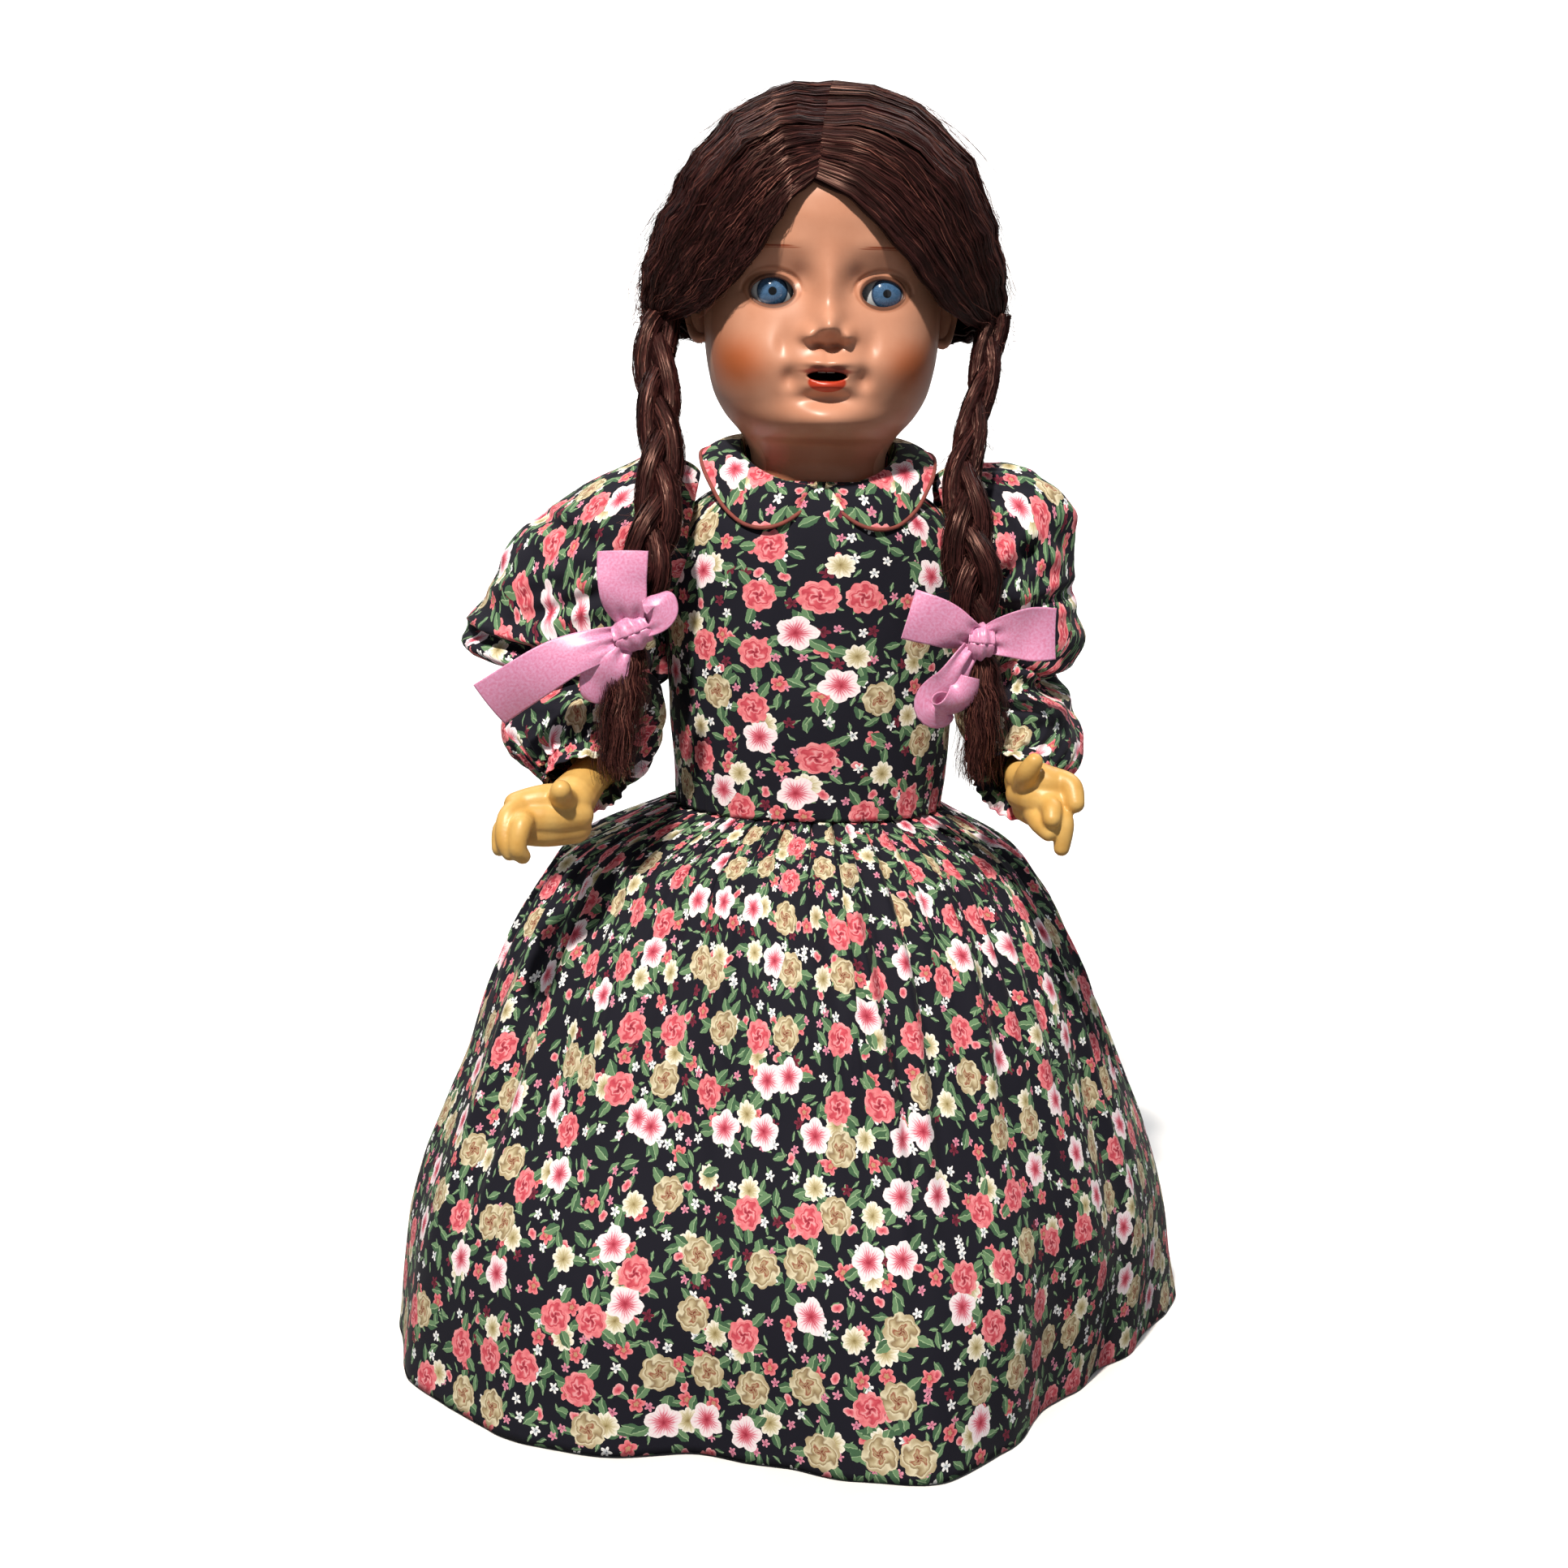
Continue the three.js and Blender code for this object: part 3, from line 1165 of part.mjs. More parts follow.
// The sleeve in its two parts, which meet in the fold at the elbow, and the cuff.
function buildSleeve(side, suffix, arm, elbow) {
  const run = SLEEVE_RUN.map(point);
  const rings = (inset) =>
    runRings(
      run,
      SLEEVE_SHARES.map((share) => share * SLEEVE_RADIUS - inset),
      SLEEVE_SIDES,
      (t, angle) => 1 + SLEEVE_FOLD_SHARE * Math.sin(Math.PI * t) * Math.cos(SLEEVE_FOLDS * angle),
    );
  const [outer, inner] = [rings(0), rings(CLOTH)];
  const tube = (outside, inside) => grid([...outside, ...inside.reverse()], { loop: true });
  const elbowRing = Math.round(SLEEVE_ELBOW_SHARE * (run.length - 1));
  const upper = tube(outer.slice(0, elbowRing + 1), inner.slice(0, elbowRing + 1));
  piece("upper_sleeve_" + suffix, forSide(upper, side), print, arm);

  const onward = run[elbowRing + 1].clone().sub(run[elbowRing]).setLength(2 * GAP);
  const lowered = (all) => {
    const [first, ...rest] = all.slice(elbowRing);
    return [first.map((p) => p.clone().add(onward)), ...rest];
  };
  const lower = tube(lowered(outer), lowered(inner)).translate(
    -UPPER_ARM_RUN.x,
    -UPPER_ARM_RUN.y,
    -UPPER_ARM_RUN.z,
  );
  piece("lower_sleeve_" + suffix, forSide(lower, side), print, elbow);

  const [beforeEnd, end] = run.slice(-2);
  const direction = end.clone().sub(beforeEnd).normalize();
  const cuffStart = end.clone().sub(UPPER_ARM_RUN).addScaledVector(direction, GAP);
  const cuffEnd = cuffStart.clone().addScaledVector(direction, CUFF_LENGTH);
  const ends = [cuffStart, cuffEnd];
  const cuffRings = (radius) => runRings(ends, [radius, radius], SLEEVE_SIDES);
  const cuff = tube(cuffRings(CUFF_RADIUS), cuffRings(CUFF_RADIUS - CLOTH));
  piece("cuff_" + suffix, forSide(cuff, side), print, elbow);
}

// The hand from the wrist on: a palm, four curled fingers and a thumb, cut clear of the forearm.
function buildHand(forearm) {
  const palmPoints = PALM_SHARES.map(([t]) => FOREARM_RUN.clone().addScaledVector(HAND_RUN, t));
  const palmRadii = PALM_SHARES.map(([, s]) => [s * PALM_HALF_WIDTH, s * PALM_HALF_THICKNESS]);
  const start = new THREE.Vector3(-1, -1, 0).normalize();
  let hand = solid(grid(runRings(palmPoints, palmRadii, PALM_SIDES, undefined, start)));
  for (const run of FINGER_RUNS) {
    const course = run.map((p) => point(p).add(FOREARM_RUN));
    const radii = FINGER_SHARES.map((share) => share * FINGER_RADIUS);
    const path = new THREE.CatmullRomCurve3(course).getPoints(radii.length - 1);
    hand = hand.add(solid(grid(runRings(path, radii, FINGER_SIDES))));
  }
  const direction = FOREARM_RUN.clone().normalize();
  const wristEnd = FOREARM_RUN.clone().addScaledVector(direction, GAP);
  const away = wire(FOREARM_RUN.clone().multiplyScalar(1 / 2), wristEnd, PALM_HALF_WIDTH);
  return shape(hand.subtract(solid(away)).subtract(forearm));
}

// One leg: the thigh with its balls, the shin with its foot, and the hook.
function buildLeg(side) {
  const suffix = side > 0 ? "left" : "right";
  const leg = new THREE.Group();
  leg.position.copy(hipAt(side));
  doll.add(leg);
  const down = (length, share) => new THREE.Vector3(0, 0, -length * share);
  const knee = down(THIGH_LENGTH, 1);
  const thighRings = runRings(
    THIGH_SHARES.map(([t]) => down(THIGH_LENGTH, t)),
    THIGH_SHARES.map(([, r]) => r * THIGH_RADIUS),
    LEG_SIDES,
  );
  const thigh = solid(grid(thighRings))
    .add(solid(ball(HIP_BALL_RADIUS, new THREE.Vector3())))
    .add(solid(ball(KNEE_BALL_RADIUS, knee)));
  piece("thigh_" + suffix, forSide(shape(thigh), side), paleSkin, leg);

  const eyeAt = new THREE.Vector3(0, 0, LEG_HOOK_RISE);
  const shank = wire(
    new THREE.Vector3(0, 0, HIP_BALL_RADIUS + GAP),
    new THREE.Vector3(0, 0, LEG_HOOK_RISE - HOOK_EYE_RADIUS),
    HOOK_WIRE_RADIUS,
  );
  piece("leg_hook_" + suffix, shape(solid(shank).add(solid(hookEye(eyeAt)))), steel, leg);

  const shin = new THREE.Group();
  shin.position.copy(knee);
  leg.add(shin);
  const ankleDrop = SHIN_LENGTH - FOOT_HEIGHT / 2;
  const calfRings = runRings(
    [...CALF_SHARES.map(([t]) => down(SHIN_LENGTH, t)), down(ankleDrop, 1)],
    [...CALF_SHARES.map(([, r]) => r * CALF_RADIUS), ANKLE_RADIUS],
    LEG_SIDES,
  );
  const footRings = FOOT_SHARES.map(([t, wide, high]) => {
    const y = THREE.MathUtils.lerp(HEEL_REACH, -TOE_REACH, t);
    const halfWidth = wide * FOOT_HALF_WIDTH;
    const height = high * FOOT_HEIGHT;
    return Array.from({ length: LEG_SIDES }, (_, i) => {
      const angle = (2 * Math.PI * i) / LEG_SIDES;
      const rise = Math.max(0, (1 + 2 * Math.sin(angle)) / 3);
      return new THREE.Vector3(halfWidth * Math.cos(angle), y, height * rise - SHIN_LENGTH);
    });
  });
  const foot = solid(grid(footRings));
  const shinSolid = solid(grid(calfRings))
    .subtract(solid(seatBall(KNEE_BALL_RADIUS + TURN_GAP, new THREE.Vector3())))
    .add(foot);
  piece("shin_" + suffix, forSide(shape(shinSolid), side), paleSkin, shin);
}

// The bodice: a cloth shell from the waist to the neck, with armholes, and its back buttons.
function buildBodice() {
  const rows = (inset) =>
    BODICE_SHARES.map(([up, wide, front, back]) =>
      oval(
        WAIST_Z + up * BODICE_HEIGHT,
        wide * BODICE_HALF_WIDTH - inset,
        front * BODICE_FRONT - inset,
        back * BODICE_BACK - inset,
        BODICE_SIDES,
      ),
    );
  const inner = everyOther(rows(CLOTH));
  inner.forEach((ring, k) => ring.forEach((p) => (p.z -= (k / (inner.length - 1)) * CLOTH)));
  let bodice = solid(grid([...rows(0), ...inner.reverse()], { loop: true }));
  for (const side of [1, -1]) {
    const hole = new THREE.CylinderGeometry(ARMHOLE_RADIUS, ARMHOLE_RADIUS, OVERRUN, SLEEVE_SIDES)
      .rotateZ(Math.PI / 2)
      .translate(side * (ARMHOLE_X + OVERRUN / 2), 0, SHOULDER_Z);
    bodice = bodice.subtract(solid(hole));
  }
  const parts = bodice.decompose().sort((a, b) => b.volume() - a.volume());
  piece("bodice", shape(parts[0]), print, doll);

  for (let k = 0; k < BUTTONS; k++) {
    const up = (k + 1 / 2) / BUTTONS;
    const z = WAIST_Z + up * (BODICE_HEIGHT - BODICE_TOP_INSET);
    const edges = [z - BUTTON_RADIUS, z + BUTTON_RADIUS].map((edge) => (edge - WAIST_Z) / BODICE_HEIGHT);
    const y = Math.max(...edges.map(backOfBodice)) + GAP + BUTTON_THICKNESS / 2;
    const at = new THREE.Vector3(0, y, z);
    const button = barAlongY(BUTTON_RADIUS, BUTTON_RADIUS, BUTTON_THICKNESS, at, BUTTON_SIDES);
    piece("back_button_" + (k + 1), button, buttonPearl, doll);
  }
}

// How far back the bodice's outside reaches at a share of its height.
function backOfBodice(up) {
  const k = Math.max(0, BODICE_SHARES.findIndex(([t]) => t >= up) - 1);
  const [t0, , , b0] = BODICE_SHARES[k];
  const [t1, , , b1] = BODICE_SHARES[k + 1];
  return BODICE_BACK * THREE.MathUtils.mapLinear(up, t0, t1, b0, b1);
}

// The skirt: gathered at the waist, hanging in broad folds to just above the floor.
function buildSkirt() {
  const top = WAIST_Z - GAP;
  const ring = ([up, radius], inset) => {
    const hang = 1 - up;
    return Array.from({ length: SKIRT_SIDES }, (_, i) => {
      const angle = (2 * Math.PI * i) / SKIRT_SIDES;
      const broad = SKIRT_FOLD_DEPTH * Math.sqrt(hang) * Math.cos(SKIRT_FOLDS * angle);
      const fine = GATHER_DEPTH * up * up * Math.cos(GATHERS * angle);
      const out = radius * SKIRT_RADIUS + broad + fine - inset;
      const depth = THREE.MathUtils.lerp(1, SKIRT_WAIST_DEPTH_SHARE, Math.pow(up, 4));
      const z = HEM_CLEARANCE + up * (top - HEM_CLEARANCE);
      return new THREE.Vector3(out * Math.sin(angle), -out * depth * Math.cos(angle), z);
    });
  };
  const outer = SKIRT_SHARES.map((row) => ring(row, 0));
  const inner = everyOther(SKIRT_SHARES).map((row) => ring(row, SKIRT_WALL));
  piece("skirt", grid([...outer, ...inner.reverse()], { loop: true }), print, doll);
}

// One collar half and its piping: round at the front, standing off the shoulder at the side.
function buildCollar(side) {
  const suffix = side > 0 ? "left" : "right";
  const edges = Array.from({ length: COLLAR_STEPS + 1 }, (_, k) => {
    const angle = THREE.MathUtils.lerp(COLLAR_FRONT_ANGLE, COLLAR_BACK_ANGLE, k / COLLAR_STEPS);
    const from = Math.min(angle - COLLAR_FRONT_ANGLE, COLLAR_BACK_ANGLE - angle) / COLLAR_CORNER_ANGLE;
    const open = Math.sqrt(1 - Math.pow(Math.max(0, 1 - from - COLLAR_CORNER_SHARE), 2));
    const back = (1 - Math.cos(angle)) / 2;
    const beside = Math.sin(angle) ** 2;
    const out = new THREE.Vector3(Math.sin(angle), -Math.cos(angle), 0);
    const inner = out.clone().multiplyScalar(COLLAR_INNER_RADIUS);
    inner.z = WAIST_Z + BODICE_HEIGHT + COLLAR_STAND + COLLAR_BACK_RISE * Math.sin(angle / 2);
    const outer = out.clone().multiplyScalar(COLLAR_INNER_RADIUS + COLLAR_DEPTH * open);
    const fall = THREE.MathUtils.lerp(COLLAR_FRONT_FALL, COLLAR_BACK_FALL, back) * (1 - beside);
    outer.z = inner.z + (COLLAR_SIDE_LIFT * beside - fall) * open;
    return { inner, outer, out };
  });
  const lift = new THREE.Vector3(0, 0, COLLAR_WALL);
  const rings = edges.map(({ inner, outer }) => {
    const middle = inner.clone().lerp(outer, 1 / 2).addScaledVector(lift, 1 / 2);
    const above = [outer, middle, inner].map((p) => p.clone().add(lift));
    return [inner, middle, outer, ...above];
  });
  piece("collar_" + suffix, forSide(grid(rings), side), print, doll);
  const stand = PIPING_RADIUS + GAP;
  const path = edges.map(({ outer, out }) =>
    outer.clone().addScaledVector(out, stand).addScaledVector(lift, 1 / 2),
  );
  const piping = grid(runRings(path, path.map(() => PIPING_RADIUS), WIRE_SIDES, undefined, lift));
  piece("collar_piping_" + suffix, forSide(piping, side), trim, doll);
}

buildHead();
buildMouth();
buildEyes();
buildNeck();
buildHair();
piece("plait_left", plaitRun(PLAIT_LEFT_POINTS), hair, doll);
piece("plait_right", plaitRun(PLAIT_RIGHT_POINTS), hair, doll);
buildBow("ribbon_left", PLAIT_LEFT_POINTS, BOW_LEFT_RUNS);
buildBow("ribbon_right", PLAIT_RIGHT_POINTS, BOW_RIGHT_RUNS);
buildTorso();
buildCrier();
buildStringing();
for (const side of [1, -1]) {
  buildArm(side);
  buildLeg(side);
  buildCollar(side);
}
buildBodice();
buildSkirt();

export default doll;
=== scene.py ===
"""The looks of a mama doll: composition head and limbs, glass eyes, mohair plaits, a printed cotton dress.

She stands on +Z and faces -Y, and left and right are her own. Sizes in the classes are millimetres.
"""

import json
import logging
import math
from collections.abc import Callable, Iterable, Sequence
from dataclasses import dataclass

import bpy
import numpy as np
from mathutils import Euler, Matrix, Vector, noise


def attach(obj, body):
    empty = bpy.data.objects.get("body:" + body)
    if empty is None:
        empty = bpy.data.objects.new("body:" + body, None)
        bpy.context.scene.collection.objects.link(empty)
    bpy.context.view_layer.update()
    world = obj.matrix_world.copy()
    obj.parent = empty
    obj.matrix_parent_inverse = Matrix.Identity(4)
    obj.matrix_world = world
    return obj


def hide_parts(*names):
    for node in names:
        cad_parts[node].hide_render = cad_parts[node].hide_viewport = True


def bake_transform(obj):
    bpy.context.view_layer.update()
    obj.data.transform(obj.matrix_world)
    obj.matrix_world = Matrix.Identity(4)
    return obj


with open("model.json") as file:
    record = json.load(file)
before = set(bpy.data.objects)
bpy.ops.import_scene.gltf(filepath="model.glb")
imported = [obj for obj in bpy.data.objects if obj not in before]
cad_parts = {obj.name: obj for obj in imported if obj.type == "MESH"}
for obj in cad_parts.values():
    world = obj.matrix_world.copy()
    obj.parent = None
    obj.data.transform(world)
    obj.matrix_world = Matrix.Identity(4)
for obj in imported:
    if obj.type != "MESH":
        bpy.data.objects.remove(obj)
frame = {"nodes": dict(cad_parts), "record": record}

LOG = logging.getLogger("mama_doll")
BODICE_CUT = (362.0, 142.0)
PUFF_CUT = (236.0, 150.0)
LOWER_SLEEVE_CUT = (200.0, 60.0)
COLLAR_CUT = (118.0, 24.0)
MM = 0.001
Array = np.ndarray
Stops = Sequence[tuple[float, str]]


# Small helpers for meshes

def linear(colour: str) -> tuple[float, float, float, float]:
    """An sRGB hex colour as the linear RGBA that Blender's sockets take."""
    parts = [int(colour[k : k + 2], 16) / 255 for k in (1, 3, 5)]
    red, green, blue = (c / 12.92 if c <= 0.04045 else ((c + 0.055) / 1.055) ** 2.4 for c in parts)
    return red, green, blue, 1.0


def along(points: Sequence, share: Array) -> Array:
    """Points on a smooth curve through a list of rows.

    Args:
        points: rows of equal length that the curve passes through, evenly spaced in share.
        share: places from 0 at the first row to 1 at the last.

    Returns:
        One row for each share.
    """
    rows = np.asarray(points, float)
    last = len(rows) - 1
    place = np.clip(np.asarray(share, float), 0, 1) * last
    low = np.minimum(place.astype(int), last - 1)
    u = (place - low).reshape(place.shape + (1,) * (rows.ndim - 1))
    before, here = rows[np.maximum(low - 1, 0)], rows[low]
    there, after = rows[low + 1], rows[np.minimum(low + 2, last)]
    bend = 2 * before - 5 * here + 4 * there - after
    turn = 3 * here - before - 3 * there + after
    return (2 * here + (there - before) * u + bend * u**2 + turn * u**3) / 2


def smooth_rows(rows: Sequence, key: Array) -> Array:
    """Columns of a table read smoothly at any key.

    Args:
        rows: rows of a key, rising, and its values.
        key: the keys to read at.

    Returns:
        The values at each key, one column for each value.
    """
    table = np.asarray(rows, float)
    keys, values = table[:, 0], table[:, 1:]
    slopes = np.gradient(values, keys, axis=0)
    at = np.clip(np.asarray(key, float), keys[0], keys[-1])
    low = np.clip(np.searchsorted(keys, at) - 1, 0, len(keys) - 2)
    step = (keys[low + 1] - keys[low])[..., None]
    u = (at - keys[low])[..., None] / step
    start, end = values[low], values[low + 1]
    rise = (u**3 - 2 * u**2 + u) * step * slopes[low] + (u**3 - u**2) * step * slopes[low + 1]
    return start + (end - start) * (3 * u**2 - 2 * u**3) + rise


def wrinkle(points: Array, size: float, seed: float) -> Array:
    """Smooth noise from -1 to 1 at points in millimetres, with features of about that size."""
    moved = points.reshape(-1, 3) / size + seed
    values = [noise.noise(Vector(p)) for p in moved]
    return np.array(values).reshape(points.shape[:-1])


def unit(vectors: Array) -> Array:
    """Vectors at length one."""
    return vectors / np.maximum(np.linalg.norm(vectors, axis=-1, keepdims=True), 1e-9)


def select_only(*objects: bpy.types.Object) -> None:
    """Deselects all, then selects these, the first one active."""
    bpy.ops.object.select_all(action="DESELECT")
    for item in objects:
        item.select_set(True)
    bpy.context.view_layer.objects.active = objects[0]


def finish_with(piece: bpy.types.Object, kind: str, **settings: object) -> bpy.types.Object:
    """Adds a modifier with its settings and applies it."""
    select_only(piece)
    modifier = piece.modifiers.new(kind.title(), kind)
    for name, value in settings.items():
        setattr(modifier, name, value)
    bpy.ops.object.modifier_apply(modifier=modifier.name)
    return piece


def named(piece: bpy.types.Object, name: str) -> bpy.types.Object:
    """Names a piece and its mesh, and shades it smooth."""
    piece.name = piece.data.name = name
    piece.data.shade_smooth()
    return piece


def joined(pieces: Sequence[bpy.types.Object], name: str) -> bpy.types.Object:
    """Several pieces as one mesh."""
    select_only(*pieces)
    if len(pieces) > 1:
        bpy.ops.object.join()
    return named(bpy.context.view_layer.objects.active, name)


def raw_mesh(name: str, points: Array, faces: Array) -> bpy.types.Object:
    """A mesh from points in millimetres and faces of equal counts."""
    mesh = bpy.data.meshes.new(name)
    mesh.from_pydata((points.reshape(-1, 3) * MM).tolist(), [], faces.tolist())
    piece = bpy.data.objects.new(name, mesh)
    bpy.context.scene.collection.objects.link(piece)
    return named(piece, name)


def coordinates(piece: bpy.types.Object) -> Array:
    """A mesh's vertices in millimetres."""
    values = np.zeros(len(piece.data.vertices) * 3)
    piece.data.vertices.foreach_get("co", values)
    return values.reshape(-1, 3) / MM


def place_vertices(piece: bpy.types.Object, points: Array) -> None:
    """Moves a mesh's vertices to points in millimetres."""
    piece.data.vertices.foreach_set("co", (points * MM).ravel())
    piece.data.update()


def woven(
    name: str,
    counts: tuple[int, int],
    flat: tuple[float, float],
    place: Callable[[Array, Array], Array],
    closed: bool = False,
    cut_to_length: bool = False,
) -> bpy.types.Object:
    """A sheet made from a flat grid, whose UV map is its cloth in millimetres.

    Args:
        name: the piece's name.
        counts: faces across and along.
        flat: the cloth's width and length in millimetres.
        place: gives points in millimetres for shares across and along.
        closed: whether the last column meets the first.
        cut_to_length: whether each column is as long in the cloth as it hangs, as at a sleeve's head.

    Returns:
        The sheet, one layer thick.
    """
    bpy.ops.object.select_all(action="DESELECT")
    bpy.ops.mesh.primitive_grid_add(x_subdivisions=counts[0], y_subdivisions=counts[1], size=1)
    piece = bpy.context.view_layer.objects.active
    shares = np.zeros(len(piece.data.vertices) * 3)
    piece.data.vertices.foreach_get("co", shares)
    across, length, _ = shares.reshape(-1, 3).T + 0.5
    place_vertices(piece, place(across, length))
    layer = piece.data.uv_layers[0]
    layer.name = CLOTH_MAP
    cloth = np.zeros(len(layer.uv) * 2, np.float32)
    layer.uv.foreach_get("vector", cloth)
    cloth = cloth.reshape(-1, 2) * flat
    if cut_to_length:
        order = np.lexsort((length, across)).reshape(counts[0] + 1, counts[1] + 1)
        steps = np.linalg.norm(np.diff(coordinates(piece)[order], axis=1), axis=-1)
        run = np.zeros(len(across))
        run[order[:, 1:]] = np.cumsum(steps, axis=1)
        corners = np.zeros(len(cloth), np.int32)
        piece.data.loops.foreach_get("vertex_index", corners)
        cloth[:, 1] = run[corners]
    layer.uv.foreach_set("vector", cloth.astype(np.float32).ravel())
    if closed:
        bpy.ops.object.mode_set(mode="EDIT")
        bpy.ops.mesh.select_all(action="SELECT")
        bpy.ops.mesh.remove_doubles(threshold=1e-7)
        bpy.ops.object.mode_set(mode="OBJECT")
    return named(piece, name)


def shaded(piece: bpy.types.Object, values: Array) -> bpy.types.Object:
    """Keeps one shade for each vertex, which the hair's finish reads."""
    attribute = piece.data.attributes.new(SHADE, "FLOAT", "POINT")
    attribute.data.foreach_set("value", values.astype(np.float32))
    return piece


def strips(name: str, paths: Array, radii: Array, facing: Array, shades: Array) -> bpy.types.Object:
    """Many fine flat hairs in one mesh, each with its own shade.

    Args:
        name: the piece's name.
        paths: centre lines in millimetres, one row of points for each hair.
        radii: half a width for each of those points.
        facing: the way each hair's flat side looks, there.
        shades: a number from 0 to 1 for each hair.

    Returns:
        The hairs as one piece.
    """
    count, steps, _ = paths.shape
    side = unit(np.cross(unit(np.gradient(paths, axis=1)), facing)) * radii[..., None]
    points = np.stack([paths - side, paths + side], 2)
    first = (np.arange(count)[:, None] * steps + np.arange(steps - 1)[None, :]) * 2
    quads = np.stack([first, first + 1, first + 3, first + 2], -1)
    return shaded(raw_mesh(name, points, quads.reshape(-1, 4)), np.repeat(shades, steps * 2))


def strands(name: str, paths: Array, radii: Array, shades: Array, sides: int = 3) -> bpy.types.Object:
    """Many thin tubes in one mesh, each with its own shade.

    Args:
        name: the piece's name.
        paths: centre lines in millimetres, one row of points for each strand.
        radii: a radius for each of those points.
        shades: a number from 0 to 1 for each strand, kept in the attribute that the hair reads.
        sides: flat sides around each tube.

    Returns:
        The strands as one piece.
    """
    count, steps, _ = paths.shape
    forward = unit(np.gradient(paths, axis=1))
    side = unit(np.cross(forward, np.array([0.31, 0.9, 0.3])))
    lift = np.cross(forward, side)
    turns = 2 * np.pi * np.arange(sides) / sides
    around = np.cos(turns)[:, None] * side[:, :, None, :] + np.sin(turns)[:, None] * lift[:, :, None, :]
    points = paths[:, :, None, :] + radii[:, :, None, None] * around
    first = (np.arange(count)[:, None, None] * steps + np.arange(steps - 1)[None, :, None]) * sides
    corner = np.arange(sides)[None, None, :]
    onward = (corner + 1) % sides
    quads = np.stack([first + corner, first + onward, first + sides + onward, first + sides + corner], -1)
    return shaded(raw_mesh(name, points, quads.reshape(-1, 4)), np.repeat(shades, steps * sides))


def turned_outwards(sheet: bpy.types.Object, up: bool = False) -> bpy.types.Object:
    """Flips a one-layer sheet whose faces mostly look at its own middle, or down where up is asked."""
    points = coordinates(sheet)
    middle = points.mean(0)
    looks = 0.0
    for face in sheet.data.polygons:
        centre = points[list(face.vertices)].mean(0)
        away = np.array((0, 0, 1.0)) if up else centre - middle
        looks += float(np.dot(np.array(face.normal), away)) * face.area
    if looks < 0:
        select_only(sheet)
        bpy.ops.object.mode_set(mode="EDIT")
        bpy.ops.mesh.select_all(action="SELECT")
        bpy.ops.mesh.flip_normals()
        bpy.ops.object.mode_set(mode="OBJECT")
    return sheet


def rod(name: str, course: Sequence, radii: Sequence, sides: int = 16, steps: int = 26) -> bpy.types.Object:
    """A rounded rod along a smooth course in millimetres, closed at both ends."""
    share = np.linspace(0, 1, steps)
    middle = along(course, share)
    wide = smooth_rows([(k / (len(radii) - 1), r) for k, r in enumerate(radii)], share)[:, 0]
    bend = np.linspace(math.pi / 2, 0, 6)[:-1]
    start_way, end_way = unit(middle[0] - middle[1]), unit(middle[-1] - middle[-2])
    start = middle[0] + np.outer(np.sin(bend), start_way) * wide[0]
    end = middle[-1] + np.outer(np.sin(bend[::-1]), end_way) * wide[-1]
    path = np.concatenate([start, middle, end])
    radius = np.concatenate([wide[0] * np.cos(bend), wide, wide[-1] * np.cos(bend[::-1])])
    piece = strands(name, path[None], np.maximum(radius, 0.002)[None], np.zeros(1), sides)
    select_only(piece)
    bpy.ops.object.mode_set(mode="EDIT")
    bpy.ops.mesh.select_all(action="SELECT")
    bpy.ops.mesh.remove_doubles(threshold=0.01 * MM)
    bpy.ops.mesh.normals_make_consistent(inside=False)
    bpy.ops.object.mode_set(mode="OBJECT")
    return piece


def melted(pieces: Sequence[bpy.types.Object], name: str, voxel: float, rounds: int) -> bpy.types.Object:
    """Several closed pieces made one skin with soft joins.

    Args:
        pieces: closed meshes that overlap.
        name: the new piece's name.
        voxel: size of the new skin's faces in millimetres.
        rounds: how often the skin is evened out.
    """
    piece = joined(pieces, name)
    finish_with(piece, "REMESH", mode="VOXEL", voxel_size=voxel * MM, use_smooth_shade=True)
    finish_with(piece, "SMOOTH", factor=0.5, iterations=rounds)
    return named(piece, name)


def side_name(side: int) -> str:
    """Her own left is +X."""
    return "left" if side > 0 else "right"


CLOTH_MAP = "Cloth"
SHADE = "Shade"


# Small helpers for materials

def add_node(
    tree: bpy.types.NodeTree, kind: str, links: dict | None = None, **settings: object
) -> bpy.types.Node:
    """Adds a shader node with its settings, and links or sets its inputs.

    Args:
        tree: the material's nodes.
        kind: the node's type, without the word that all types start with.
        links: for an input's name or number, a node, a socket or a value.
        settings: the node's own properties.

    Returns:
        The new node.
    """
    node = tree.nodes.new("ShaderNode" + kind)
    for name, value in settings.items():
        setattr(node, name, value)
    for name, value in (links or {}).items():
        if isinstance(value, bpy.types.Node):
            value = value.outputs[0]
        if isinstance(value, bpy.types.NodeSocket):
            tree.links.new(value, node.inputs[name])
        else:
            node.inputs[name].default_value = value
    return node


def set_stops(ramp: bpy.types.Node, stops: Stops) -> bpy.types.Node:
    """Gives a colour ramp its stops, as places and hex colours."""
    elements = ramp.color_ramp.elements
    while len(elements) < len(stops):
        elements.new(0.5)
    for element, (place, colour) in zip(elements, stops):
        element.position = place
        element.color = linear(colour)
    return ramp


def new_material(name: str) -> tuple[bpy.types.Material, bpy.types.NodeTree, bpy.types.Node]:
    """A material with its nodes and its principled shader."""
    material = bpy.data.materials.new(name)
    material.use_nodes = True
    shader = next(n for n in material.node_tree.nodes if n.type == "BSDF_PRINCIPLED")
    return material, material.node_tree, shader


def set_shader(shader: bpy.types.Node, **values: object) -> None:
    """Sets the shader's own sockets, named with underscores for spaces."""
    for name, value in values.items():
        shader.inputs[name.replace("_", " ")].default_value = value


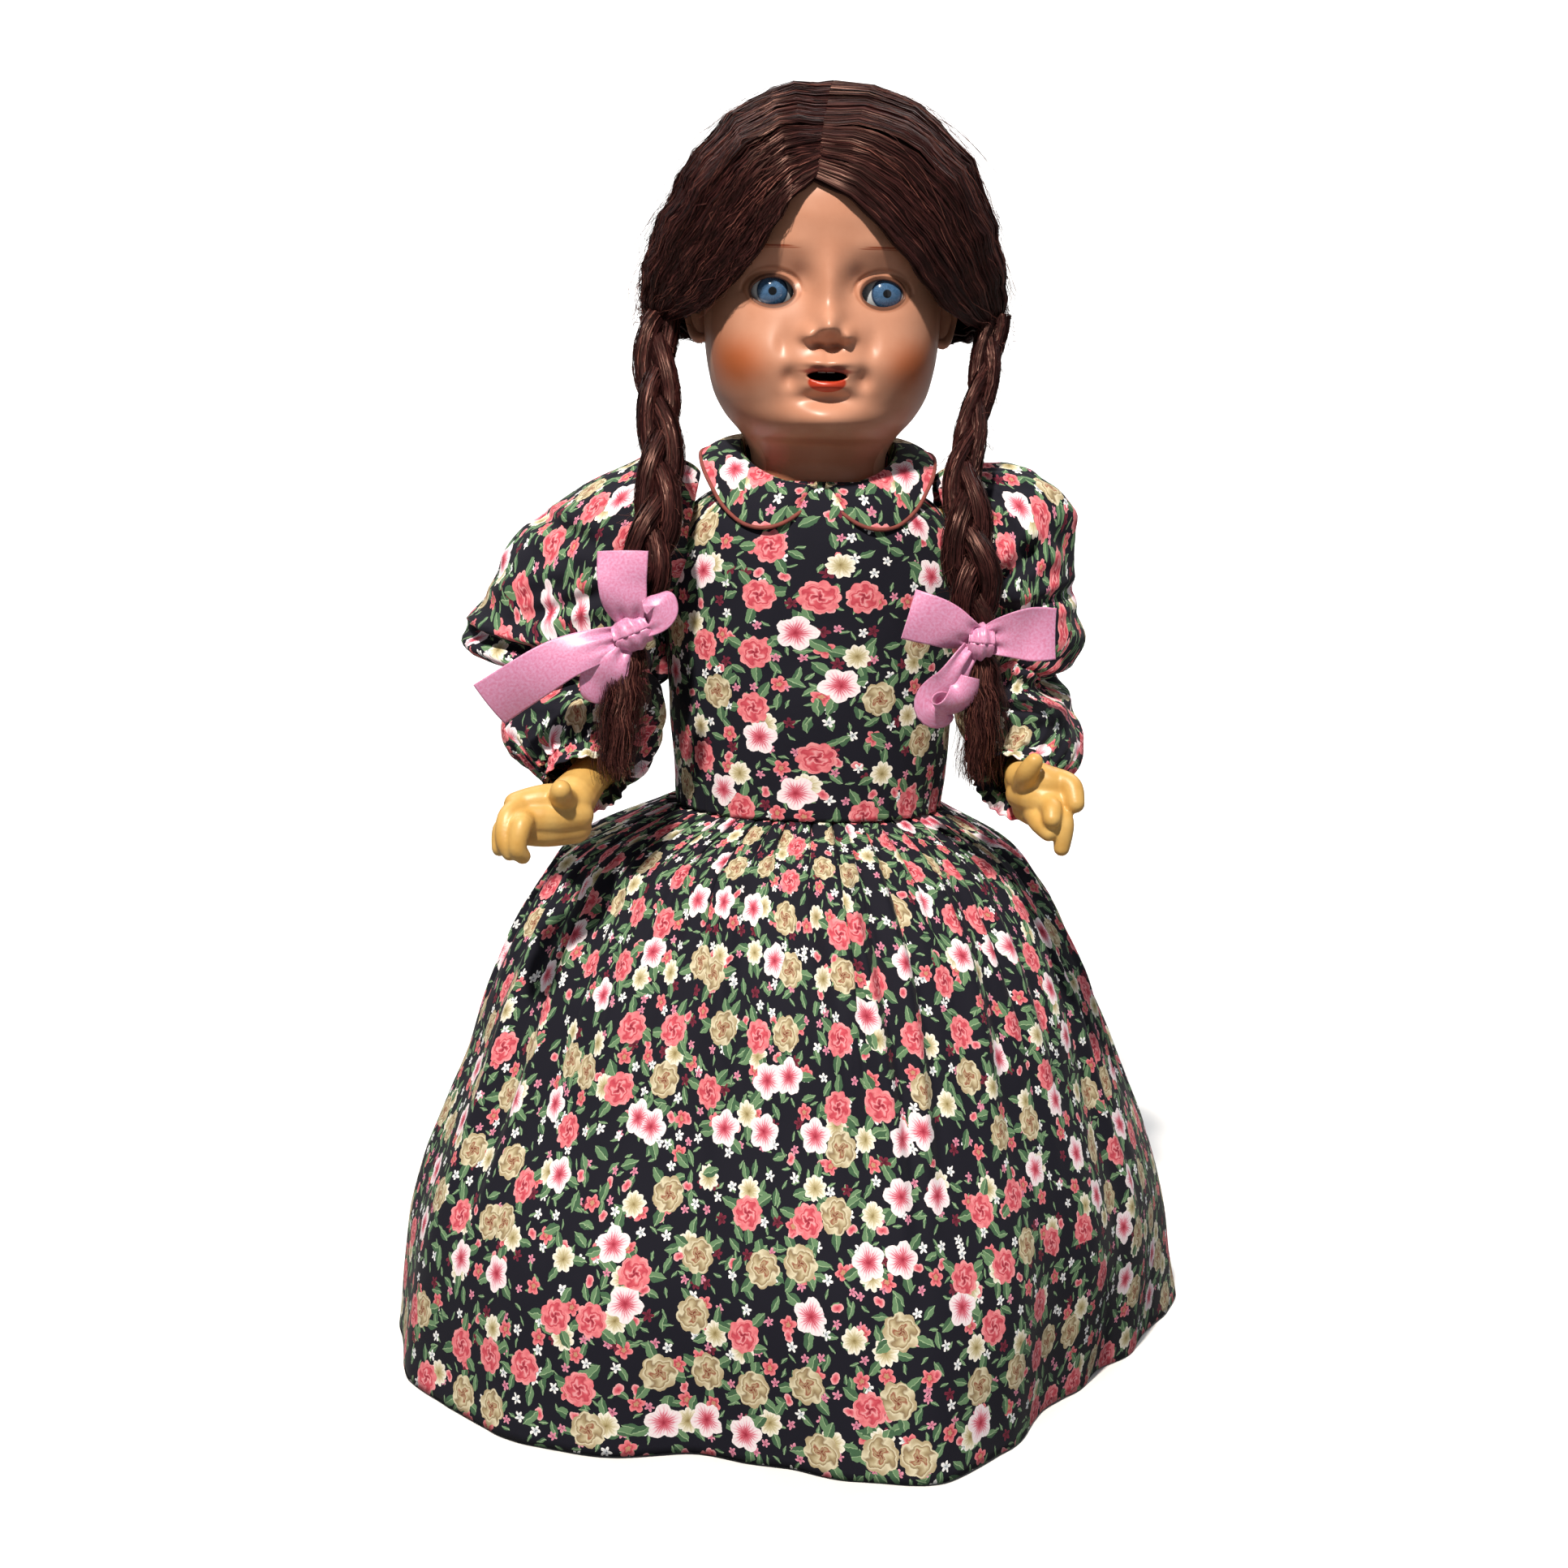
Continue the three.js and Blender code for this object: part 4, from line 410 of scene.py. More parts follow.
@dataclass(frozen=True)
class Finish:
    """A plain material: two tones in a soft mottle, a fine grain in its gloss and its relief."""

    name: str
    tone: str
    second_tone: str
    mottle_mm: float
    grain_mm: float
    grain_depth_mm: float
    roughness: float
    metallic: float = 0.0
    coat: float = 0.0
    stretch: tuple[float, float, float] = (1.0, 1.0, 1.0)

    def material(self) -> bpy.types.Material:
        """Builds the finish on object coordinates."""
        material, tree, shader = new_material(self.name)
        place = add_node(tree, "TexCoord").outputs["Object"]
        grain_place = add_node(tree, "Mapping", {"Vector": place, "Scale": self.stretch})
        mottle = add_node(
            tree, "TexNoise", {"Vector": grain_place, "Scale": 1 / (self.mottle_mm * MM), "Detail": 4.0}
        )
        grain = add_node(
            tree, "TexNoise", {"Vector": grain_place, "Scale": 1 / (self.grain_mm * MM), "Detail": 3.0}
        )
        ramp = add_node(tree, "ValToRGB", {"Fac": mottle})
        set_stops(ramp, [(0.35, self.tone), (0.68, self.second_tone)])
        gloss = add_node(
            tree, "MapRange",
            {"Value": mottle, "To Min": self.roughness * 0.85, "To Max": self.roughness * 1.15},
        )
        bump = add_node(tree, "Bump", {"Height": grain, "Distance": self.grain_depth_mm * MM})
        tree.links.new(ramp.outputs[0], shader.inputs["Base Color"])
        tree.links.new(gloss.outputs[0], shader.inputs["Roughness"])
        tree.links.new(bump.outputs[0], shader.inputs["Normal"])
        set_shader(shader, Metallic=self.metallic, Coat_Weight=self.coat, Coat_Roughness=0.25)
        return material


# Finishes that need only two tones, by the material slot they are for.
PLAIN_FINISHES = {
    # Pressed composition, painted ochre and varnished: brush mottle, satin gloss.
    "body_composition": Finish("ochre painted composition", "#d9b066", "#c99a4e", 9, 1.2, 0.05, 0.42),
    # Grey card, punched and glued: matt and fibrous.
    "pasteboard": Finish("pressed pasteboard", "#8f8474", "#b3a893", 4, 0.5, 0.08, 0.9),
    # Glazed tooth enamel: milky and wet.
    "teeth": Finish("glazed tooth porcelain", "#e9e2d2", "#f4efe4", 2, 0.4, 0.01, 0.22, coat=0.5),
    # Red felt tongue: dull and fuzzy.
    "tongue": Finish("red wool felt", "#a8322e", "#7f1f22", 2, 0.3, 0.1, 0.95),
    # Turned beech plug: fine straight grain.
    "turned_wood": Finish("turned beech", "#b98a55", "#a17342", 3, 0.4, 0.04, 0.55, stretch=(1, 1, 0.15)),
    # Drawn steel wire: grey and faintly scratched.
    "steel_wire": Finish("drawn steel wire", "#8d8f92", "#6f7174", 2, 0.3, 0.01, 0.36, metallic=1.0),
    # Cast lead: soft dull grey.
    "lead": Finish("cast lead", "#6f7276", "#55585c", 3, 0.6, 0.05, 0.6, metallic=0.9),
    # Rolled brass reed: bright yellow metal.
    "reed_brass": Finish("rolled brass", "#b08d4a", "#8f6f36", 3, 0.3, 0.01, 0.3, metallic=1.0),
    # Split sheepskin bellows: chalky white leather.
    "bellows_leather": Finish("split sheepskin", "#cdbfa5", "#b3a27f", 3, 0.6, 0.08, 0.8),
    # Cotton-covered elastic: off-white braid.
    "elastic_cord": Finish("cotton covered elastic", "#cfc8b8", "#a9a18f", 1.5, 0.35, 0.1, 0.9),
    # Shell buttons: smooth, with a pale bloom.
    "button_shell": Finish("trocas shell", "#e6e0da", "#cfd3d6", 3, 0.5, 0.01, 0.2, coat=0.6),
}


@dataclass(frozen=True)
class Motif:
    """One kind of flower in the print."""

    radius: float
    petals: int
    notch_share: float
    inks: Stops
    streaks: int = 0
    streak_share: float = 0.0
    swirl: float = 0.0


@dataclass(frozen=True)
class Scatter:
    """Flowers or leaves of one size, spread over the cloth, at most one to a cell."""

    spacing: float
    shift: float
    motifs: tuple[tuple[float, float, Motif], ...]
    leaf: tuple[float, float] = (0.0, 0.0)


CORAL_ROSE = Motif(
    6.9, 9, 0.14,
    ((0.0, "#8e2638"), (0.2, "#c94c5c"), (0.33, "#f2aab0"), (0.45, "#d65966"), (0.62, "#c24354"),
     (0.72, "#ee8b92"), (0.88, "#e0707b"), (1.0, "#f19ba0")),
    streaks=3, streak_share=0.15, swirl=9.0,
)
BUFF_ROSE = Motif(
    7.4, 8, 0.13,
    ((0.0, "#7d3a30"), (0.18, "#b9a480"), (0.3, "#95533f"), (0.4, "#d9cfae"), (0.6, "#ac9a76"),
     (0.7, "#8f7a5c"), (0.78, "#e2dabd"), (1.0, "#b7a785")),
    streaks=3, streak_share=0.16, swirl=8.0,
)
OPEN_BLOOM = Motif(
    7.4, 5, 0.26,
    ((0.0, "#8c2136"), (0.16, "#c63f55"), (0.4, "#dd7a8d"), (0.55, "#f0bccb"), (0.72, "#f7e6ee"),
     (1.0, "#fbf1f5")),
    streaks=24, streak_share=0.13, swirl=0.0,
)
CREAM_BLOOM = Motif(
    5.3, 9, 0.22,
    ((0.0, "#7d6c3e"), (0.2, "#b3a477"), (0.5, "#cfc5a0"), (0.75, "#ece6d2"), (1.0, "#f7f4ea")),
    streaks=18, streak_share=0.08,
)
CORAL_STAR = Motif(
    3.5, 5, 0.42,
    ((0.0, "#b89a68"), (0.28, "#c98b78"), (0.42, "#b7384c"), (0.6, "#dd6873"), (1.0, "#ee8f96")),
)
WHITE_STAR = Motif(2.2, 5, 0.72, ((0.0, "#16151f"), (0.3, "#b9c4cf"), (0.5, "#eef2f6"), (1.0, "#ffffff")))
ROSE_STAR = Motif(1.9, 5, 0.7, ((0.0, "#5c1c2e"), (0.3, "#c86e8c"), (1.0, "#eba3ba")))
WINE_STAR = Motif(2.5, 5, 0.66, ((0.0, "#3a0f1d"), (0.5, "#6a1f33"), (1.0, "#7d2a40")))
CORAL_BUD = Motif(2.4, 2, 0.45, ((0.0, "#b33247"), (0.5, "#e06a78"), (1.0, "#f6b9be")))
LEAF_GREENS = ("#44664a", "#688b66", "#98b48d")


@dataclass(frozen=True)
class PrintedCotton:
    """Plain-woven cotton printed with roses, small flowers and leaves on navy: matt, with a faint sheen."""

    name: str = "printed cotton poplin"
    ground: str = "#11111f"
    thread_mm: float = 0.45
    ink_wobble_mm: float = 0.55
    paleness: float = 0.0
    scatters: tuple[Scatter, ...] = (
        Scatter(10.5, 3.7, (), leaf=(3.6, 1.55)),
        Scatter(7.0, 11.3, (), leaf=(2.1, 0.7)),
        Scatter(12.5, 5.1, ((0.0, 0.26, WINE_STAR), (0.26, 0.56, ROSE_STAR), (0.56, 0.9, WHITE_STAR))),
        Scatter(13.0, 8.9, ((0.0, 0.3, CORAL_BUD), (0.3, 0.5, WHITE_STAR), (0.5, 0.7, ROSE_STAR))),
        Scatter(19.0, 1.9, ((0.0, 0.62, CORAL_STAR), (0.62, 0.8, WHITE_STAR))),
        Scatter(29.0, 6.3, ((0.0, 0.75, CREAM_BLOOM),), leaf=(3.9, 1.8)),
        Scatter(
            22.5, 2.3,
            ((0.0, 0.29, CORAL_ROSE), (0.29, 0.56, BUFF_ROSE), (0.56, 0.9, OPEN_BLOOM)), leaf=(4.4, 2.1),
        ),
    )

    def material(self) -> bpy.types.Material:
        """Builds the print, the weave and the cloth's soft shading on its cloth map."""
        material, tree, shader = new_material(self.name)
        cloth = add_node(tree, "UVMap", uv_map=CLOTH_MAP)
        wobble = add_node(tree, "TexNoise", {"Vector": cloth, "Scale": 0.42, "Detail": 2.0})
        away = add_node(
            tree, "VectorMath", {0: wobble.outputs["Color"], 1: (0.5, 0.5, 0.5)}, operation="SUBTRACT"
        )
        drawn = add_node(
            tree, "VectorMath",
            {0: away, 1: (3 * self.ink_wobble_mm,) * 3, 2: cloth}, operation="MULTIPLY_ADD",
        )
        colour = add_node(tree, "RGB").outputs[0]
        colour.default_value = linear(self.ground)
        for scatter in self.scatters:
            colour = self.scatter_ink(tree, drawn, colour, scatter)
        # Yarn is far finer than a pixel, so the weave is drawn about twice as coarse as it is.
        weave = add_node(tree, "TexChecker", {"Vector": cloth, "Scale": 1 / self.thread_mm})
        fibre = add_node(tree, "TexNoise", {"Vector": cloth, "Scale": 1.6, "Detail": 5.0})
        tone = add_node(tree, "MapRange", {"Value": fibre, "To Min": 0.82, "To Max": 1.16})
        toned = add_node(tree, "VectorMath", {0: colour, "Scale": tone}, operation="SCALE")
        faded = add_node(
            tree, "Mix", {0: self.paleness, 6: toned, 7: linear("#b9b3b4")}, data_type="RGBA"
        )
        height = add_node(tree, "Math", {0: weave.outputs["Fac"], 1: 0.4, 2: fibre}, operation="MULTIPLY_ADD")
        bump = add_node(tree, "Bump", {"Height": height, "Strength": 0.5, "Distance": 0.06 * MM})
        tree.links.new(faded.outputs[2], shader.inputs["Base Color"])
        tree.links.new(bump.outputs[0], shader.inputs["Normal"])
        set_shader(shader, Roughness=0.85, Sheen_Weight=0.04, Sheen_Roughness=0.4, Specular_IOR_Level=0.3)
        return material

    def scatter_ink(
        self, tree: bpy.types.NodeTree, cloth: bpy.types.Node, ground: bpy.types.NodeSocket, scatter: Scatter
    ) -> bpy.types.NodeSocket:
        """Prints one scatter over the colours below it.

        Args:
            tree: the material's nodes.
            cloth: the place on the cloth in millimetres.
            ground: the colour so far.
            scatter: what is printed.

        Returns:
            The colour with the scatter on it.
        """
        cells = add_node(
            tree, "VectorMath",
            {0: cloth, 1: (1 / scatter.spacing,) * 3, 2: (scatter.shift, 1.7 * scatter.shift, 0)},
            operation="MULTIPLY_ADD",
        )
        cell = add_node(
            tree, "TexVoronoi", {"Vector": cells, "Scale": 1.0, "Randomness": 0.72},
            voronoi_dimensions="2D",
        )
        away = add_node(
            tree, "VectorMath", {0: cells, 1: cell.outputs["Position"]}, operation="SUBTRACT"
        )
        local = add_node(tree, "VectorMath", {0: away, "Scale": scatter.spacing}, operation="SCALE")
        chance = add_node(tree, "SeparateColor", {0: cell.outputs["Color"]})
        turn = add_node(tree, "Math", {0: chance, 1: 2 * math.pi}, operation="MULTIPLY")
        turned = add_node(
            tree, "VectorRotate", {"Vector": local, "Angle": turn}, rotation_type="Z_AXIS"
        )
        place = add_node(tree, "SeparateXYZ", {0: turned})
        reach = add_node(tree, "VectorMath", {0: turned}, operation="LENGTH").outputs["Value"]
        angle = add_node(
            tree, "Math", {0: place.outputs["Y"], 1: place.outputs["X"]}, operation="ARCTAN2"
        )
        colour = ground
        if scatter.leaf[0]:
            colour = self.leaf_ink(tree, colour, scatter, place, reach, angle, chance)
        for low, high, motif in scatter.motifs:
            colour = self.flower_ink(tree, colour, motif, (low, high), reach, angle, chance)
        return colour

    def leaf_ink(
        self,
        tree: bpy.types.NodeTree,
        ground: bpy.types.NodeSocket,
        scatter: Scatter,
        place: bpy.types.Node,
        reach: bpy.types.NodeSocket,
        angle: bpy.types.Node,
        chance: bpy.types.Node,
    ) -> bpy.types.NodeSocket:
        """Prints a leaf in each cell, or, under a flower, three that stand out around it."""
        half_length, half_width = scatter.leaf
        forward, aside = place.outputs["X"], place.outputs["Y"]
        centre = 0.0
        if scatter.motifs:
            centre = scatter.motifs[0][2].radius + 0.45 * half_length
            third = add_node(tree, "Math", {0: angle, 1: 3 / (2 * math.pi)}, operation="MULTIPLY")
            within = add_node(tree, "Math", {0: third}, operation="FRACT")
            bent = add_node(
                tree, "Math", {0: within, 1: 2 * math.pi / 3, 2: -math.pi / 3}, operation="MULTIPLY_ADD"
            )
            cosine = add_node(tree, "Math", {0: bent}, operation="COSINE")
            sine = add_node(tree, "Math", {0: bent}, operation="SINE")
            forward = add_node(tree, "Math", {0: reach, 1: cosine}, operation="MULTIPLY").outputs[0]
            aside = add_node(tree, "Math", {0: reach, 1: sine}, operation="MULTIPLY").outputs[0]
        share = add_node(
            tree, "Math", {0: forward, 1: 1 / half_length, 2: -centre / half_length}, operation="MULTIPLY_ADD"
        )
        square = add_node(tree, "Math", {0: share, 1: share}, operation="MULTIPLY")
        width = add_node(tree, "Math", {0: square, 1: -half_width, 2: half_width}, operation="MULTIPLY_ADD")
        wide = add_node(tree, "Math", {0: aside}, operation="ABSOLUTE")
        inside = add_node(tree, "Math", {0: wide, 1: width}, operation="LESS_THAN")
        kept = add_node(tree, "Math", {0: chance.outputs["Blue"], 1: 0.7}, operation="LESS_THAN")
        mask = add_node(tree, "Math", {0: inside, 1: kept}, operation="MULTIPLY")
        half = add_node(tree, "Math", {0: aside, 1: 0.0}, operation="GREATER_THAN")
        rib = add_node(tree, "Math", {0: wide, 1: 0.16}, operation="LESS_THAN")
        dark = add_node(
            tree, "Mix", {0: half, 6: linear(LEAF_GREENS[0]), 7: linear(LEAF_GREENS[1])}, data_type="RGBA"
        )
        leaf = add_node(
            tree, "Mix", {0: rib, 6: dark.outputs[2], 7: linear(LEAF_GREENS[2])}, data_type="RGBA"
        )
        return add_node(
            tree, "Mix", {0: mask, 6: ground, 7: leaf.outputs[2]}, data_type="RGBA"
        ).outputs[2]

    def flower_ink(
        self,
        tree: bpy.types.NodeTree,
        ground: bpy.types.NodeSocket,
        motif: Motif,
        chances: tuple[float, float],
        reach: bpy.types.NodeSocket,
        angle: bpy.types.Node,
        chance: bpy.types.Node,
    ) -> bpy.types.NodeSocket:
        """Prints one motif in the cells whose own number lies between the two chances."""
        lobe_angle = add_node(tree, "Math", {0: angle, 1: motif.petals / 2}, operation="MULTIPLY")
        lobe = add_node(tree, "Math", {0: lobe_angle}, operation="COSINE")
        lobe = add_node(tree, "Math", {0: lobe}, operation="ABSOLUTE")
        edge = add_node(
            tree, "Math",
            {0: lobe, 1: motif.radius * motif.notch_share, 2: motif.radius * (1 - motif.notch_share)},
            operation="MULTIPLY_ADD",
        )
        share = add_node(tree, "Math", {0: reach, 1: edge}, operation="DIVIDE")
        inked = share
        if motif.streaks:
            curl = add_node(tree, "Math", {0: share, 1: motif.swirl}, operation="MULTIPLY")
            phase = add_node(
                tree, "Math", {0: angle, 1: float(motif.streaks), 2: curl}, operation="MULTIPLY_ADD"
            )
            wave = add_node(tree, "Math", {0: phase}, operation="SINE")
            inked = add_node(
                tree, "Math", {0: wave, 1: motif.streak_share, 2: share}, operation="MULTIPLY_ADD"
            )
        ramp = set_stops(add_node(tree, "ValToRGB", {"Fac": inked}), motif.inks)
        inside = add_node(tree, "Math", {0: share, 1: 1.0}, operation="LESS_THAN")
        green = chance.outputs["Green"]
        above = add_node(tree, "Math", {0: green, 1: chances[0]}, operation="GREATER_THAN")
        below = add_node(tree, "Math", {0: green, 1: chances[1]}, operation="LESS_THAN")
        band = add_node(tree, "Math", {0: above, 1: below}, operation="MULTIPLY")
        mask = add_node(tree, "Math", {0: inside, 1: band}, operation="MULTIPLY")
        return add_node(tree, "Mix", {0: mask, 6: ground, 7: ramp}, data_type="RGBA").outputs[2]


@dataclass(frozen=True)
class HairFinish:
    """Combed mohair, dyed auburn, a tone for each strand: the darkest, on the wig's base and the plaits'
    cores, is painted shade under the strands. A gloss runs along each lock.
    """

    name: str = "dyed mohair"
    stops: Stops = ((0.0, "#120809"), (0.35, "#231112"), (0.7, "#3f2020"), (1.0, "#74483f"))
    gloss_tint: str = "#dba898"
    roughness: float = 0.4

    def material(self) -> bpy.types.Material:
        """Builds the hair on each strand's own shade."""
        material, tree, shader = new_material(self.name)
        shade = add_node(tree, "Attribute", attribute_name=SHADE)
        place = add_node(tree, "TexCoord").outputs["Object"]
        drift = add_node(tree, "TexNoise", {"Vector": place, "Scale": 1 / (6 * MM), "Detail": 3.0})
        value = add_node(
            tree, "Math", {0: drift, 1: 0.5, 2: shade.outputs["Fac"]}, operation="MULTIPLY_ADD"
        )
        value = add_node(tree, "Math", {0: value, 1: 0.25}, operation="SUBTRACT")
        ramp = set_stops(add_node(tree, "ValToRGB", {"Fac": value}), self.stops)
        tree.links.new(ramp.outputs[0], shader.inputs["Base Color"])
        tint = linear(self.gloss_tint)
        set_shader(shader, Roughness=self.roughness, Specular_IOR_Level=0.55, Specular_Tint=tint)
        return material


# The head's own shape, shared by its mesh and its paint

@dataclass(frozen=True)
class Bump:
    """A soft rise on the face, given as its middle, its reach across, up and down, and its height."""

    x: float
    z: float
    across: float
    up: float
    down: float
    rise: float
    paired: bool = False


FACE_BUMPS = (
    Bump(0, 440, 5.4, 13, 10, 4.2),
    Bump(0, 425.5, 5.7, 7.0, 3.6, 10.3),
    Bump(7.6, 422.0, 3.4, 3.7, 2.6, 5.8, True),
    Bump(3.9, 418.3, 2.0, 1.1, 1.3, -2.0, True),
    Bump(0, 417.2, 4.5, 1.8, 1.6, -1.2),
    Bump(30, 411, 14, 14, 14, 5.2, True),
    Bump(0, 410, 14, 7, 9, 4.4),
    Bump(4.4, 411.6, 4.8, 1.9, 1.5, 1.8, True),
    Bump(0, 415.2, 1.8, 2.6, 3, -1.1),
    Bump(0, 402.6, 6.8, 1.6, 1.8, 2.0),
    Bump(0, 397.6, 11, 2.4, 3.0, -3.3),
    Bump(0, 388.8, 15, 7, 6, 6.0),
    Bump(14.4, 405.5, 3.4, 4.5, 4.5, -3.3, True),
    Bump(17, 418, 3.4, 6, 5, -1.7, True),
    Bump(21.7, 442, 12.5, 9, 9, -5.4, True),
    Bump(10.8, 443, 4.5, 6, 6, -2.8, True),
    Bump(20, 457, 12, 4.5, 4, 1.0, True),
    Bump(0, 470, 24, 14, 12, 1.8),
    Bump(0, 379.5, 30, 1.8, 2.4, -2.2),
    Bump(0, 373.5, 30, 2.8, 3.8, 2.0),
)


@dataclass(frozen=True)
class Opening:
    """An opening in the face: its middle, half width, and how far it reaches up and down."""

    x: float
    z: float
    half_width: float
    up: float
    down: float
    corner: float

    def share(self, x: Array, z: Array) -> Array:
        """How far out of the opening's middle points lie, one on its edge."""
        high = np.where(z > self.z, self.up, self.down)
        across = np.abs((x - self.x) / self.half_width)
        return across**self.corner + np.abs((z - self.z) / high) ** self.corner

    def onto_edge(self, x: Array, z: Array) -> tuple[Array, Array]:
        """Points moved straight out of the middle onto the edge."""
        grow = self.share(x, z) ** (-1 / self.corner)
        return self.x + (x - self.x) * grow, self.z + (z - self.z) * grow


@dataclass
class Head:
    """The bisque-painted composition head: neck, cheeks, lids, nose, lips and chin."""

    neck_rows: Sequence = (
        (352, 21.8, 21.8, 21.8), (356.7, 26, 26, 26), (364, 27.7, 27.7, 27.7), (374, 28, 28.6, 28),
    )
    face_rows: Sequence = (
        (382, 32.5, 41, 30.2), (388, 37.8, 46, 32.5), (395.9, 42.6, 48, 37.7), (406, 45.6, 49, 44.7),
        (416, 47.2, 49, 50.5), (428, 48, 47.5, 54.5), (440, 48.2, 46.3, 56.8), (455, 48.5, 46.4, 58),
        (470, 47.5, 45.6, 56.8), (485, 44.1, 42.1, 52.2), (498, 34.9, 32.8, 41.8), (506, 21.8, 21, 27.3),
        (510, 2, 2, 2),
    )
    roundness: float = 2.12
    eye_x: float = 21.7
    eye_z: float = 438.0
    eye_y: float = -27.8
    lid_radius: float = 11.5
    blend: float = 0.9
    relax_reach: float = 0.9

    @property
    def openings(self) -> tuple[Opening, ...]:
        """The two eyes and the mouth."""
        eyes = [Opening(s * self.eye_x, self.eye_z, 8.9, 6.3, 5.3, 1.85) for s in (1, -1)]
        return (*eyes, Opening(0, 406.6, 8.4, 2.2, 2.7, 1.8))

    def front(self, x: Array, z: Array) -> Array:
        """Depth of the face at points across and up."""
        wide, front, _ = smooth_rows([*self.neck_rows, *self.face_rows], z).T
        share = np.clip(np.abs(x) / wide, 0, 0.999)
        depth = -front * (1 - share**self.roundness) ** (1 / self.roundness)
        for bump in FACE_BUMPS:
            for side in (1, -1) if bump.paired else (1,):
                reach = np.where(z > bump.z, bump.up, bump.down)
                off = ((x - side * bump.x) / bump.across) ** 2 + ((z - bump.z) / reach) ** 2
                depth = depth - bump.rise * np.exp(-off)
        for side in (1, -1):
            off = (x - side * self.eye_x) ** 2 + (z - self.eye_z) ** 2
            lid = self.eye_y - np.sqrt(np.clip(self.lid_radius**2 - off, 0, None))
            lid = np.where(off < self.lid_radius**2, lid, 0)
            mixed = np.exp(-depth / self.blend) + np.exp(-lid / self.blend)
            depth = np.where(off < self.lid_radius**2, -self.blend * np.log(mixed), depth)
            high = (z - self.eye_z) > 0
            ring = np.sqrt(((x - side * self.eye_x) / 8.9) ** 2 + ((z - self.eye_z) / 6.3) ** 2)
            crease = np.exp(-(((ring - 1.34) / 0.08) ** 2)) * high
            depth = depth + 0.6 * crease
        return depth

    def ring_heights(self) -> Array:
        """Heights of the rings: coarse on neck and crown, close in the face."""
        neck = np.linspace(352, 374, 14, endpoint=False)
        face = np.linspace(374, 470, 160, endpoint=False)
        crown = 470 + 40 * np.sin(np.linspace(0, math.pi / 2, 24))
        return np.concatenate([neck, face, crown])

    def ring_angles(self) -> Array:
        """Angles round the head from straight ahead: close in front, wide at the back."""
        front = np.linspace(-1.25, 1.25, 190)
        back = np.linspace(1.25, 2 * math.pi - 1.25, 62)[1:-1]
        return np.concatenate([front, back])

    def build(self) -> bpy.types.Object:
        """The head's skin, with lids and lips turned in at its openings."""
        heights, angles = self.ring_heights(), self.ring_angles()
        z, angle = np.meshgrid(heights, angles, indexing="ij")
        wide, _, back = np.moveaxis(smooth_rows([*self.neck_rows, *self.face_rows], z), -1, 0)
        sine, cosine = np.sin(angle), np.cos(angle)
        x = wide * np.sign(sine) * np.abs(sine) ** (2 / self.roundness)
        ahead = cosine > 0
        behind = back * np.abs(cosine) ** (2 / self.roundness)
        y = np.where(ahead, 0, behind)
        points = np.stack([x, y, z], -1).reshape(-1, 3)
        ahead = ahead.ravel()
        points[ahead, 1] = self.front(points[ahead, 0], points[ahead, 2])
        rows, columns = len(heights), len(angles)
        low = np.arange(rows - 1)[:, None] * columns
        here, onward = np.arange(columns)[None, :], (np.arange(columns)[None, :] + 1) % columns
        corners = [low + here, low + onward, low + columns + onward, low + columns + here]
        faces = np.stack(corners, -1).reshape(-1, 4)
        middle = points[faces].mean(1)
        keep = np.ones(len(faces), bool)
        for gap in self.openings:
            keep &= ~((gap.share(middle[:, 0], middle[:, 2]) < 1) & (middle[:, 1] < 0))
        faces = faces[keep]
        points = self.fitted(points, faces, columns)
        head = raw_mesh("head", points, faces)
        self.turn_in(head)
        return joined([head, *self.ears()], "head")

    def ears(self) -> list[bpy.types.Object]:
        """A rim, a lobe and a hollow for each ear."""
        pieces = []
        for side in (1, -1):
            rim = (
                (47, 0, 437), (51, 1, 441.5), (54, 5, 440), (55, 8, 433), (53.5, 7, 425), (50.5, 3, 419.5),
                (48, 0, 419),
            )
            bed = ((48.5, 5, 438), (50, 6, 430), (48.5, 3, 421))
            parts = (
                ("rim", rim, (1.3, 1.6, 1.7, 1.7, 1.8, 2.6, 1.6)), ("bed", bed, (2.5, 3.6, 2.4)),
            )
            for name, course, radii in parts:
                points = [(side * x, y, z) for x, y, z in course]
                pieces.append(rod(f"ear_{name}", points, radii))
        return pieces

    def fitted(self, points: Array, faces: Array, columns: int) -> Array:
        """Moves the skin's edge onto each opening's outline, evens out what lies near, and drops it back."""
        edges = np.concatenate([faces[:, [k, (k + 1) % 4]] for k in range(4)])
        edges.sort(axis=1)
        pairs, counts = np.unique(edges, axis=0, return_counts=True)
        border = np.unique(pairs[counts == 1])
        border = border[(border >= columns) & (border < len(points) - columns)]
        flat = points[:, [0, 2]].copy()
        near = np.zeros(len(points), bool)
        for gap in self.openings:
            own = border[gap.share(flat[border, 0], flat[border, 1]) < 4]
            flat[own, 0], flat[own, 1] = gap.onto_edge(flat[own, 0], flat[own, 1])
            near |= (gap.share(flat[:, 0], flat[:, 1]) < (1 + self.relax_reach) ** 2) & (points[:, 1] < -20)
        near[border] = False
        for _ in range(12):
            total = np.zeros_like(flat)
            number = np.zeros(len(flat))
            for a, b in ((0, 1), (1, 0)):
                np.add.at(total, pairs[:, a], flat[pairs[:, b]])
                np.add.at(number, pairs[:, a], 1)
            even = total / np.maximum(number, 1)[:, None]
            flat[near] = even[near]
        moved = points.copy()
        changed = near.copy()
        changed[border] = True
        moved[changed, 0], moved[changed, 2] = flat[changed, 0], flat[changed, 1]
        moved[changed, 1] = self.front(flat[changed, 0], flat[changed, 1])
        return moved

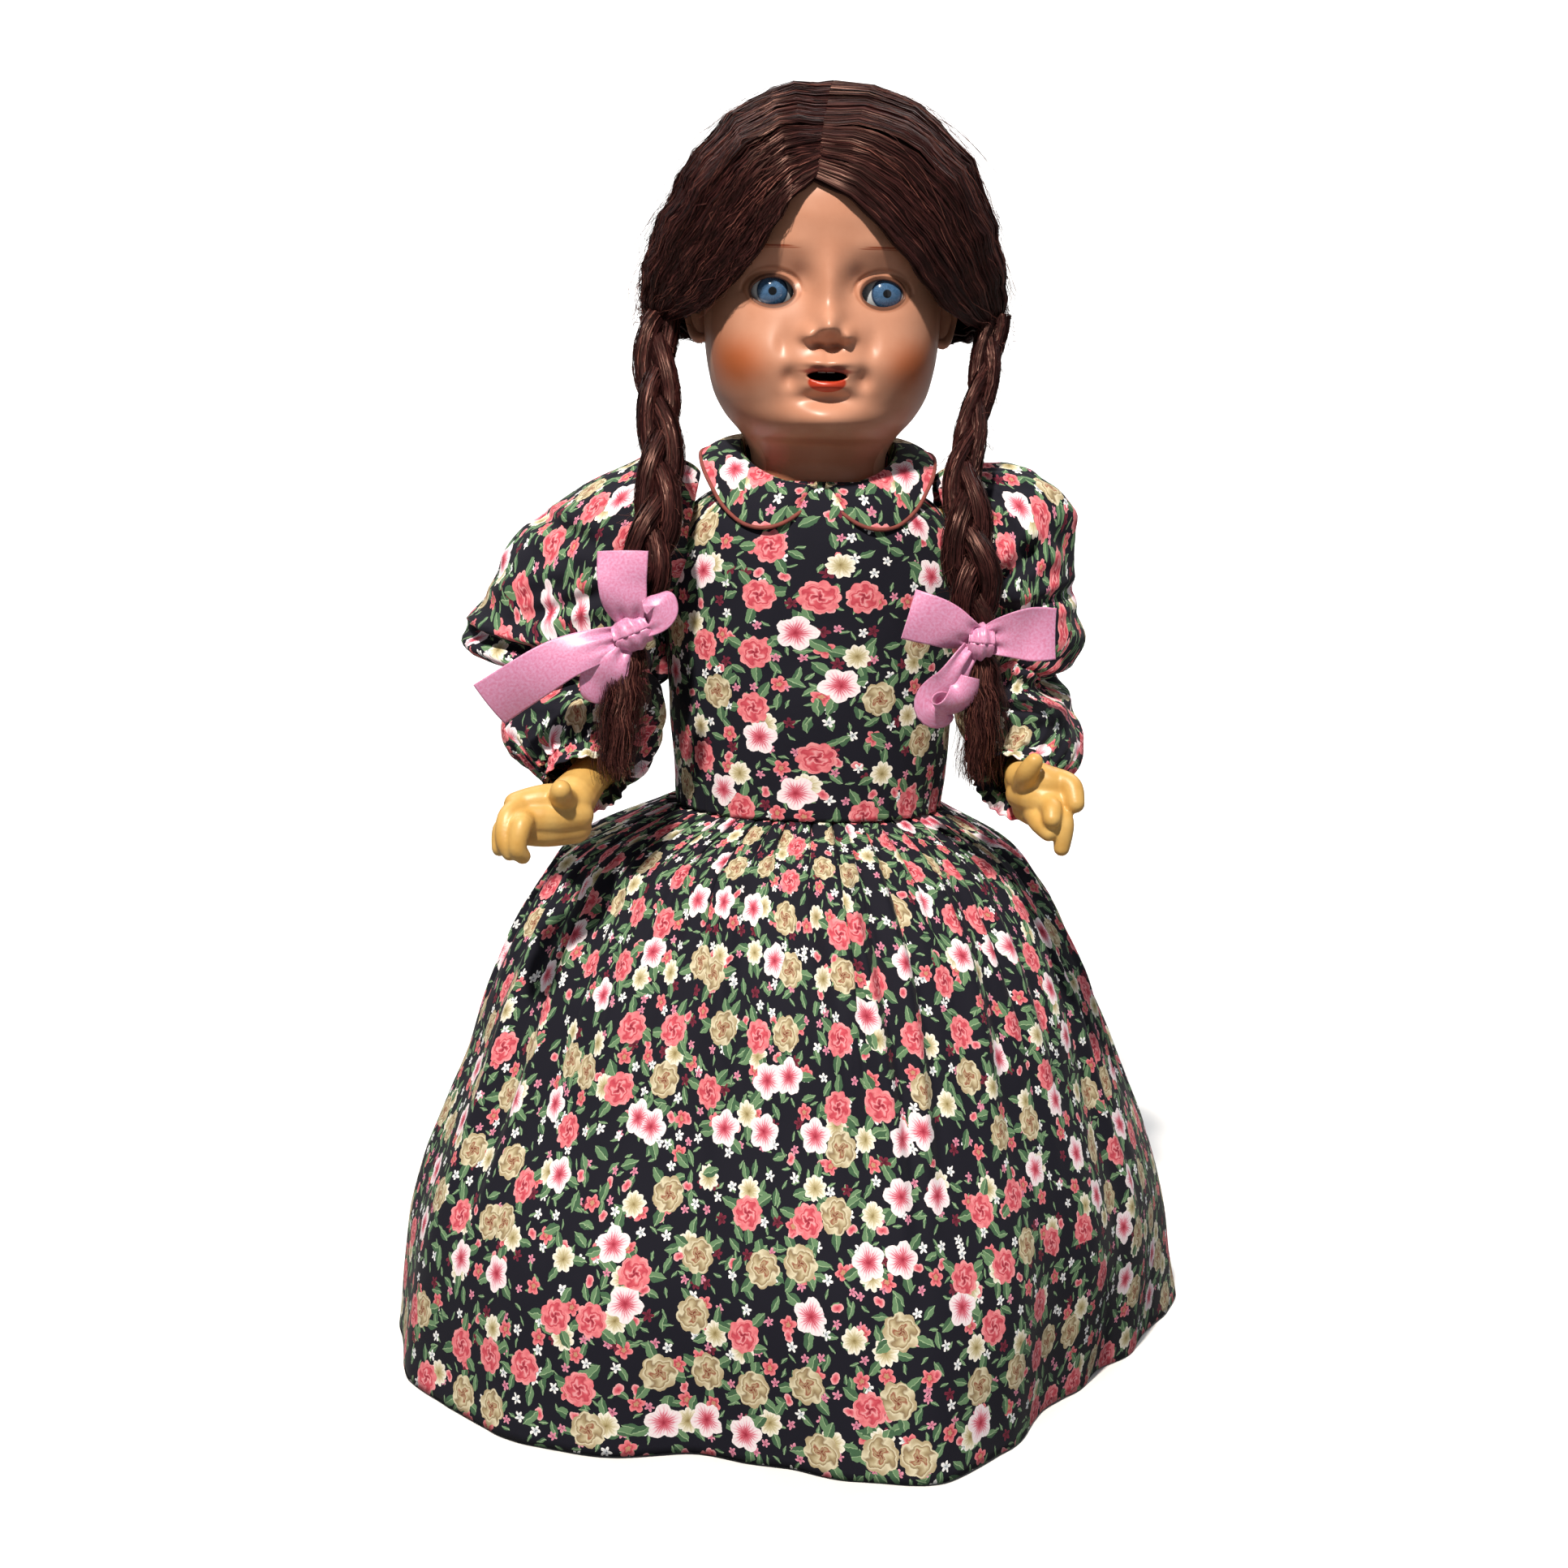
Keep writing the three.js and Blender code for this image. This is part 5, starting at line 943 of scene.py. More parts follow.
    def turn_in(self, head: bpy.types.Object) -> None:
        """Extrudes each opening's edge inwards, so that lids and lips have a rounded thickness."""
        for inward, back in ((0.35, 0.25), (0.3, 0.8), (0.0, 2.2)):
            bpy.ops.object.select_all(action="DESELECT")
            select_only(head)
            mesh = head.data
            counts = np.zeros(len(mesh.edges), int)
            keys = {edge.key: edge.index for edge in mesh.edges}
            for polygon in mesh.polygons:
                for key in polygon.edge_keys:
                    counts[keys[key]] += 1
            points = coordinates(head)
            bpy.ops.object.mode_set(mode="EDIT")
            bpy.ops.mesh.select_all(action="DESELECT")
            bpy.ops.object.mode_set(mode="OBJECT")
            for edge in mesh.edges:
                low = points[list(edge.vertices)]
                edge.select = bool(counts[edge.index] == 1 and low[0, 1] < -20 and 395 < low[0, 2] < 450)
            bpy.ops.object.mode_set(mode="EDIT")
            bpy.ops.mesh.select_mode(type="EDGE")
            bpy.ops.mesh.extrude_region_move(TRANSFORM_OT_translate={"value": (0, back * MM, 0)})
            bpy.ops.object.mode_set(mode="OBJECT")
            points = coordinates(head)
            chosen = np.array([v.index for v in mesh.vertices if v.select])
            for gap in self.openings:
                own = chosen[np.hypot(points[chosen, 0] - gap.x, points[chosen, 2] - gap.z) < 12]
                reach = points[own][:, [0, 2]] - (gap.x, gap.z)
                points[own[:, None], [0, 2]] -= unit(reach) * inward
            place_vertices(head, points)


@dataclass(frozen=True)
class FacePaint:
    """Flesh-tinted oil paint on composition, rubbed to a satin bloom, with painted blush, lips and brows, and
    painted shade at the face's sides, under the nose, in the chin's crease and under the chin.
    """

    name: str = "bisque painted composition"
    flesh: str = "#c1886d"
    flesh_light: str = "#ca9379"
    blush: str = "#b6581f"
    lower_lip: str = "#b8391f"
    upper_lip: str = "#7e3023"
    brow: str = "#94401f"
    # A darker flesh for painted shade: the face's sides, under the nose, the chin's crease and under the
    # chin.
    shade: str = "#a4654a"
    lid: str = "#96583a"
    lash: str = "#4e2c1e"

    def spot(
        self,
        tree: bpy.types.NodeTree,
        place: bpy.types.NodeSocket,
        middle: tuple[float, float],
        reach: tuple[float, float],
        soft: tuple[float, float],
    ) -> bpy.types.NodeSocket:
        """A soft oval on both sides of the face, 1 inside and 0 outside.

        Args:
            tree: the material's nodes.
            place: mirrored place in millimetres, across, and up.
            middle: the oval's middle, across and up.
            reach: its half width and half height.
            soft: the shares of its reach where it is full and where it ends.

        Returns:
            The mask.
        """
        away = add_node(
            tree, "VectorMath", {0: place, 1: (middle[0], 0, middle[1])}, operation="SUBTRACT"
        )
        scaled = add_node(
            tree, "VectorMath", {0: away, 1: (1 / reach[0], 0, 1 / reach[1])}, operation="MULTIPLY"
        )
        share = add_node(tree, "VectorMath", {0: scaled}, operation="LENGTH").outputs["Value"]
        return add_node(
            tree, "MapRange",
            {"Value": share, "From Min": soft[0], "From Max": soft[1], "To Min": 1.0, "To Max": 0.0},
            interpolation_type="SMOOTHSTEP",
        ).outputs[0]

    def material(self) -> bpy.types.Material:
        """Builds the paint on object coordinates."""
        material, tree, shader = new_material(self.name)
        place = add_node(tree, "TexCoord").outputs["Object"]
        scaled = add_node(tree, "VectorMath", {0: place, "Scale": 1 / MM}, operation="SCALE")
        mirrored = add_node(tree, "VectorMath", {0: scaled}, operation="ABSOLUTE")
        parts = add_node(tree, "SeparateXYZ", {0: scaled})
        front = add_node(tree, "Math", {0: parts.outputs["Y"], 1: -18.0}, operation="LESS_THAN")
        mottle = add_node(tree, "TexNoise", {"Vector": place, "Scale": 1 / (14 * MM), "Detail": 4.0})
        flesh = set_stops(
            add_node(tree, "ValToRGB", {"Fac": mottle}), [(0.3, self.flesh), (0.7, self.flesh_light)]
        )
        colour = flesh.outputs[0]
        spots = (
            # Painted shade: the face's sides darken where they turn away from the light.
            (self.shade, (54, 420), (18, 48), (0.2, 1.0), 0.7),
            (self.blush, (36, 410), (18, 16), (0.1, 1.0), 0.8),
            # Painted shadow under the chin, on the neck.
            (self.shade, (0, 364), (60, 20), (0.55, 1.0), 0.75),
            # Painted shadow under the nose.
            (self.shade, (0, 417.8), (8.5, 2.4), (0.3, 1.0), 0.8),
            # Painted shade in the crease below the chin.
            (self.shade, (0, 380.5), (26, 2.4), (0.2, 1.0), 0.5),
            (self.lid, (21.7, 439.9), (12.4, 9.2), (0.88, 1.0), 0.6),
            (self.flesh, (21.7, 439.6), (11.5, 8.3), (0.86, 1.0), 1.0),
            (self.lash, (21.7, 438.6), (9.9, 7.1), (0.9, 1.0), 0.85),
            (self.upper_lip, (0, 408.3), (14.0, 1.5), (0.5, 1.0), 0.75),
            (self.upper_lip, (0, 408.2), (10.0, 2.2), (0.75, 1.0), 0.8),
            (self.upper_lip, (3.6, 409.2), (4.6, 2.0), (0.6, 1.0), 0.8),
            (self.lower_lip, (0, 404.1), (8.0, 4.1), (0.86, 1.0), 1.0),
            (self.brow, (20.5, 456.0), (8.4, 0.5), (0.5, 1.0), 0.9),
            (self.brow, (16.5, 455.3), (6.5, 0.4), (0.5, 1.0), 0.7),
            (self.brow, (24.0, 455.2), (5.5, 0.35), (0.5, 1.0), 0.5),
        )
        for ink, middle, reach, soft, strength in spots:
            mask = self.spot(tree, mirrored.outputs[0], middle, reach, soft)
            held = add_node(tree, "Math", {0: mask, 1: front}, operation="MULTIPLY")
            held = add_node(tree, "Math", {0: held, 1: strength}, operation="MULTIPLY")
            colour = add_node(tree, "Mix", {0: held, 6: colour, 7: linear(ink)}, data_type="RGBA").outputs[2]
        grain = add_node(tree, "TexNoise", {"Vector": place, "Scale": 1 / (1.1 * MM), "Detail": 3.0})
        gloss = add_node(tree, "MapRange", {"Value": mottle, "To Min": 0.34, "To Max": 0.42})
        bump = add_node(tree, "Bump", {"Height": grain, "Strength": 0.25, "Distance": 0.04 * MM})
        tree.links.new(colour, shader.inputs["Base Color"])
        tree.links.new(gloss.outputs[0], shader.inputs["Roughness"])
        tree.links.new(bump.outputs[0], shader.inputs["Normal"])
        set_shader(shader, Specular_IOR_Level=0.4, Coat_Weight=0.06, Coat_Roughness=0.35)
        return material


# The dress

@dataclass
class Dress:
    """The print dress's bodice and gathered skirt; its puffed sleeves with cuffs, and its collar with piping,
    are built on their own.
    """

    waist_z: float = 228.0
    bodice_height: float = 133.0
    bodice_half_width: float = 61.0
    bodice_front: float = 44.5
    bodice_back: float = 39.5
    cloth_thickness: float = 0.45
    bodice_shares: Sequence = (
        (0, 0.9, 0.99, 0.98), (0.16, 0.935, 0.985, 0.95), (0.4, 0.985, 0.95, 0.94), (0.6, 1, 0.91, 0.95),
        (0.78, 0.985, 0.87, 0.94), (0.89, 0.9, 0.82, 0.89), (0.96, 0.74, 0.76, 0.84), (1, 0.575, 0.71, 0.79),
        (1.012, 0.53, 0.685, 0.77), (1.02, 0.5, 0.655, 0.735),
    )
    skirt_radius: float = 165.0
    skirt_top: float = 227.7
    hem_z: float = 0.6
    # Height share, then the reach across and the reach to the front and back, as shares of the radius.
    skirt_shares: Sequence = (
        (0, 1.0, 1.0), (0.27, 0.962, 0.905), (0.51, 0.84, 0.742), (0.7, 0.742, 0.617), (0.84, 0.638, 0.496),
        (0.92, 0.548, 0.398), (0.97, 0.43, 0.316), (1, 0.345, 0.262),
    )
    # Angle from straight ahead towards her left in degrees, and how far out the hem stands.
    hem_line: Sequence = (
        (-180, 167), (-150, 165), (-122, 171), (-100, 168), (-79, 172), (-63, 175), (-52, 177), (-42, 175),
        (-33, 170), (-24, 158), (-16, 151), (-3, 156), (6, 166), (12, 172), (20, 170), (29, 157), (37, 147),
        (48, 140), (61, 140), (73, 148), (89, 163), (99, 176), (122, 173), (150, 164), (180, 167),
    )
    # Angle of each broad fold, its half width in degrees and its depth at the hem.
    folds: Sequence = (
        (-166, 7, 5), (-145, 8, 4), (-124, 6, 5), (-103, 8, 4), (-84, 6, 4), (-67, 7, 5), (-38, 6, 3),
        (-29, 7, 5), (-11, 6, 4), (4, 6, 5), (17, 5, 4), (33, 7, 5), (56, 7, 5), (72, 6, 4), (91, 8, 3),
        (113, 7, 4), (134, 8, 5), (155, 7, 4), (175, 6, 4),
    )
    # Height share, and how far the skirt hangs to the side there.
    skirt_lean: Sequence = ((0, 0), (0.25, -2), (0.5, -3), (0.8, -4.5), (0.92, -5), (1, -2))
    skirt_flat: tuple[float, float] = (1090.0, 268.0)
    gathers: int = 50
    seed: int = 7

    def build(self) -> dict[str, bpy.types.Object]:
        """The bodice and the skirt, by name."""
        return {"bodice": self.bodice(), "skirt": self.skirt()}

    def bodice_point(self, turn: Array, share: Array, outward: float = 0.0) -> Array:
        """Points on the bodice: turn is a share of the way round from the middle of the back."""
        up = share * self.bodice_shares[-1][0]
        wide, front, back = smooth_rows(self.bodice_shares, up).T
        angle = 2 * np.pi * turn
        sine, cosine = np.sin(angle), np.cos(angle)
        round_ = 2.25
        x = wide * self.bodice_half_width * np.sign(sine) * np.abs(sine) ** (2 / round_)
        deep = np.where(cosine > 0, back * self.bodice_back, front * self.bodice_front)
        y = deep * np.sign(cosine) * np.abs(cosine) ** (2 / round_)
        points = np.stack([x, y, self.waist_z + up * self.bodice_height], -1)
        out = unit(points * (1, 1.4, 0))
        low = np.exp(-up / 0.09)
        pucker = 0.45 * low * np.sin(46 * angle + 2 * np.sin(5 * angle))
        soft = 1.0 * wrinkle(points, 26, 3.0) + 0.35 * wrinkle(points * (1, 1, 0.6), 9, 8.0)
        keep = np.clip(up / 0.08, 0, 1) * np.clip((0.98 - up) / 0.1, 0, 1)
        return points + out * (pucker + soft * keep + outward)[..., None]

    def bodice(self) -> bpy.types.Object:
        """The bodice, from the waist seam to the neck."""
        piece = woven(
            "dress_bodice", (220, 80), BODICE_CUT, lambda u, v: self.bodice_point(u, v), closed=True
        )
        return finish_with(piece, "SOLIDIFY", thickness=self.cloth_thickness * MM, offset=-1)

    def skirt_line(self, share: Array) -> tuple[Array, Array, Array]:
        """Height share and the two reaches at shares of the cloth's length from the hem."""
        up = np.linspace(0, 1, 400)
        reach = smooth_rows(self.skirt_shares, up)[:, 0]
        step = np.hypot(np.diff(up) * self.skirt_top, np.diff(reach) * self.skirt_radius)
        length = np.concatenate([[0], np.cumsum(step)])
        up_here = np.interp(share, length / length[-1], up)
        across, deep = np.moveaxis(smooth_rows(self.skirt_shares, up_here), -1, 0)
        return up_here, across, deep

    def gathered(self, turn: Array, drop: Array, girth: Array) -> tuple[Array, Array]:
        """Draws the cloth into creases, as deep as the girth leaves cloth over.

        Args:
            turn: shares of the cloth's width.
            drop: distance below the waist seam in millimetres.
            girth: the skirt's girth there as a share of the cloth's width.

        Returns:
            Where the cloth lies as a share of the way round, and how far in it is drawn.
        """
        random = np.random.default_rng(self.seed + 1)
        fine = np.linspace(-0.1, 1.1, 4000)
        uneven = 0.22 * np.sin(6 * np.pi * fine + 0.5) + 0.17 * np.sin(22 * np.pi * fine)
        uneven = uneven + 0.12 * np.sin(34 * np.pi * fine)
        counted = self.gathers * fine + uneven
        place = np.interp(turn, fine, counted)
        nearest = np.round(place)
        own = nearest.astype(int) % self.gathers
        reach = (random.gamma(2.4, 17, self.gathers) + 20)[own]
        most = random.uniform(0.5, 0.86, self.gathers)[own]
        fade = np.exp(-((drop / reach) ** 1.6))
        hidden = np.clip(1 - girth, 0, 0.8) * most * fade / 2
        local = place - nearest
        narrow = 0.16 * hidden
        inside = np.abs(local) < hidden
        within = local * 0.16
        beside = np.sign(local) * (narrow + (np.abs(local) - hidden) * (0.5 - narrow) / (0.5 - hidden))
        moved = nearest + np.where(inside, within, beside)
        fall = np.clip(1 - np.abs(local) / np.maximum(hidden, 1e-6), 0, 1)
        drawn = self.skirt_flat[0] / self.gathers * hidden * fall
        swell = 1.6 * fade * np.cos(2 * np.pi * local)
        return np.interp(moved, counted, fine), np.minimum(drawn, 6.0) + swell

    def skirt_point(self, turn: Array, share: Array) -> Array:
        """Points on the skirt: turn starts at the middle of the back, share at the hem."""
        random = np.random.default_rng(self.seed)
        up, across, deep = self.skirt_line(share)
        drop = (1 - share) * self.skirt_flat[1]
        girth = np.pi * (across + deep) * self.skirt_radius / self.skirt_flat[0]
        lies, drawn = self.gathered(turn, drop, girth)
        angle = 2 * np.pi * lies - np.pi
        hang = 1 - up
        out = (smooth_rows(self.hem_line, np.degrees(angle))[..., 0] - self.skirt_radius) * hang**2.2
        # Broad folds hang from the waist and deepen towards the hem.
        for middle, wide, height in self.folds:
            lean = random.uniform(-0.05, 0.05)
            off = (angle - math.radians(middle) - lean * hang + np.pi) % (2 * np.pi) - np.pi
            off = off / math.radians(wide)
            out = out + height * hang * (np.exp(-(off**2)) - 0.45 * np.exp(-((off / 2.1) ** 2)))
        # Middle folds, where several gathers fall together.
        for k in range(34):
            middle = 2 * np.pi * (k + random.uniform(-0.35, 0.35)) / 34 - np.pi
            start, end = random.uniform(0, 25), random.uniform(80, 230)
            wide = random.uniform(0.025, 0.05)
            off = (angle - middle - 0.05 * np.sin(drop / 60 + k) + np.pi) % (2 * np.pi) - np.pi
            fade = np.clip((drop - start) / 25, 0, 1) * np.clip((end - drop) / 70, 0, 1)
            fall = np.exp(-((off / wide) ** 2)) - 0.7 * np.exp(-(((off - 1.9 * wide) / wide) ** 2))
            out = out + random.uniform(1.8, 4.0) * fade * fall
        out = out - drawn
        z = self.hem_z + up * (self.skirt_top - self.hem_z)
        points = np.stack(
            [
                (across * self.skirt_radius + out) * np.sin(angle) + smooth_rows(self.skirt_lean, up)[..., 0],
                -(deep * self.skirt_radius + out) * np.cos(angle),
                z,
            ],
            -1,
        )
        outwards = unit(points * (1, 1, 0))
        soft = 1.6 * wrinkle(points * (1, 1, 0.35), 34, 5.0) + 0.4 * wrinkle(points * (1, 1, 0.5), 11, 9.0)
        points = points + outwards * (soft * np.clip(hang * 4, 0, 1))[..., None]
        points[..., 2] += np.clip(0.6 * wrinkle(points, 30, 12.0) + 0.4, 0, 1) * (hang > 0.97)
        return points

    def skirt(self) -> bpy.types.Object:
        """The skirt, gathered into the waist seam, its hem just off the floor."""
        piece = woven("dress_skirt", (540, 88), self.skirt_flat, self.skirt_point, closed=True)
        return finish_with(piece, "SOLIDIFY", thickness=self.cloth_thickness * MM, offset=-1)


@dataclass(frozen=True)
class Fold:
    """A fold as the front shows it: its ends across and up, its half width and how far it stands out."""

    start: tuple[float, float]
    end: tuple[float, float]
    half_width: float
    rise: float


def folded(points: Array, folds: Iterable[Fold]) -> Array:
    """How far folds lift points out of the cloth, or sink them, on the side that faces the front."""
    total = np.zeros(points.shape[:-1])
    front = np.clip((6 - points[..., 1]) / 12, 0, 1)
    for fold in folds:
        start, end = np.array(fold.start), np.array(fold.end)
        run = end - start
        away = points[..., [0, 2]] - start
        share = away @ run / (run @ run)
        off = np.linalg.norm(away - np.clip(share, 0, 1)[..., None] * run, axis=-1) / fold.half_width
        taper = np.clip(np.minimum(share + 0.15, 1.15 - share) / 0.3, 0, 1)
        beside = 0.4 * np.exp(-(((off - 1.7) / 0.9) ** 2))
        total = total + fold.rise * taper * (np.exp(-(off**2)) - beside)
    return total * front


@dataclass
class Sleeve:
    """One puffed sleeve: its run from the shoulder, its girth, and the fold at the elbow."""

    side: int
    shoulder: tuple[float, float, float] = (52, 0, 338)
    run: Sequence = (
        (1, 0, -1), (14, 0, 1), (30, -1, -3), (44, -2, -18), (50, -3, -34), (51, -6, -48), (50, -13, -61),
        (47, -24, -70), (43, -38, -78),
    )
    wrist: tuple[float, float, float] = (36, -54, -86)
    folds: Sequence = ()
    girth: Sequence = (
        (0, 25), (0.06, 30), (0.16, 33), (0.3, 35), (0.44, 36.5), (0.55, 36), (0.63, 30.5), (0.68, 26),
        (0.73, 27.5), (0.8, 28), (0.88, 25), (0.95, 19), (0.985, 15.5), (1.0, 14.5),
    )
    # Height, and how far out the sleeve reaches there.
    outline: Sequence = ()
    inner_line: float = 64.0
    # Height, and how far in it reaches there towards the bodice.
    inner: Sequence = ((236, 72), (246, 64), (256, 62), (300, 62.5), (312, 63))
    middle_x: float = 88.0
    forward_share: float = 0.92
    split: float = 0.675
    tuck: float = 0.045
    cuff_length: float = 10.5
    cuff_width: float = 128.0
    cuff_radius: float = 15.0
    cloth_thickness: float = 0.45
    seed: int = 11

    def frame_at(self, along_share: Array) -> tuple[Array, Array, Array]:
        """Middle of the sleeve and its outward and forward directions at shares of its run."""
        fine = np.linspace(0, 1, 200)
        mirror = (self.side, 1, 1)
        middle = along((*self.run, self.wrist), fine) * mirror + np.array(self.shoulder) * mirror
        ahead = unit(np.gradient(middle, axis=0))
        out = np.zeros_like(middle)
        out[0] = (0, 0, 1)
        for k in range(1, len(fine)):
            step = out[k - 1] - ahead[k] * np.dot(out[k - 1], ahead[k])
            out[k] = step / np.linalg.norm(step)
        forward = np.cross(ahead, out) * -self.side
        parts = (np.interp(along_share, fine, column) for column in np.hstack([middle, out, forward]).T)
        values = np.stack(list(parts), -1)
        return values[..., :3], unit(values[..., 3:6]), unit(values[..., 6:9])

    def point(self, turn: Array, along_share: Array) -> Array:
        """Points on the sleeve: turn starts at its outer line and goes by the front."""
        random = np.random.default_rng(self.seed + self.side)
        middle, out, forward = self.frame_at(along_share)
        angle = 2 * np.pi * turn
        girth = smooth_rows(self.girth, along_share)[..., 0]
        cosine, sine = np.cos(angle), np.sin(angle)
        mid = np.clip(along_share / 0.2, 0, 1) * np.clip((0.95 - along_share) / 0.2, 0, 1)
        reach = girth
        # Gathers at the head lie over the top, and at the cuff all round.
        head = np.exp(-((along_share / 0.13) ** 1.5)) * np.clip(0.35 + cosine, 0, 1)
        reach = reach + 1.5 * head * np.sin(30 * angle + 2.2 * np.sin(4 * angle))
        cuff = np.exp(-(((1 - along_share) / 0.1) ** 1.3))
        reach = reach + 1.1 * cuff * np.sin(26 * angle + 1.7 * np.sin(3 * angle))
        # Folds run down the puff, and creases fan out from the elbow.
        for _ in range(9):
            start, lean = random.uniform(0, 2 * np.pi), random.uniform(-1.4, 1.4)
            wide, deep = random.uniform(0.16, 0.32), random.uniform(1.2, 2.8)
            off = (angle - start - lean * along_share + np.pi) % (2 * np.pi) - np.pi
            lift = np.exp(-((off / wide) ** 2)) - 0.5 * np.exp(-((off / (2 * wide)) ** 2))
            ends = np.clip(along_share / 0.15, 0, 1)
            reach = reach + deep * lift * ends * np.clip((1 - along_share) / 0.2, 0, 1)
        pinch = np.exp(-(((along_share - self.split) / 0.07) ** 2))
        reach = reach + 2.0 * pinch * np.sin(7 * angle + 1.3) + 1.0 * pinch * np.sin(13 * angle)
        points = middle + reach[..., None] * (
            out * cosine[..., None] + forward * (self.forward_share * sine)[..., None]
        )
        sag = np.exp(-(((along_share - 0.56) / 0.1) ** 2)) * np.clip(cosine + 0.5, 0, 1)
        points[..., 2] -= 5.0 * sag
        normal = out * cosine[..., None] + forward * sine[..., None]
        soft = 1.7 * wrinkle(points, 22, 4.0 + self.side) + 0.7 * wrinkle(points, 9, 6.0)
        return points + normal * (soft * mid)[..., None]

    def fitted(self, points: Array) -> Array:
        """Pulls the sleeve's outer side onto its outline, height by height."""
        turn, share = np.meshgrid(np.linspace(0, 1, 60, endpoint=False), np.linspace(0, 1, 120))
        sample = self.point(turn, share).reshape(-1, 3)
        heights, wanted = np.array(self.outline, float).T
        nearest = np.abs(sample[:, 2][None] - heights[:, None]) < 3.5
        found = np.where(nearest, np.abs(sample[:, 0])[None], 0).max(1)
        grow = (wanted - self.inner_line) / np.maximum(found - self.inner_line, 4)
        table = np.stack([heights, grow], -1)
        scale = smooth_rows(table, points[..., 2])[..., 0]
        beyond = np.abs(points[..., 0]) - self.inner_line
        moved = points.copy()
        fitted = self.inner_line + beyond * scale
        least = np.where(nearest, np.abs(sample[:, 0])[None], 999).min(1)
        reach = smooth_rows(self.inner, heights)[..., 0]
        pull = np.clip((self.middle_x - reach) / np.maximum(self.middle_x - least, 4), 1, 2.4)
        pull = smooth_rows(np.stack([heights, pull], -1), points[..., 2])[..., 0]
        pull = 1 + (pull - 1) * np.clip((312 - points[..., 2]) / 12, 0, 1)
        across = np.where(beyond > 0, fitted, np.abs(points[..., 0]))
        drawn = self.middle_x - (self.middle_x - across) * pull
        moved[..., 0] = self.side * np.where(across < self.middle_x, drawn, across)
        middle = np.array((self.side * self.middle_x, -8.0, 0)) + moved * (0, 0, 1)
        outwards = unit(moved - middle)
        # The cloth stands off behind the elbow, where the forearm's ball joint lies.
        behind = 7 * np.exp(-(((moved[..., 2] - 284) / 14) ** 2)) * np.clip((moved[..., 1] + 8) / 12, 0, 1)
        return moved + outwards * (folded(moved, self.folds) + behind)[..., None]

    def build(self) -> tuple[bpy.types.Object, bpy.types.Object, bpy.types.Object]:
        """The puff above the elbow, the puff below it and the cuff."""
        side = side_name(self.side)
        split = self.split + self.tuck

        def upper(turn: Array, share: Array) -> Array:
            at = share * split
            points = self.fitted(self.point(turn, at))
            middle, _, _ = self.frame_at(at)
            inside = np.clip((at - self.split) / self.tuck, 0, 1)[..., None]
            return points + (middle - points) * 0.1 * inside

        def lower(turn: Array, share: Array) -> Array:
            start = self.split - self.tuck
            at = start + share * (1 - start)
            points = self.fitted(self.point(turn, at))
            middle, _, _ = self.frame_at(at)
            inside = np.clip((self.split + 0.6 * self.tuck - at) / (1.6 * self.tuck), 0, 1)[..., None]
            return points + (middle - points) * 0.22 * inside

        def cuff(turn: Array, share: Array) -> Array:
            middle, out, forward = self.frame_at(np.ones_like(share))
            ahead = np.cross(out, forward) * self.side
            angle = 2 * np.pi * turn
            frill = np.clip(share - 0.35, 0, 1)
            radius = self.cuff_radius - 0.9 * np.exp(-(((share - 0.35) / 0.16) ** 2)) + 2.2 * frill
            radius = radius + (0.3 + 0.45 * frill) * np.sin(19 * angle + 1.7 * np.sin(3 * angle))
            reach = radius[..., None] * (
                out * np.cos(angle)[..., None] + forward * (0.92 * np.sin(angle))[..., None]
            )
            return middle + reach - ahead * (share * self.cuff_length - 1.0)[..., None]

        sheets = (
            woven(f"sleeve_puff_{side}", (190, 84), PUFF_CUT, upper, True, True),
            woven(f"sleeve_lower_{side}", (170, 60), LOWER_SLEEVE_CUT, lower, True, True),
            woven(f"sleeve_cuff_{side}", (190, 12), (self.cuff_width, self.cuff_length), cuff, closed=True),
        )
        for sheet in sheets:
            turned_outwards(sheet)
            finish_with(sheet, "SOLIDIFY", thickness=self.cloth_thickness * MM, offset=-1)
        return sheets


SLEEVE_OUTLINES = {
    1: (
        (240, 100), (251, 110), (261, 112), (271, 110), (277, 106), (283, 101), (290, 107), (302, 113),
        (312, 109), (322, 108), (342, 108), (352, 109), (362, 103), (372, 88),
    ),
    -1: (
        (240, 112), (251, 126), (261, 129), (272, 127), (281, 122), (290, 140), (297, 143), (304, 142),
        (312, 136), (322, 132), (332, 129), (342, 120), (352, 107), (362, 92), (372, 73),
    ),
}
WRISTS = {1: (30, -58, -87), -1: (41, -55, -88)}
SLEEVE_FOLDS = {
    1: (
        Fold((61, 317), (90, 341), 3.6, -5.0), Fold((66, 310), (106, 321), 3.2, -3.5),
        Fold((62, 286), (104, 282), 4.0, -7.0), Fold((70, 274), (104, 276), 4.0, 3.0),
        Fold((66, 257), (92, 264), 2.6, -3.0), Fold((78, 352), (98, 332), 4.0, 2.0),
    ),
    -1: (
        Fold((-146, 299), (-100, 291), 2.6, -7.0), Fold((-142, 290), (-104, 284), 3.4, 3.0),
        Fold((-124, 281), (-74, 283), 4.0, -6.5), Fold((-119, 347), (-90, 337), 3.6, -3.0),
        Fold((-100, 328), (-134, 314), 4.0, 2.0), Fold((-101, 250), (-70, 252), 3.0, -3.0),
        Fold((-86, 318), (-124, 305), 3.0, -2.5),
    ),
}


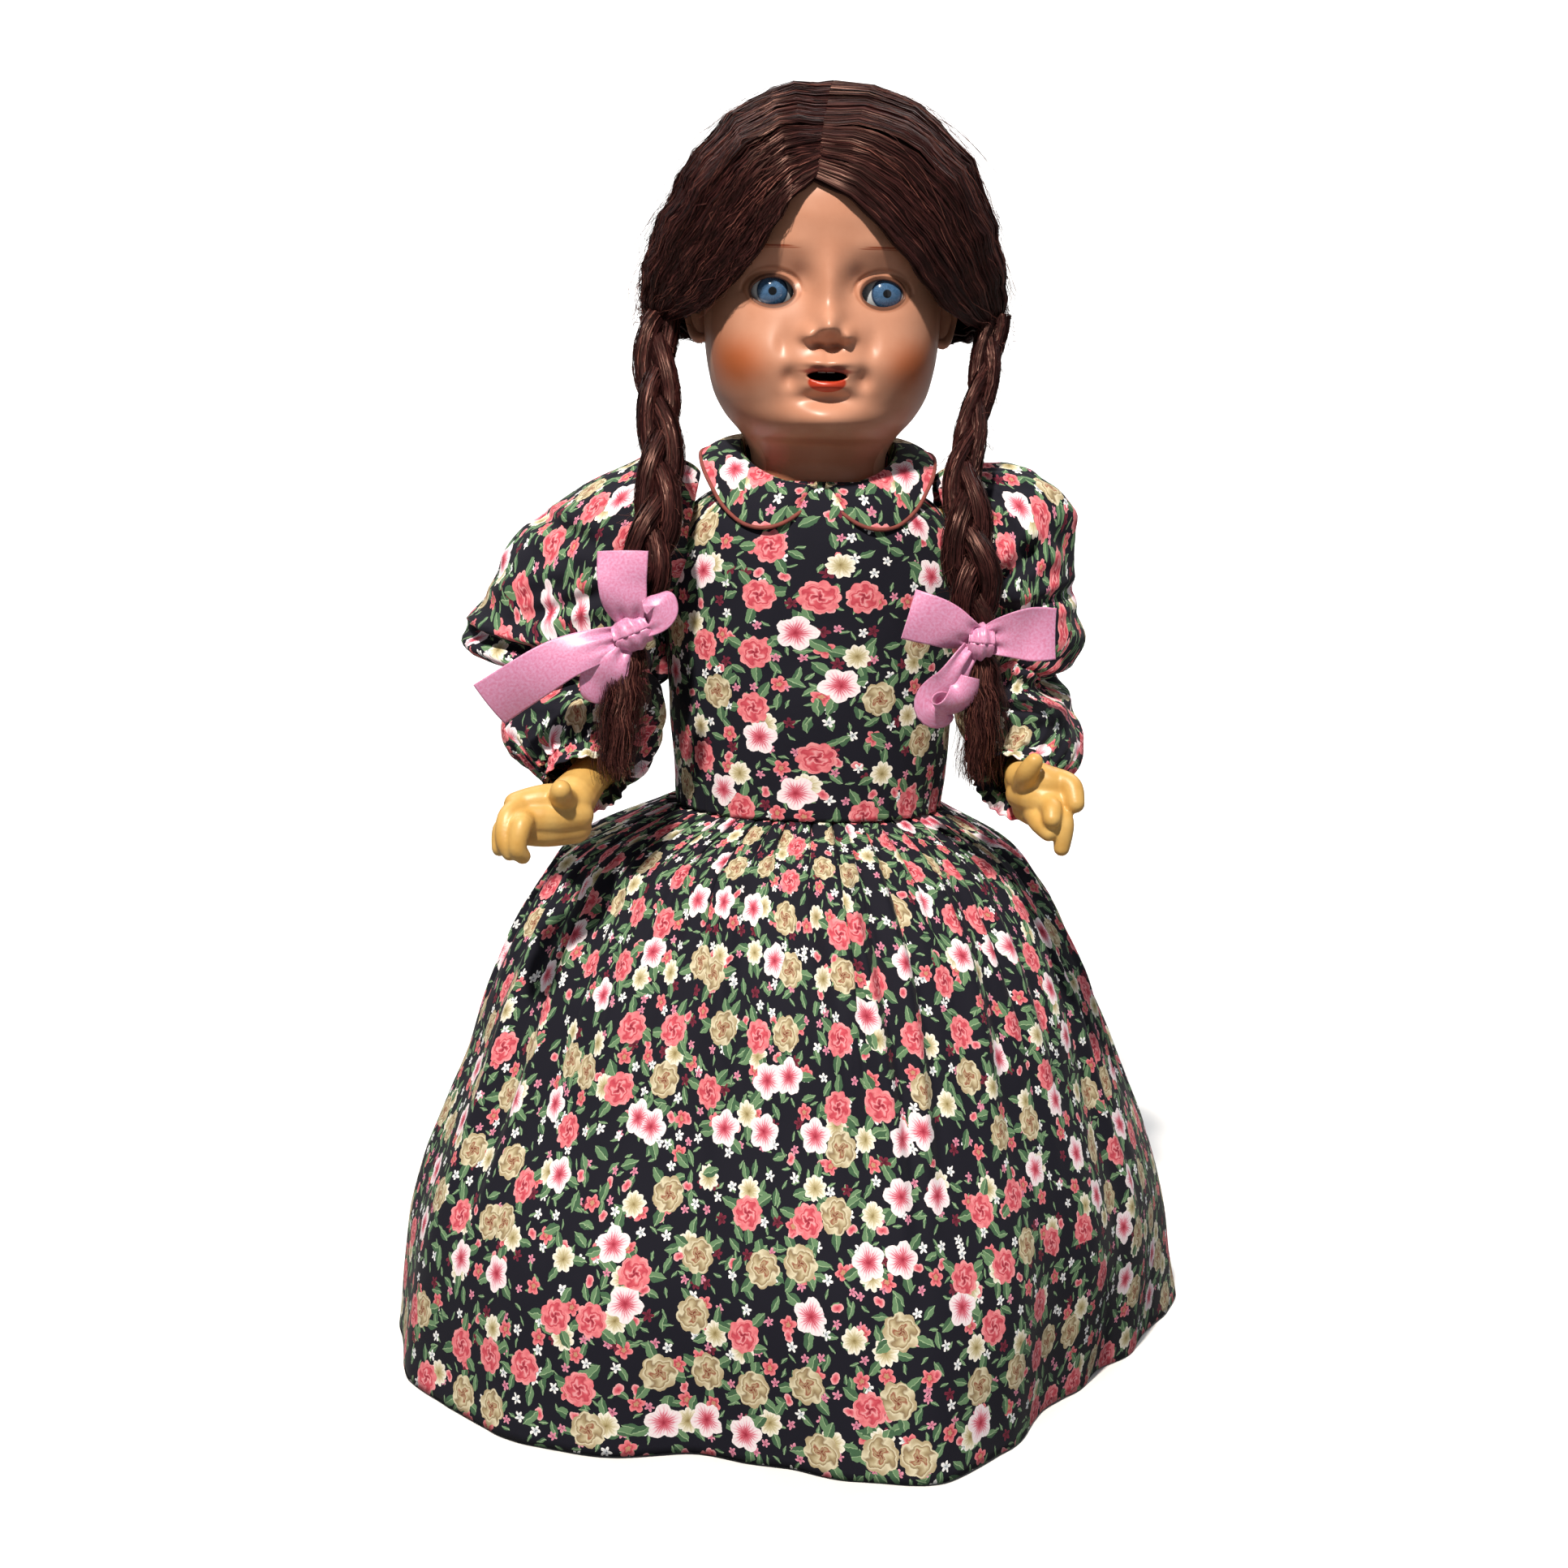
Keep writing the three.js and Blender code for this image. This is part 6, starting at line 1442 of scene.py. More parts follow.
@dataclass
class Collar:
    """One half of the round collar and the piping along its edge."""

    side: int
    # Angle from the front, outer reach across, outer height, height of the roll.
    rows: Sequence = (
        (3, 33.5, 355.5, 362.8), (14, 41, 350.5, 363.3), (25, 46, 346.5, 364), (38, 47.5, 346.5, 366),
        (52, 48, 352, 368.5), (68, 48.2, 362, 372), (88, 48.2, 371, 376), (110, 48, 373.5, 379),
        (135, 47, 371, 380), (158, 46, 368.5, 380), (177, 44, 367.5, 380),
    )
    neck_radius: float = 30.6
    depth_share: float = 0.9
    first_angle: float = 3.0
    last_angle: float = 177.0
    corner: float = 17.0
    cloth_thickness: float = 0.9
    piping_radius: float = 0.85

    def point(self, turn: Array, share: Array) -> Array:
        """Points on the collar: share runs from under the roll to the outer edge."""
        angle = self.first_angle + turn * (self.last_angle - self.first_angle)
        reach, drop, roll = smooth_rows(self.rows, angle).T
        reach, drop, roll = reach.T, drop.T, roll.T
        front = np.clip((self.first_angle + self.corner - angle) / self.corner, 0, 1)
        back = np.clip((angle - self.last_angle + 8) / 8, 0, 1)
        trim = 1 - np.sqrt(np.clip(1 - np.maximum(front, back) ** 2, 0, 1))
        inner = self.neck_radius + 0.6
        reach = reach + (inner + 2.5 - reach) * trim
        drop = drop + (roll - 3 - drop) * trim
        # Under the roll, over it, then out and down to the edge.
        stand = np.clip(share / 0.16, 0, 1)
        fall = np.clip((share - 0.16) / 0.84, 0, 1)
        radius = inner - 0.4 + 1.2 * stand**2
        height = roll - (roll - 360.5) * (1 - stand) ** 1.4
        bow = 4 * fall * (1 - fall)
        radius = radius + (reach - inner - 0.8) * fall + 0.5 * bow
        height = height + (drop - roll) * fall**1.35 + 1.5 * bow
        turned = np.radians(angle)
        x = self.side * radius * np.sin(turned)
        y = -radius * (1 - (1 - self.depth_share) * fall) * np.cos(turned)
        points = np.stack([x, y, height], -1)
        points[..., 2] += 0.25 * fall * wrinkle(points, 22, 2.0)
        return points

    def build(self) -> tuple[bpy.types.Object, bpy.types.Object]:
        """The collar half and its piping."""
        side = side_name(self.side)
        sheet = woven(f"collar_half_{side}", (150, 30), COLLAR_CUT, self.point)
        turned_outwards(sheet, up=True)
        finish_with(sheet, "SOLIDIFY", thickness=self.cloth_thickness * MM, offset=-1)
        steps = np.linspace(0, 1, 160)
        edge = self.point(steps, np.ones_like(steps))
        cord = strands(
            f"collar_cord_{side}", edge[None], np.full((1, len(edge)), self.piping_radius), np.zeros(1), 8
        )
        return sheet, cord


# Hair and ribbons

@dataclass
class HairSide:
    """Half of the wig, from the parting to the root of its plait: a base and the strands laid on it."""

    side: int
    # Seven lines from the parting to the plait, from the forehead round to the nape.
    guides: Sequence = (
        (
            (-2, -46, 482), (12, -50, 474), (24, -49, 461), (36, -44, 447),
            (48, -33, 434), (58, -20, 428), (66, -8, 427),
        ),
        (
            (0, -31, 503), (21, -39, 501), (43, -38, 486), (60, -30, 465),
            (70, -19, 447), (73, -10, 434), (69, -6, 426),
        ),
        (
            (0, -4, 519), (26, -6, 515), (51, -6, 496), (68, -5, 470),
            (76, -3, 449), (76, -3, 435), (70, -4, 425),
        ),
        (
            (0, 26, 517), (28, 27, 511), (53, 24, 490), (70, 18, 463),
            (76, 10, 444), (75, 3, 431), (70, -2, 423),
        ),
        (
            (0, 54, 498), (28, 52, 490), (50, 43, 470), (66, 31, 448),
            (73, 18, 432), (73, 8, 425), (69, 0, 421),
        ),
        (
            (0, 67, 462), (26, 64, 453), (46, 54, 440), (61, 40, 430),
            (69, 24, 424), (70, 11, 422), (67, 2, 421),
        ),
        (
            (0, 60, 412), (19, 58, 413), (36, 50, 415), (51, 38, 418),
            (61, 24, 421), (66, 11, 423), (66, 3, 423),
        ),
    )
    # Height, how wide the wig is there beside the lines above, and how far it sits to the side.
    lean: Sequence = (
        (400, 1, 0.5), (425, 0.975, 0.6), (437, 0.945, 0.8), (467, 0.94, 1.6), (488, 0.97, 3.2),
        (520, 1, 3.0),
    )
    parting_x: float = -7.5
    strand_count: int = 9000
    steps: int = 20
    radius: float = 0.17
    frizz: float = 0.25
    seed: int = 3

    def surface(self, share: Array, down: Array) -> Array:
        """Points on the combed surface: share from forehead to nape, down from parting to plait."""
        table = np.asarray(self.guides, float) * (self.side, 1, 1)
        lines = along(np.moveaxis(table, 1, 0), down.ravel())
        rows = np.empty((down.size, 3))
        place = np.clip(share.ravel(), 0, 1) * (len(self.guides) - 1)
        low = np.minimum(place.astype(int), len(self.guides) - 2)
        u = (place - low)[:, None]
        index = np.arange(down.size)
        last = len(self.guides) - 1
        before, here = lines[index, np.maximum(low - 1, 0)], lines[index, low]
        there, after = lines[index, low + 1], lines[index, np.minimum(low + 2, last)]
        bend = 2 * before - 5 * here + 4 * there - after
        turn = 3 * here - before - 3 * there + after
        rows = (2 * here + (there - before) * u + bend * u**2 + turn * u**3) / 2
        wide, aside = smooth_rows(self.lean, rows[:, 2]).T
        near_parting = np.clip(1 - down.ravel() / 0.45, 0, 1) * np.clip(1 - place / 2.4, 0, 1)
        rows[:, 0] = rows[:, 0] * wide + aside + (self.parting_x - aside) * near_parting
        return rows.reshape(*down.shape, 3)

    def normal(self, share: Array, down: Array) -> Array:
        """Outward directions on the combed surface."""
        step = 0.02
        after, before = np.clip(share + step, 0, 1), np.clip(share - step, 0, 1)
        across = self.surface(after, down) - self.surface(before, down)
        after, before = np.clip(down + step, 0, 1), np.clip(down - step, 0, 1)
        onward = self.surface(share, after) - self.surface(share, before)
        return unit(np.cross(onward, across)) * self.side

    def crimp(self, share: Array, down: Array) -> Array:
        """Waves that the old plaits left, from -1 to 1, in step across the strands."""
        length = 118 * down
        return np.sin(2 * np.pi * (length / 17 + 0.6 * np.sin(5 * share) + 0.1 * self.side))

    def build(self) -> tuple[bpy.types.Object, bpy.types.Object]:
        """The base with the front's strands, and the strands behind."""
        side = side_name(self.side)
        base = woven(
            f"hair_base_{side}", (70, 70), (1, 1),
            lambda u, v: self.surface(u, v) - self.normal(u, v) * (1.2 - 0.8 * self.crimp(u, v))[..., None],
        )
        turned_outwards(base)
        finish_with(base, "SOLIDIFY", thickness=1.0 * MM, offset=-1)
        # The base takes a darker tone than the strands: painted shade in the depth of the hair below them.
        shaded(base, np.full(len(base.data.vertices), 0.12))
        front = joined([base, self.laid(0.0, 0.45)], f"hair_front_{side}")
        back = joined([self.laid(0.42, 1.0), self.flyaway()], f"hair_back_{side}")
        return front, back

    def laid(self, start: float, end: float) -> bpy.types.Object:
        """Strands combed from the parting to the plait, between two shares of the way to the nape."""
        random = np.random.default_rng(self.seed + self.side + round(100 * start))
        count, steps = self.strand_count // 2, self.steps
        first = random.uniform(start, end, count)
        down = np.linspace(0, 1, steps)[None, :] * np.ones((count, 1))
        lock = np.floor(first * 46)
        drift = 0.01 * np.sin(3 * down + 1.9 * lock[:, None]) + random.normal(0, 0.014, (count, 1)) * down
        share = np.clip(first[:, None] + drift * np.sin(np.pi * np.clip(down, 0, 1)), 0, 1)
        path = self.surface(share, down)
        out = self.normal(share, down)
        lift = random.uniform(-0.6, 1.5, (count, 1)) + 0.35 * np.sin(2.7 * lock[:, None] + 3.2 * down)
        lift = lift + 1.0 * self.crimp(share, down) * np.sin(np.pi * np.clip(down * 1.15, 0, 1)) ** 0.5
        loose = self.frizz * random.gamma(1.4, 0.5, (count, 1))
        wander = random.normal(0, 1, (count, steps, 3)) * loose[..., None]
        path = path + out * lift[..., None] + wander * np.sin(np.pi * down)[..., None]
        radii = self.radius * random.uniform(0.7, 1.15, (count, 1)) * np.ones((1, steps))
        shade = np.clip(0.45 + 0.1 * np.sin(5.1 * lock) + random.normal(0, 0.22, count), 0, 1)
        facing = unit(out + random.normal(0, 0.45, (count, 1, 3)))
        return strips(f"hair_laid_{side_name(self.side)}", path, radii, facing, shade)

    def flyaway(self) -> bpy.types.Object:
        """Fine loose hairs that stand off the rest."""
        random = np.random.default_rng(self.seed + 20 + self.side)
        count, steps = 170, 14
        first = random.uniform(0, 1, (count, 1))
        start = random.uniform(0, 0.75, (count, 1))
        down = np.clip(start + np.linspace(0, 0.3, steps)[None, :], 0, 1)
        share = np.clip(first + 0.04 * np.sin(6 * down + 9 * first), 0, 1)
        path, out = self.surface(share, down), self.normal(share, down)
        rise = np.linspace(0, 1, steps)[None, :] ** 1.5 * random.uniform(1.0, 6.0, (count, 1))
        curl = np.cumsum(random.normal(0, 0.5, (count, steps, 3)), axis=1)
        path = path + out * (1.0 + rise)[..., None] + curl
        radii = np.full((count, steps), 0.09)
        return strands(f"hair_loose_{side_name(self.side)}", path, radii, random.uniform(0.5, 1, count))


@dataclass
class Plait:
    """One three-strand plait, from behind the ear to the bow, with the loose tuft below it."""

    side: int
    course: Sequence
    girth: Sequence
    tuft: Sequence
    bow_share: float = 2 / 3
    period: float = 104.0
    flatness: float = 0.74
    strands_each: int = 170
    steps: int = 66
    seed: int = 5

    def bundle(self, which: int, down: Array) -> tuple[Array, Array, Array]:
        """Middle of a bundle, its half width and its phase at shares of the plait."""
        length = 175.0
        middle = along(self.course, down * self.bow_share)
        half = smooth_rows(self.girth, down)[..., 0]
        phase = 2 * np.pi * (which / 3 + down * length / self.period)
        ahead = unit(np.gradient(middle, axis=0))
        across = unit(np.cross(ahead, np.array([0.0, 1.0, 0.0]))) * -1
        front = np.cross(ahead, across)
        front = front * np.sign(-front[:, 1:2])
        close = half * 0.52
        place = middle + across * (close * np.sin(phase))[:, None]
        place = place + front * (self.flatness * 0.62 * close * np.sin(2 * phase))[:, None]
        return place, half * 0.5, phase

    def build(self) -> bpy.types.Object:
        """The plait and its tuft as one piece."""
        side = side_name(self.side)
        random = np.random.default_rng(self.seed + self.side)
        pieces = []
        down = np.linspace(0, 1, self.steps)
        for which in range(3):
            middle, half, _ = self.bundle(which, down)
            ends = np.clip(np.minimum(down, 1 - down) / 0.03, 0.25, 1)
            # Each bundle's core is a dark tube: painted shade inside the plait under its strands.
            pieces.append(
                strands(f"plait_core_{which}", middle[None], (half * 0.86 * ends)[None], np.array([0.1]), 14)
            )
            ahead = unit(np.gradient(middle, axis=0))
            one = unit(np.cross(ahead, np.array([0.0, 1.0, 0.0])))
            two = np.cross(ahead, one)
            count = self.strands_each
            turn = 2 * np.pi * (np.arange(count) + random.uniform(-0.4, 0.4, count)) / count
            twist = turn[:, None] + 1.3 * down[None, :] + random.normal(0, 0.08, (count, 1))
            lift = half[None, :] * (0.9 + random.uniform(-0.05, 0.13, (count, 1)))
            lift = lift * (1 + 0.06 * np.sin(5 * twist))
            path = middle[None] + lift[..., None] * (
                np.cos(twist)[..., None] * one[None] + np.sin(twist)[..., None] * two[None]
            )
            path = path + 0.16 * random.normal(0, 1, path.shape)
            radii = 0.24 * random.uniform(0.7, 1.15, (count, 1)) * np.ones_like(path[..., 0])
            shade = np.clip(random.normal(0.45, 0.19, count), 0, 1)
            facing = unit(unit(path - middle[None]) + random.normal(0, 0.3, (count, 1, 3)))
            pieces.append(strips(f"plait_strands_{which}", path, radii, facing, shade))
        pieces.append(self.loose())
        pieces.append(self.fuzz())
        return joined(pieces, f"hair_plait_{side}")

    def loose(self) -> bpy.types.Object:
        """The tuft under the bow: it spreads, waves and thins out to its tips."""
        random = np.random.default_rng(self.seed + 40 + self.side)
        count, steps = 1100, 22
        down = np.linspace(0, 1, steps)
        middle = along(self.tuft, down)
        reach = random.uniform(0, 1, (count, 1)) ** 0.6
        turn = random.uniform(0, 2 * np.pi, (count, 1))
        end = 1 - 0.45 * random.uniform(0, 1, (count, 1)) ** 2
        here = down[None, :] * end
        middle = along(self.tuft, here)
        spread = 3.6 + 8.0 * np.sin(np.pi * np.clip(here * 0.62 + 0.06, 0, 1)) ** 1.1 - 2.5 * here
        wave = 0.35 * np.sin(2 * np.pi * (here * 4.2 + random.uniform(0, 0.25, (count, 1))))
        offset = np.stack(
            [
                spread * reach * np.cos(turn + 0.8 * here) + 1.6 * wave,
                0.62 * spread * reach * np.sin(turn + 0.8 * here),
                np.zeros_like(here),
            ],
            -1,
        )
        curl = np.cumsum(random.normal(0, 0.34, (count, steps, 3)), axis=1) * (0.4 + here[..., None])
        radii = 0.2 * random.uniform(0.6, 1.1, (count, 1)) * (1.05 - 0.6 * down[None, :])
        shade = np.clip(random.normal(0.58, 0.22, count), 0, 1)
        facing = unit(offset + (0, -0.5, 0) + random.normal(0, 0.6, (count, 1, 3)))
        return strips("plait_tuft", middle + offset + curl, radii, facing, shade)

    def fuzz(self) -> bpy.types.Object:
        """Short hairs that escape from the plait."""
        random = np.random.default_rng(self.seed + 60 + self.side)
        count, steps = 260, 8
        start = random.uniform(0, 0.97, count)
        middle = along(self.course, start * self.bow_share)
        half = smooth_rows(self.girth, start)[:, 0]
        turn = random.uniform(0, 2 * np.pi, count)
        out = np.stack([np.cos(turn), -0.7 * np.sin(turn), np.zeros(count)], -1)
        share = np.linspace(0, 1, steps)[None, :, None]
        way = unit(out + random.normal(0, 0.5, (count, 3)) + (0, 0, -0.9))
        path = middle[:, None] + out[:, None] * half[:, None, None] * 0.8
        path = path + way[:, None] * share * random.uniform(3, 9, (count, 1, 1))
        path = path + np.cumsum(random.normal(0, 0.35, (count, steps, 3)), axis=1)
        return strands("plait_fuzz", path, np.full((count, steps), 0.08), random.uniform(0.5, 1, count))


PLAIT_GIRTH = (
    (0, 8.4), (0.1, 8.8), (0.3, 9.0), (0.5, 9.4), (0.7, 10.0), (0.86, 9.6), (0.95, 7.4), (1.0, 5.2),
)
PLAITS = (
    Plait(
        1,
        ((69, -6, 431), (66, -16, 412), (61, -27, 391), (56, -40, 371), (57, -52, 350), (59, -59, 328),
         (62, -62, 306), (63, -63, 290), (64, -63, 270), (63, -61, 249)),
        ((0, 7.4), (0.15, 6.6), (0.35, 6.4), (0.5, 7.6), (0.7, 10.6), (0.84, 11.4), (0.94, 8.4), (1.0, 5.2)),
        ((62, -62, 306), (63, -65, 292), (64, -66, 274), (63, -63, 250)),
    ),
    Plait(
        -1,
        ((-66, -6, 428), (-67, -17, 408), (-65, -29, 388), (-64, -42, 367), (-66, -53, 346), (-70, -60, 326),
         (-74, -64, 307), (-76, -67, 290), (-77, -71, 272), (-78, -76, 255)),
        PLAIT_GIRTH,
        ((-74, -64, 307), (-76, -68, 292), (-78, -73, 274), (-80, -77, 252)),
    ),
)


@dataclass(frozen=True)
class Run:
    """One stretch of ribbon in a bow: where it goes from the knot, how wide it is, and how it turns over."""

    course: Sequence
    widths: Sequence
    twists: Sequence
    curl: float = 0.0
    cloth_length: float = 40.0


@dataclass
class Bow:
    """A satin ribbon tied round the end of a plait."""

    side: int
    knot: tuple[float, float, float]
    runs: tuple[Run, ...]
    knot_width: float = 10.5
    knot_radii: tuple[float, float] = (8.2, 6.4)
    knot_length: float = 38.0
    knot_lean: float = 0.0
    thickness: float = 0.28

    def stretch(self, name: str, run: Run) -> bpy.types.Object:
        """One stretch, pleated where the knot grips it."""

        def place(across: Array, share: Array) -> Array:
            middle = along(run.course, share)
            step = 0.004
            after, before = np.clip(share + step, 0, 1), np.clip(share - step, 0, 1)
            ahead = unit(along(run.course, after) - along(run.course, before))
            last = len(run.widths) - 1
            width = smooth_rows([(k / last, w) for k, w in enumerate(run.widths)], share)[..., 0]
            last = len(run.twists) - 1
            twist = smooth_rows([(k / last, t) for k, t in enumerate(run.twists)], share)[..., 0]
            flat = unit(np.cross(ahead, np.array([0.0, -1.0, 0.0])))
            over = np.cross(flat, ahead)
            turned = np.radians(twist)[..., None]
            wide = flat * np.cos(turned) + over * np.sin(turned)
            normal = np.cross(ahead, wide)
            side = across - 0.5
            pleat = np.exp(-((share / 0.22) ** 2))
            rise = 1.1 * pleat * np.cos(2 * np.pi * 2.5 * across) + run.curl * (4 * side**2 - 0.5)
            rise = rise + 0.5 * np.sin(2 * np.pi * (share * 1.6 + across * 0.4))
            return np.array(self.knot) + middle + wide * (side * width)[..., None] + normal * rise[..., None]

        return woven(name, (28, 64), (20, run.cloth_length), place)

    def band(self, name: str) -> bpy.types.Object:
        """The knot itself: the ribbon drawn once round the rest."""
        deep, tall = self.knot_radii

        def place(across: Array, share: Array) -> Array:
            angle = 2 * np.pi * share
            side = across - 0.5
            puff = 1 + 0.16 * np.cos(2 * np.pi * side) + 0.05 * np.cos(2 * np.pi * 3 * across + 1.5 * angle)
            y = -deep * 0.75 * np.cos(angle) * puff
            z = tall * np.sin(angle) * puff
            x = side * self.knot_width * (1 - 0.12 * np.sin(angle) ** 2)
            lean = math.radians(self.knot_lean)
            tipped = (x * math.cos(lean) - z * math.sin(lean), y, x * math.sin(lean) + z * math.cos(lean))
            points = np.stack(tipped, -1)
            return np.array(self.knot) + points + (0, 1.5, 0)

        return woven(name, (26, 48), (20, self.knot_length), place)

    def build(self) -> bpy.types.Object:
        """All stretches and the knot as one piece."""
        side = side_name(self.side)
        sheets = [self.stretch(f"bow_{side}_{k}", run) for k, run in enumerate(self.runs)]
        sheets.append(self.band(f"bow_{side}_knot"))
        bow = joined(sheets, f"ribbon_bow_{side}")
        return finish_with(bow, "SOLIDIFY", thickness=self.thickness * MM, offset=0)


BOWS = (
    Bow(
        1, (62, -68.6, 306),
        (
            Run(
                ((-2, 0, 1), (-9, -3, 4), (-18, -5, 8), (-29, -4, 11)),
                (10, 16, 19, 20), (10, 15, 5, -10), 1.0, 30,
            ),
            Run(
                ((2, 0, 1), (10, -3, 3), (19, -4, 4), (29, -1, 4)),
                (10, 17, 21, 20), (-15, -5, 0, 5), -1.2, 28,
            ),
            Run(
                (
                    (-3, 0, -3), (-7, -3, -9), (-11, -3, -17), (-17, -1, -25), (-14, -6, -27), (-7, -5, -21),
                    (-5, -4, -13),
                ),
                (9, 14, 17, 17, 16, 13, 9), (20, 30, 15, -10, -60, -30, 10), 2.4, 48,
            ),
        ),
        knot_lean=-4.0,
    ),
    Bow(
        -1, (-74, -70.4, 307),
        (
            Run(
                ((-1, 0, 3), (-3, -4, 12), (-4, -5, 22), (-4, -2, 32)),
                (10, 17, 19, 20), (10, 5, 0, 10), 1.2, 32,
            ),
            Run(
                ((-4, 0, -2), (-14, -4, -5), (-27, -6, -10), (-41, -5, -19), (-55, -1, -29)),
                (9, 14, 17, 19, 20), (-10, -20, -10, 5, 10), 0.9, 60,
            ),
            Run(
                ((-3, 0, -4), (-8, -4, -12), (-12, -3, -21), (-14, -1, -27)),
                (10, 18, 17, 8), (0, 10, 15, 20), 1.5, 27,
            ),
            Run(
                ((3, 0, 2), (9, -4, 7), (11, -5, 12), (7, -2, 14)),
                (8, 13, 14, 10), (25, 15, -20, -70), 1.2, 20,
            ),
        ),
        knot_width=15.0, knot_lean=24.0,
    ),
)


@dataclass(frozen=True)
class SatinFinish:
    """Double-face polyester satin: long floats that shine across the ribbon, with a pale selvedge."""

    name: str = "pink satin ribbon"
    body: str = "#d884ac"
    light: str = "#e0a4cb"

    def material(self) -> bpy.types.Material:
        """Builds the satin on the ribbon's own cloth map."""
        material, tree, shader = new_material(self.name)
        cloth = add_node(tree, "UVMap", uv_map=CLOTH_MAP)
        parts = add_node(tree, "SeparateXYZ", {0: cloth})
        fine = add_node(tree, "TexNoise", {"Vector": cloth, "Scale": 1.0, "Detail": 3.0})
        ribs = add_node(tree, "Math", {0: parts.outputs["Y"], 1: 2 * math.pi / 0.5}, operation="MULTIPLY")
        ribs = add_node(tree, "Math", {0: ribs}, operation="SINE")
        ramp = set_stops(add_node(tree, "ValToRGB", {"Fac": fine}), [(0.35, self.body), (0.65, self.light)])
        gloss = add_node(tree, "MapRange", {"Value": fine, "To Min": 0.3, "To Max": 0.42})
        bump = add_node(tree, "Bump", {"Height": ribs, "Strength": 0.12, "Distance": 0.05 * MM})
        tree.links.new(ramp.outputs[0], shader.inputs["Base Color"])
        tree.links.new(gloss.outputs[0], shader.inputs["Roughness"])
        tree.links.new(bump.outputs[0], shader.inputs["Normal"])
        set_shader(shader, Sheen_Weight=0.3, Sheen_Roughness=0.3, Specular_IOR_Level=0.6)
        return material


# Hands, limbs and eyes

@dataclass
class Hand:
    """A moulded hand: rounded rods for wrist, palm, thumb and curled fingers, melted into one skin."""

    side: int
    rods: tuple[tuple[Sequence, Sequence], ...]
    voxel: float = 0.75
    rounds: int = 4

    def build(self) -> bpy.types.Object:
        """The hand as one piece."""
        pieces = [rod(f"hand_rod_{k}", course, radii) for k, (course, radii) in enumerate(self.rods)]
        return melted(pieces, f"moulded_hand_{side_name(self.side)}", self.voxel, self.rounds)


HANDS = (
    Hand(
        1,
        (
            (((84, -48, 252), (83, -60, 250), (84, -70, 248)), (7.6, 8.4, 9.5)),
            (((79, -74, 254), (86, -82, 254), (93, -84, 252)), (6.0, 7.0, 5.6)),
            (((80, -74, 247), (86, -83, 247), (93, -86, 246)), (6.5, 7.6, 6.0)),
            (((82, -73, 241), (87, -82, 241), (92, -85, 240)), (5.5, 6.4, 5.0)),
            (((80, -80, 252), (80, -88, 258), (82, -91, 263)), (5.2, 4.4, 3.5)),
            (((90, -82, 255), (97, -87, 253), (98.5, -92, 247)), (4.8, 4.5, 3.7)),
            (((88, -86, 246), (89, -94, 245), (88.7, -98, 242)), (5.0, 4.2, 3.6)),
            (((90, -84, 242), (94, -93, 240), (93.5, -95, 230)), (4.6, 4.2, 3.2)),
            (((84, -82, 241), (85, -92, 239), (88, -96, 236)), (4.6, 4.0, 3.3)),
        ),
    ),
    Hand(
        -1,
        (
            (((-88, -50, 250), (-92, -61, 246), (-96, -71, 242)), (7.6, 8.4, 9.6)),
            (((-95, -75, 241), (-106, -81, 242), (-117, -84, 241)), (7.0, 7.0, 5.4)),
            (((-95, -77, 236), (-106, -84, 236), (-117, -88, 236)), (7.4, 7.4, 5.4)),
            (((-95, -76, 231), (-106, -83, 231), (-115, -87, 231)), (6.6, 6.6, 5.0)),
            (((-98, -80, 242), (-100, -88, 246), (-100, -91, 248.5)), (5.0, 4.6, 4.2)),
            (((-115, -85, 241), (-120, -92, 238), (-121, -97, 230), (-119, -98, 225)), (4.8, 4.2, 3.6, 3.0)),
            (
                ((-114, -89, 236), (-114.5, -97, 236), (-116, -100, 228), (-114, -98, 224)),
                (4.8, 4.2, 3.8, 3.2),
            ),
            (((-116, -84, 235), (-122, -89, 233), (-123, -94, 226)), (4.4, 4.0, 3.2)),
        ),
    ),
)


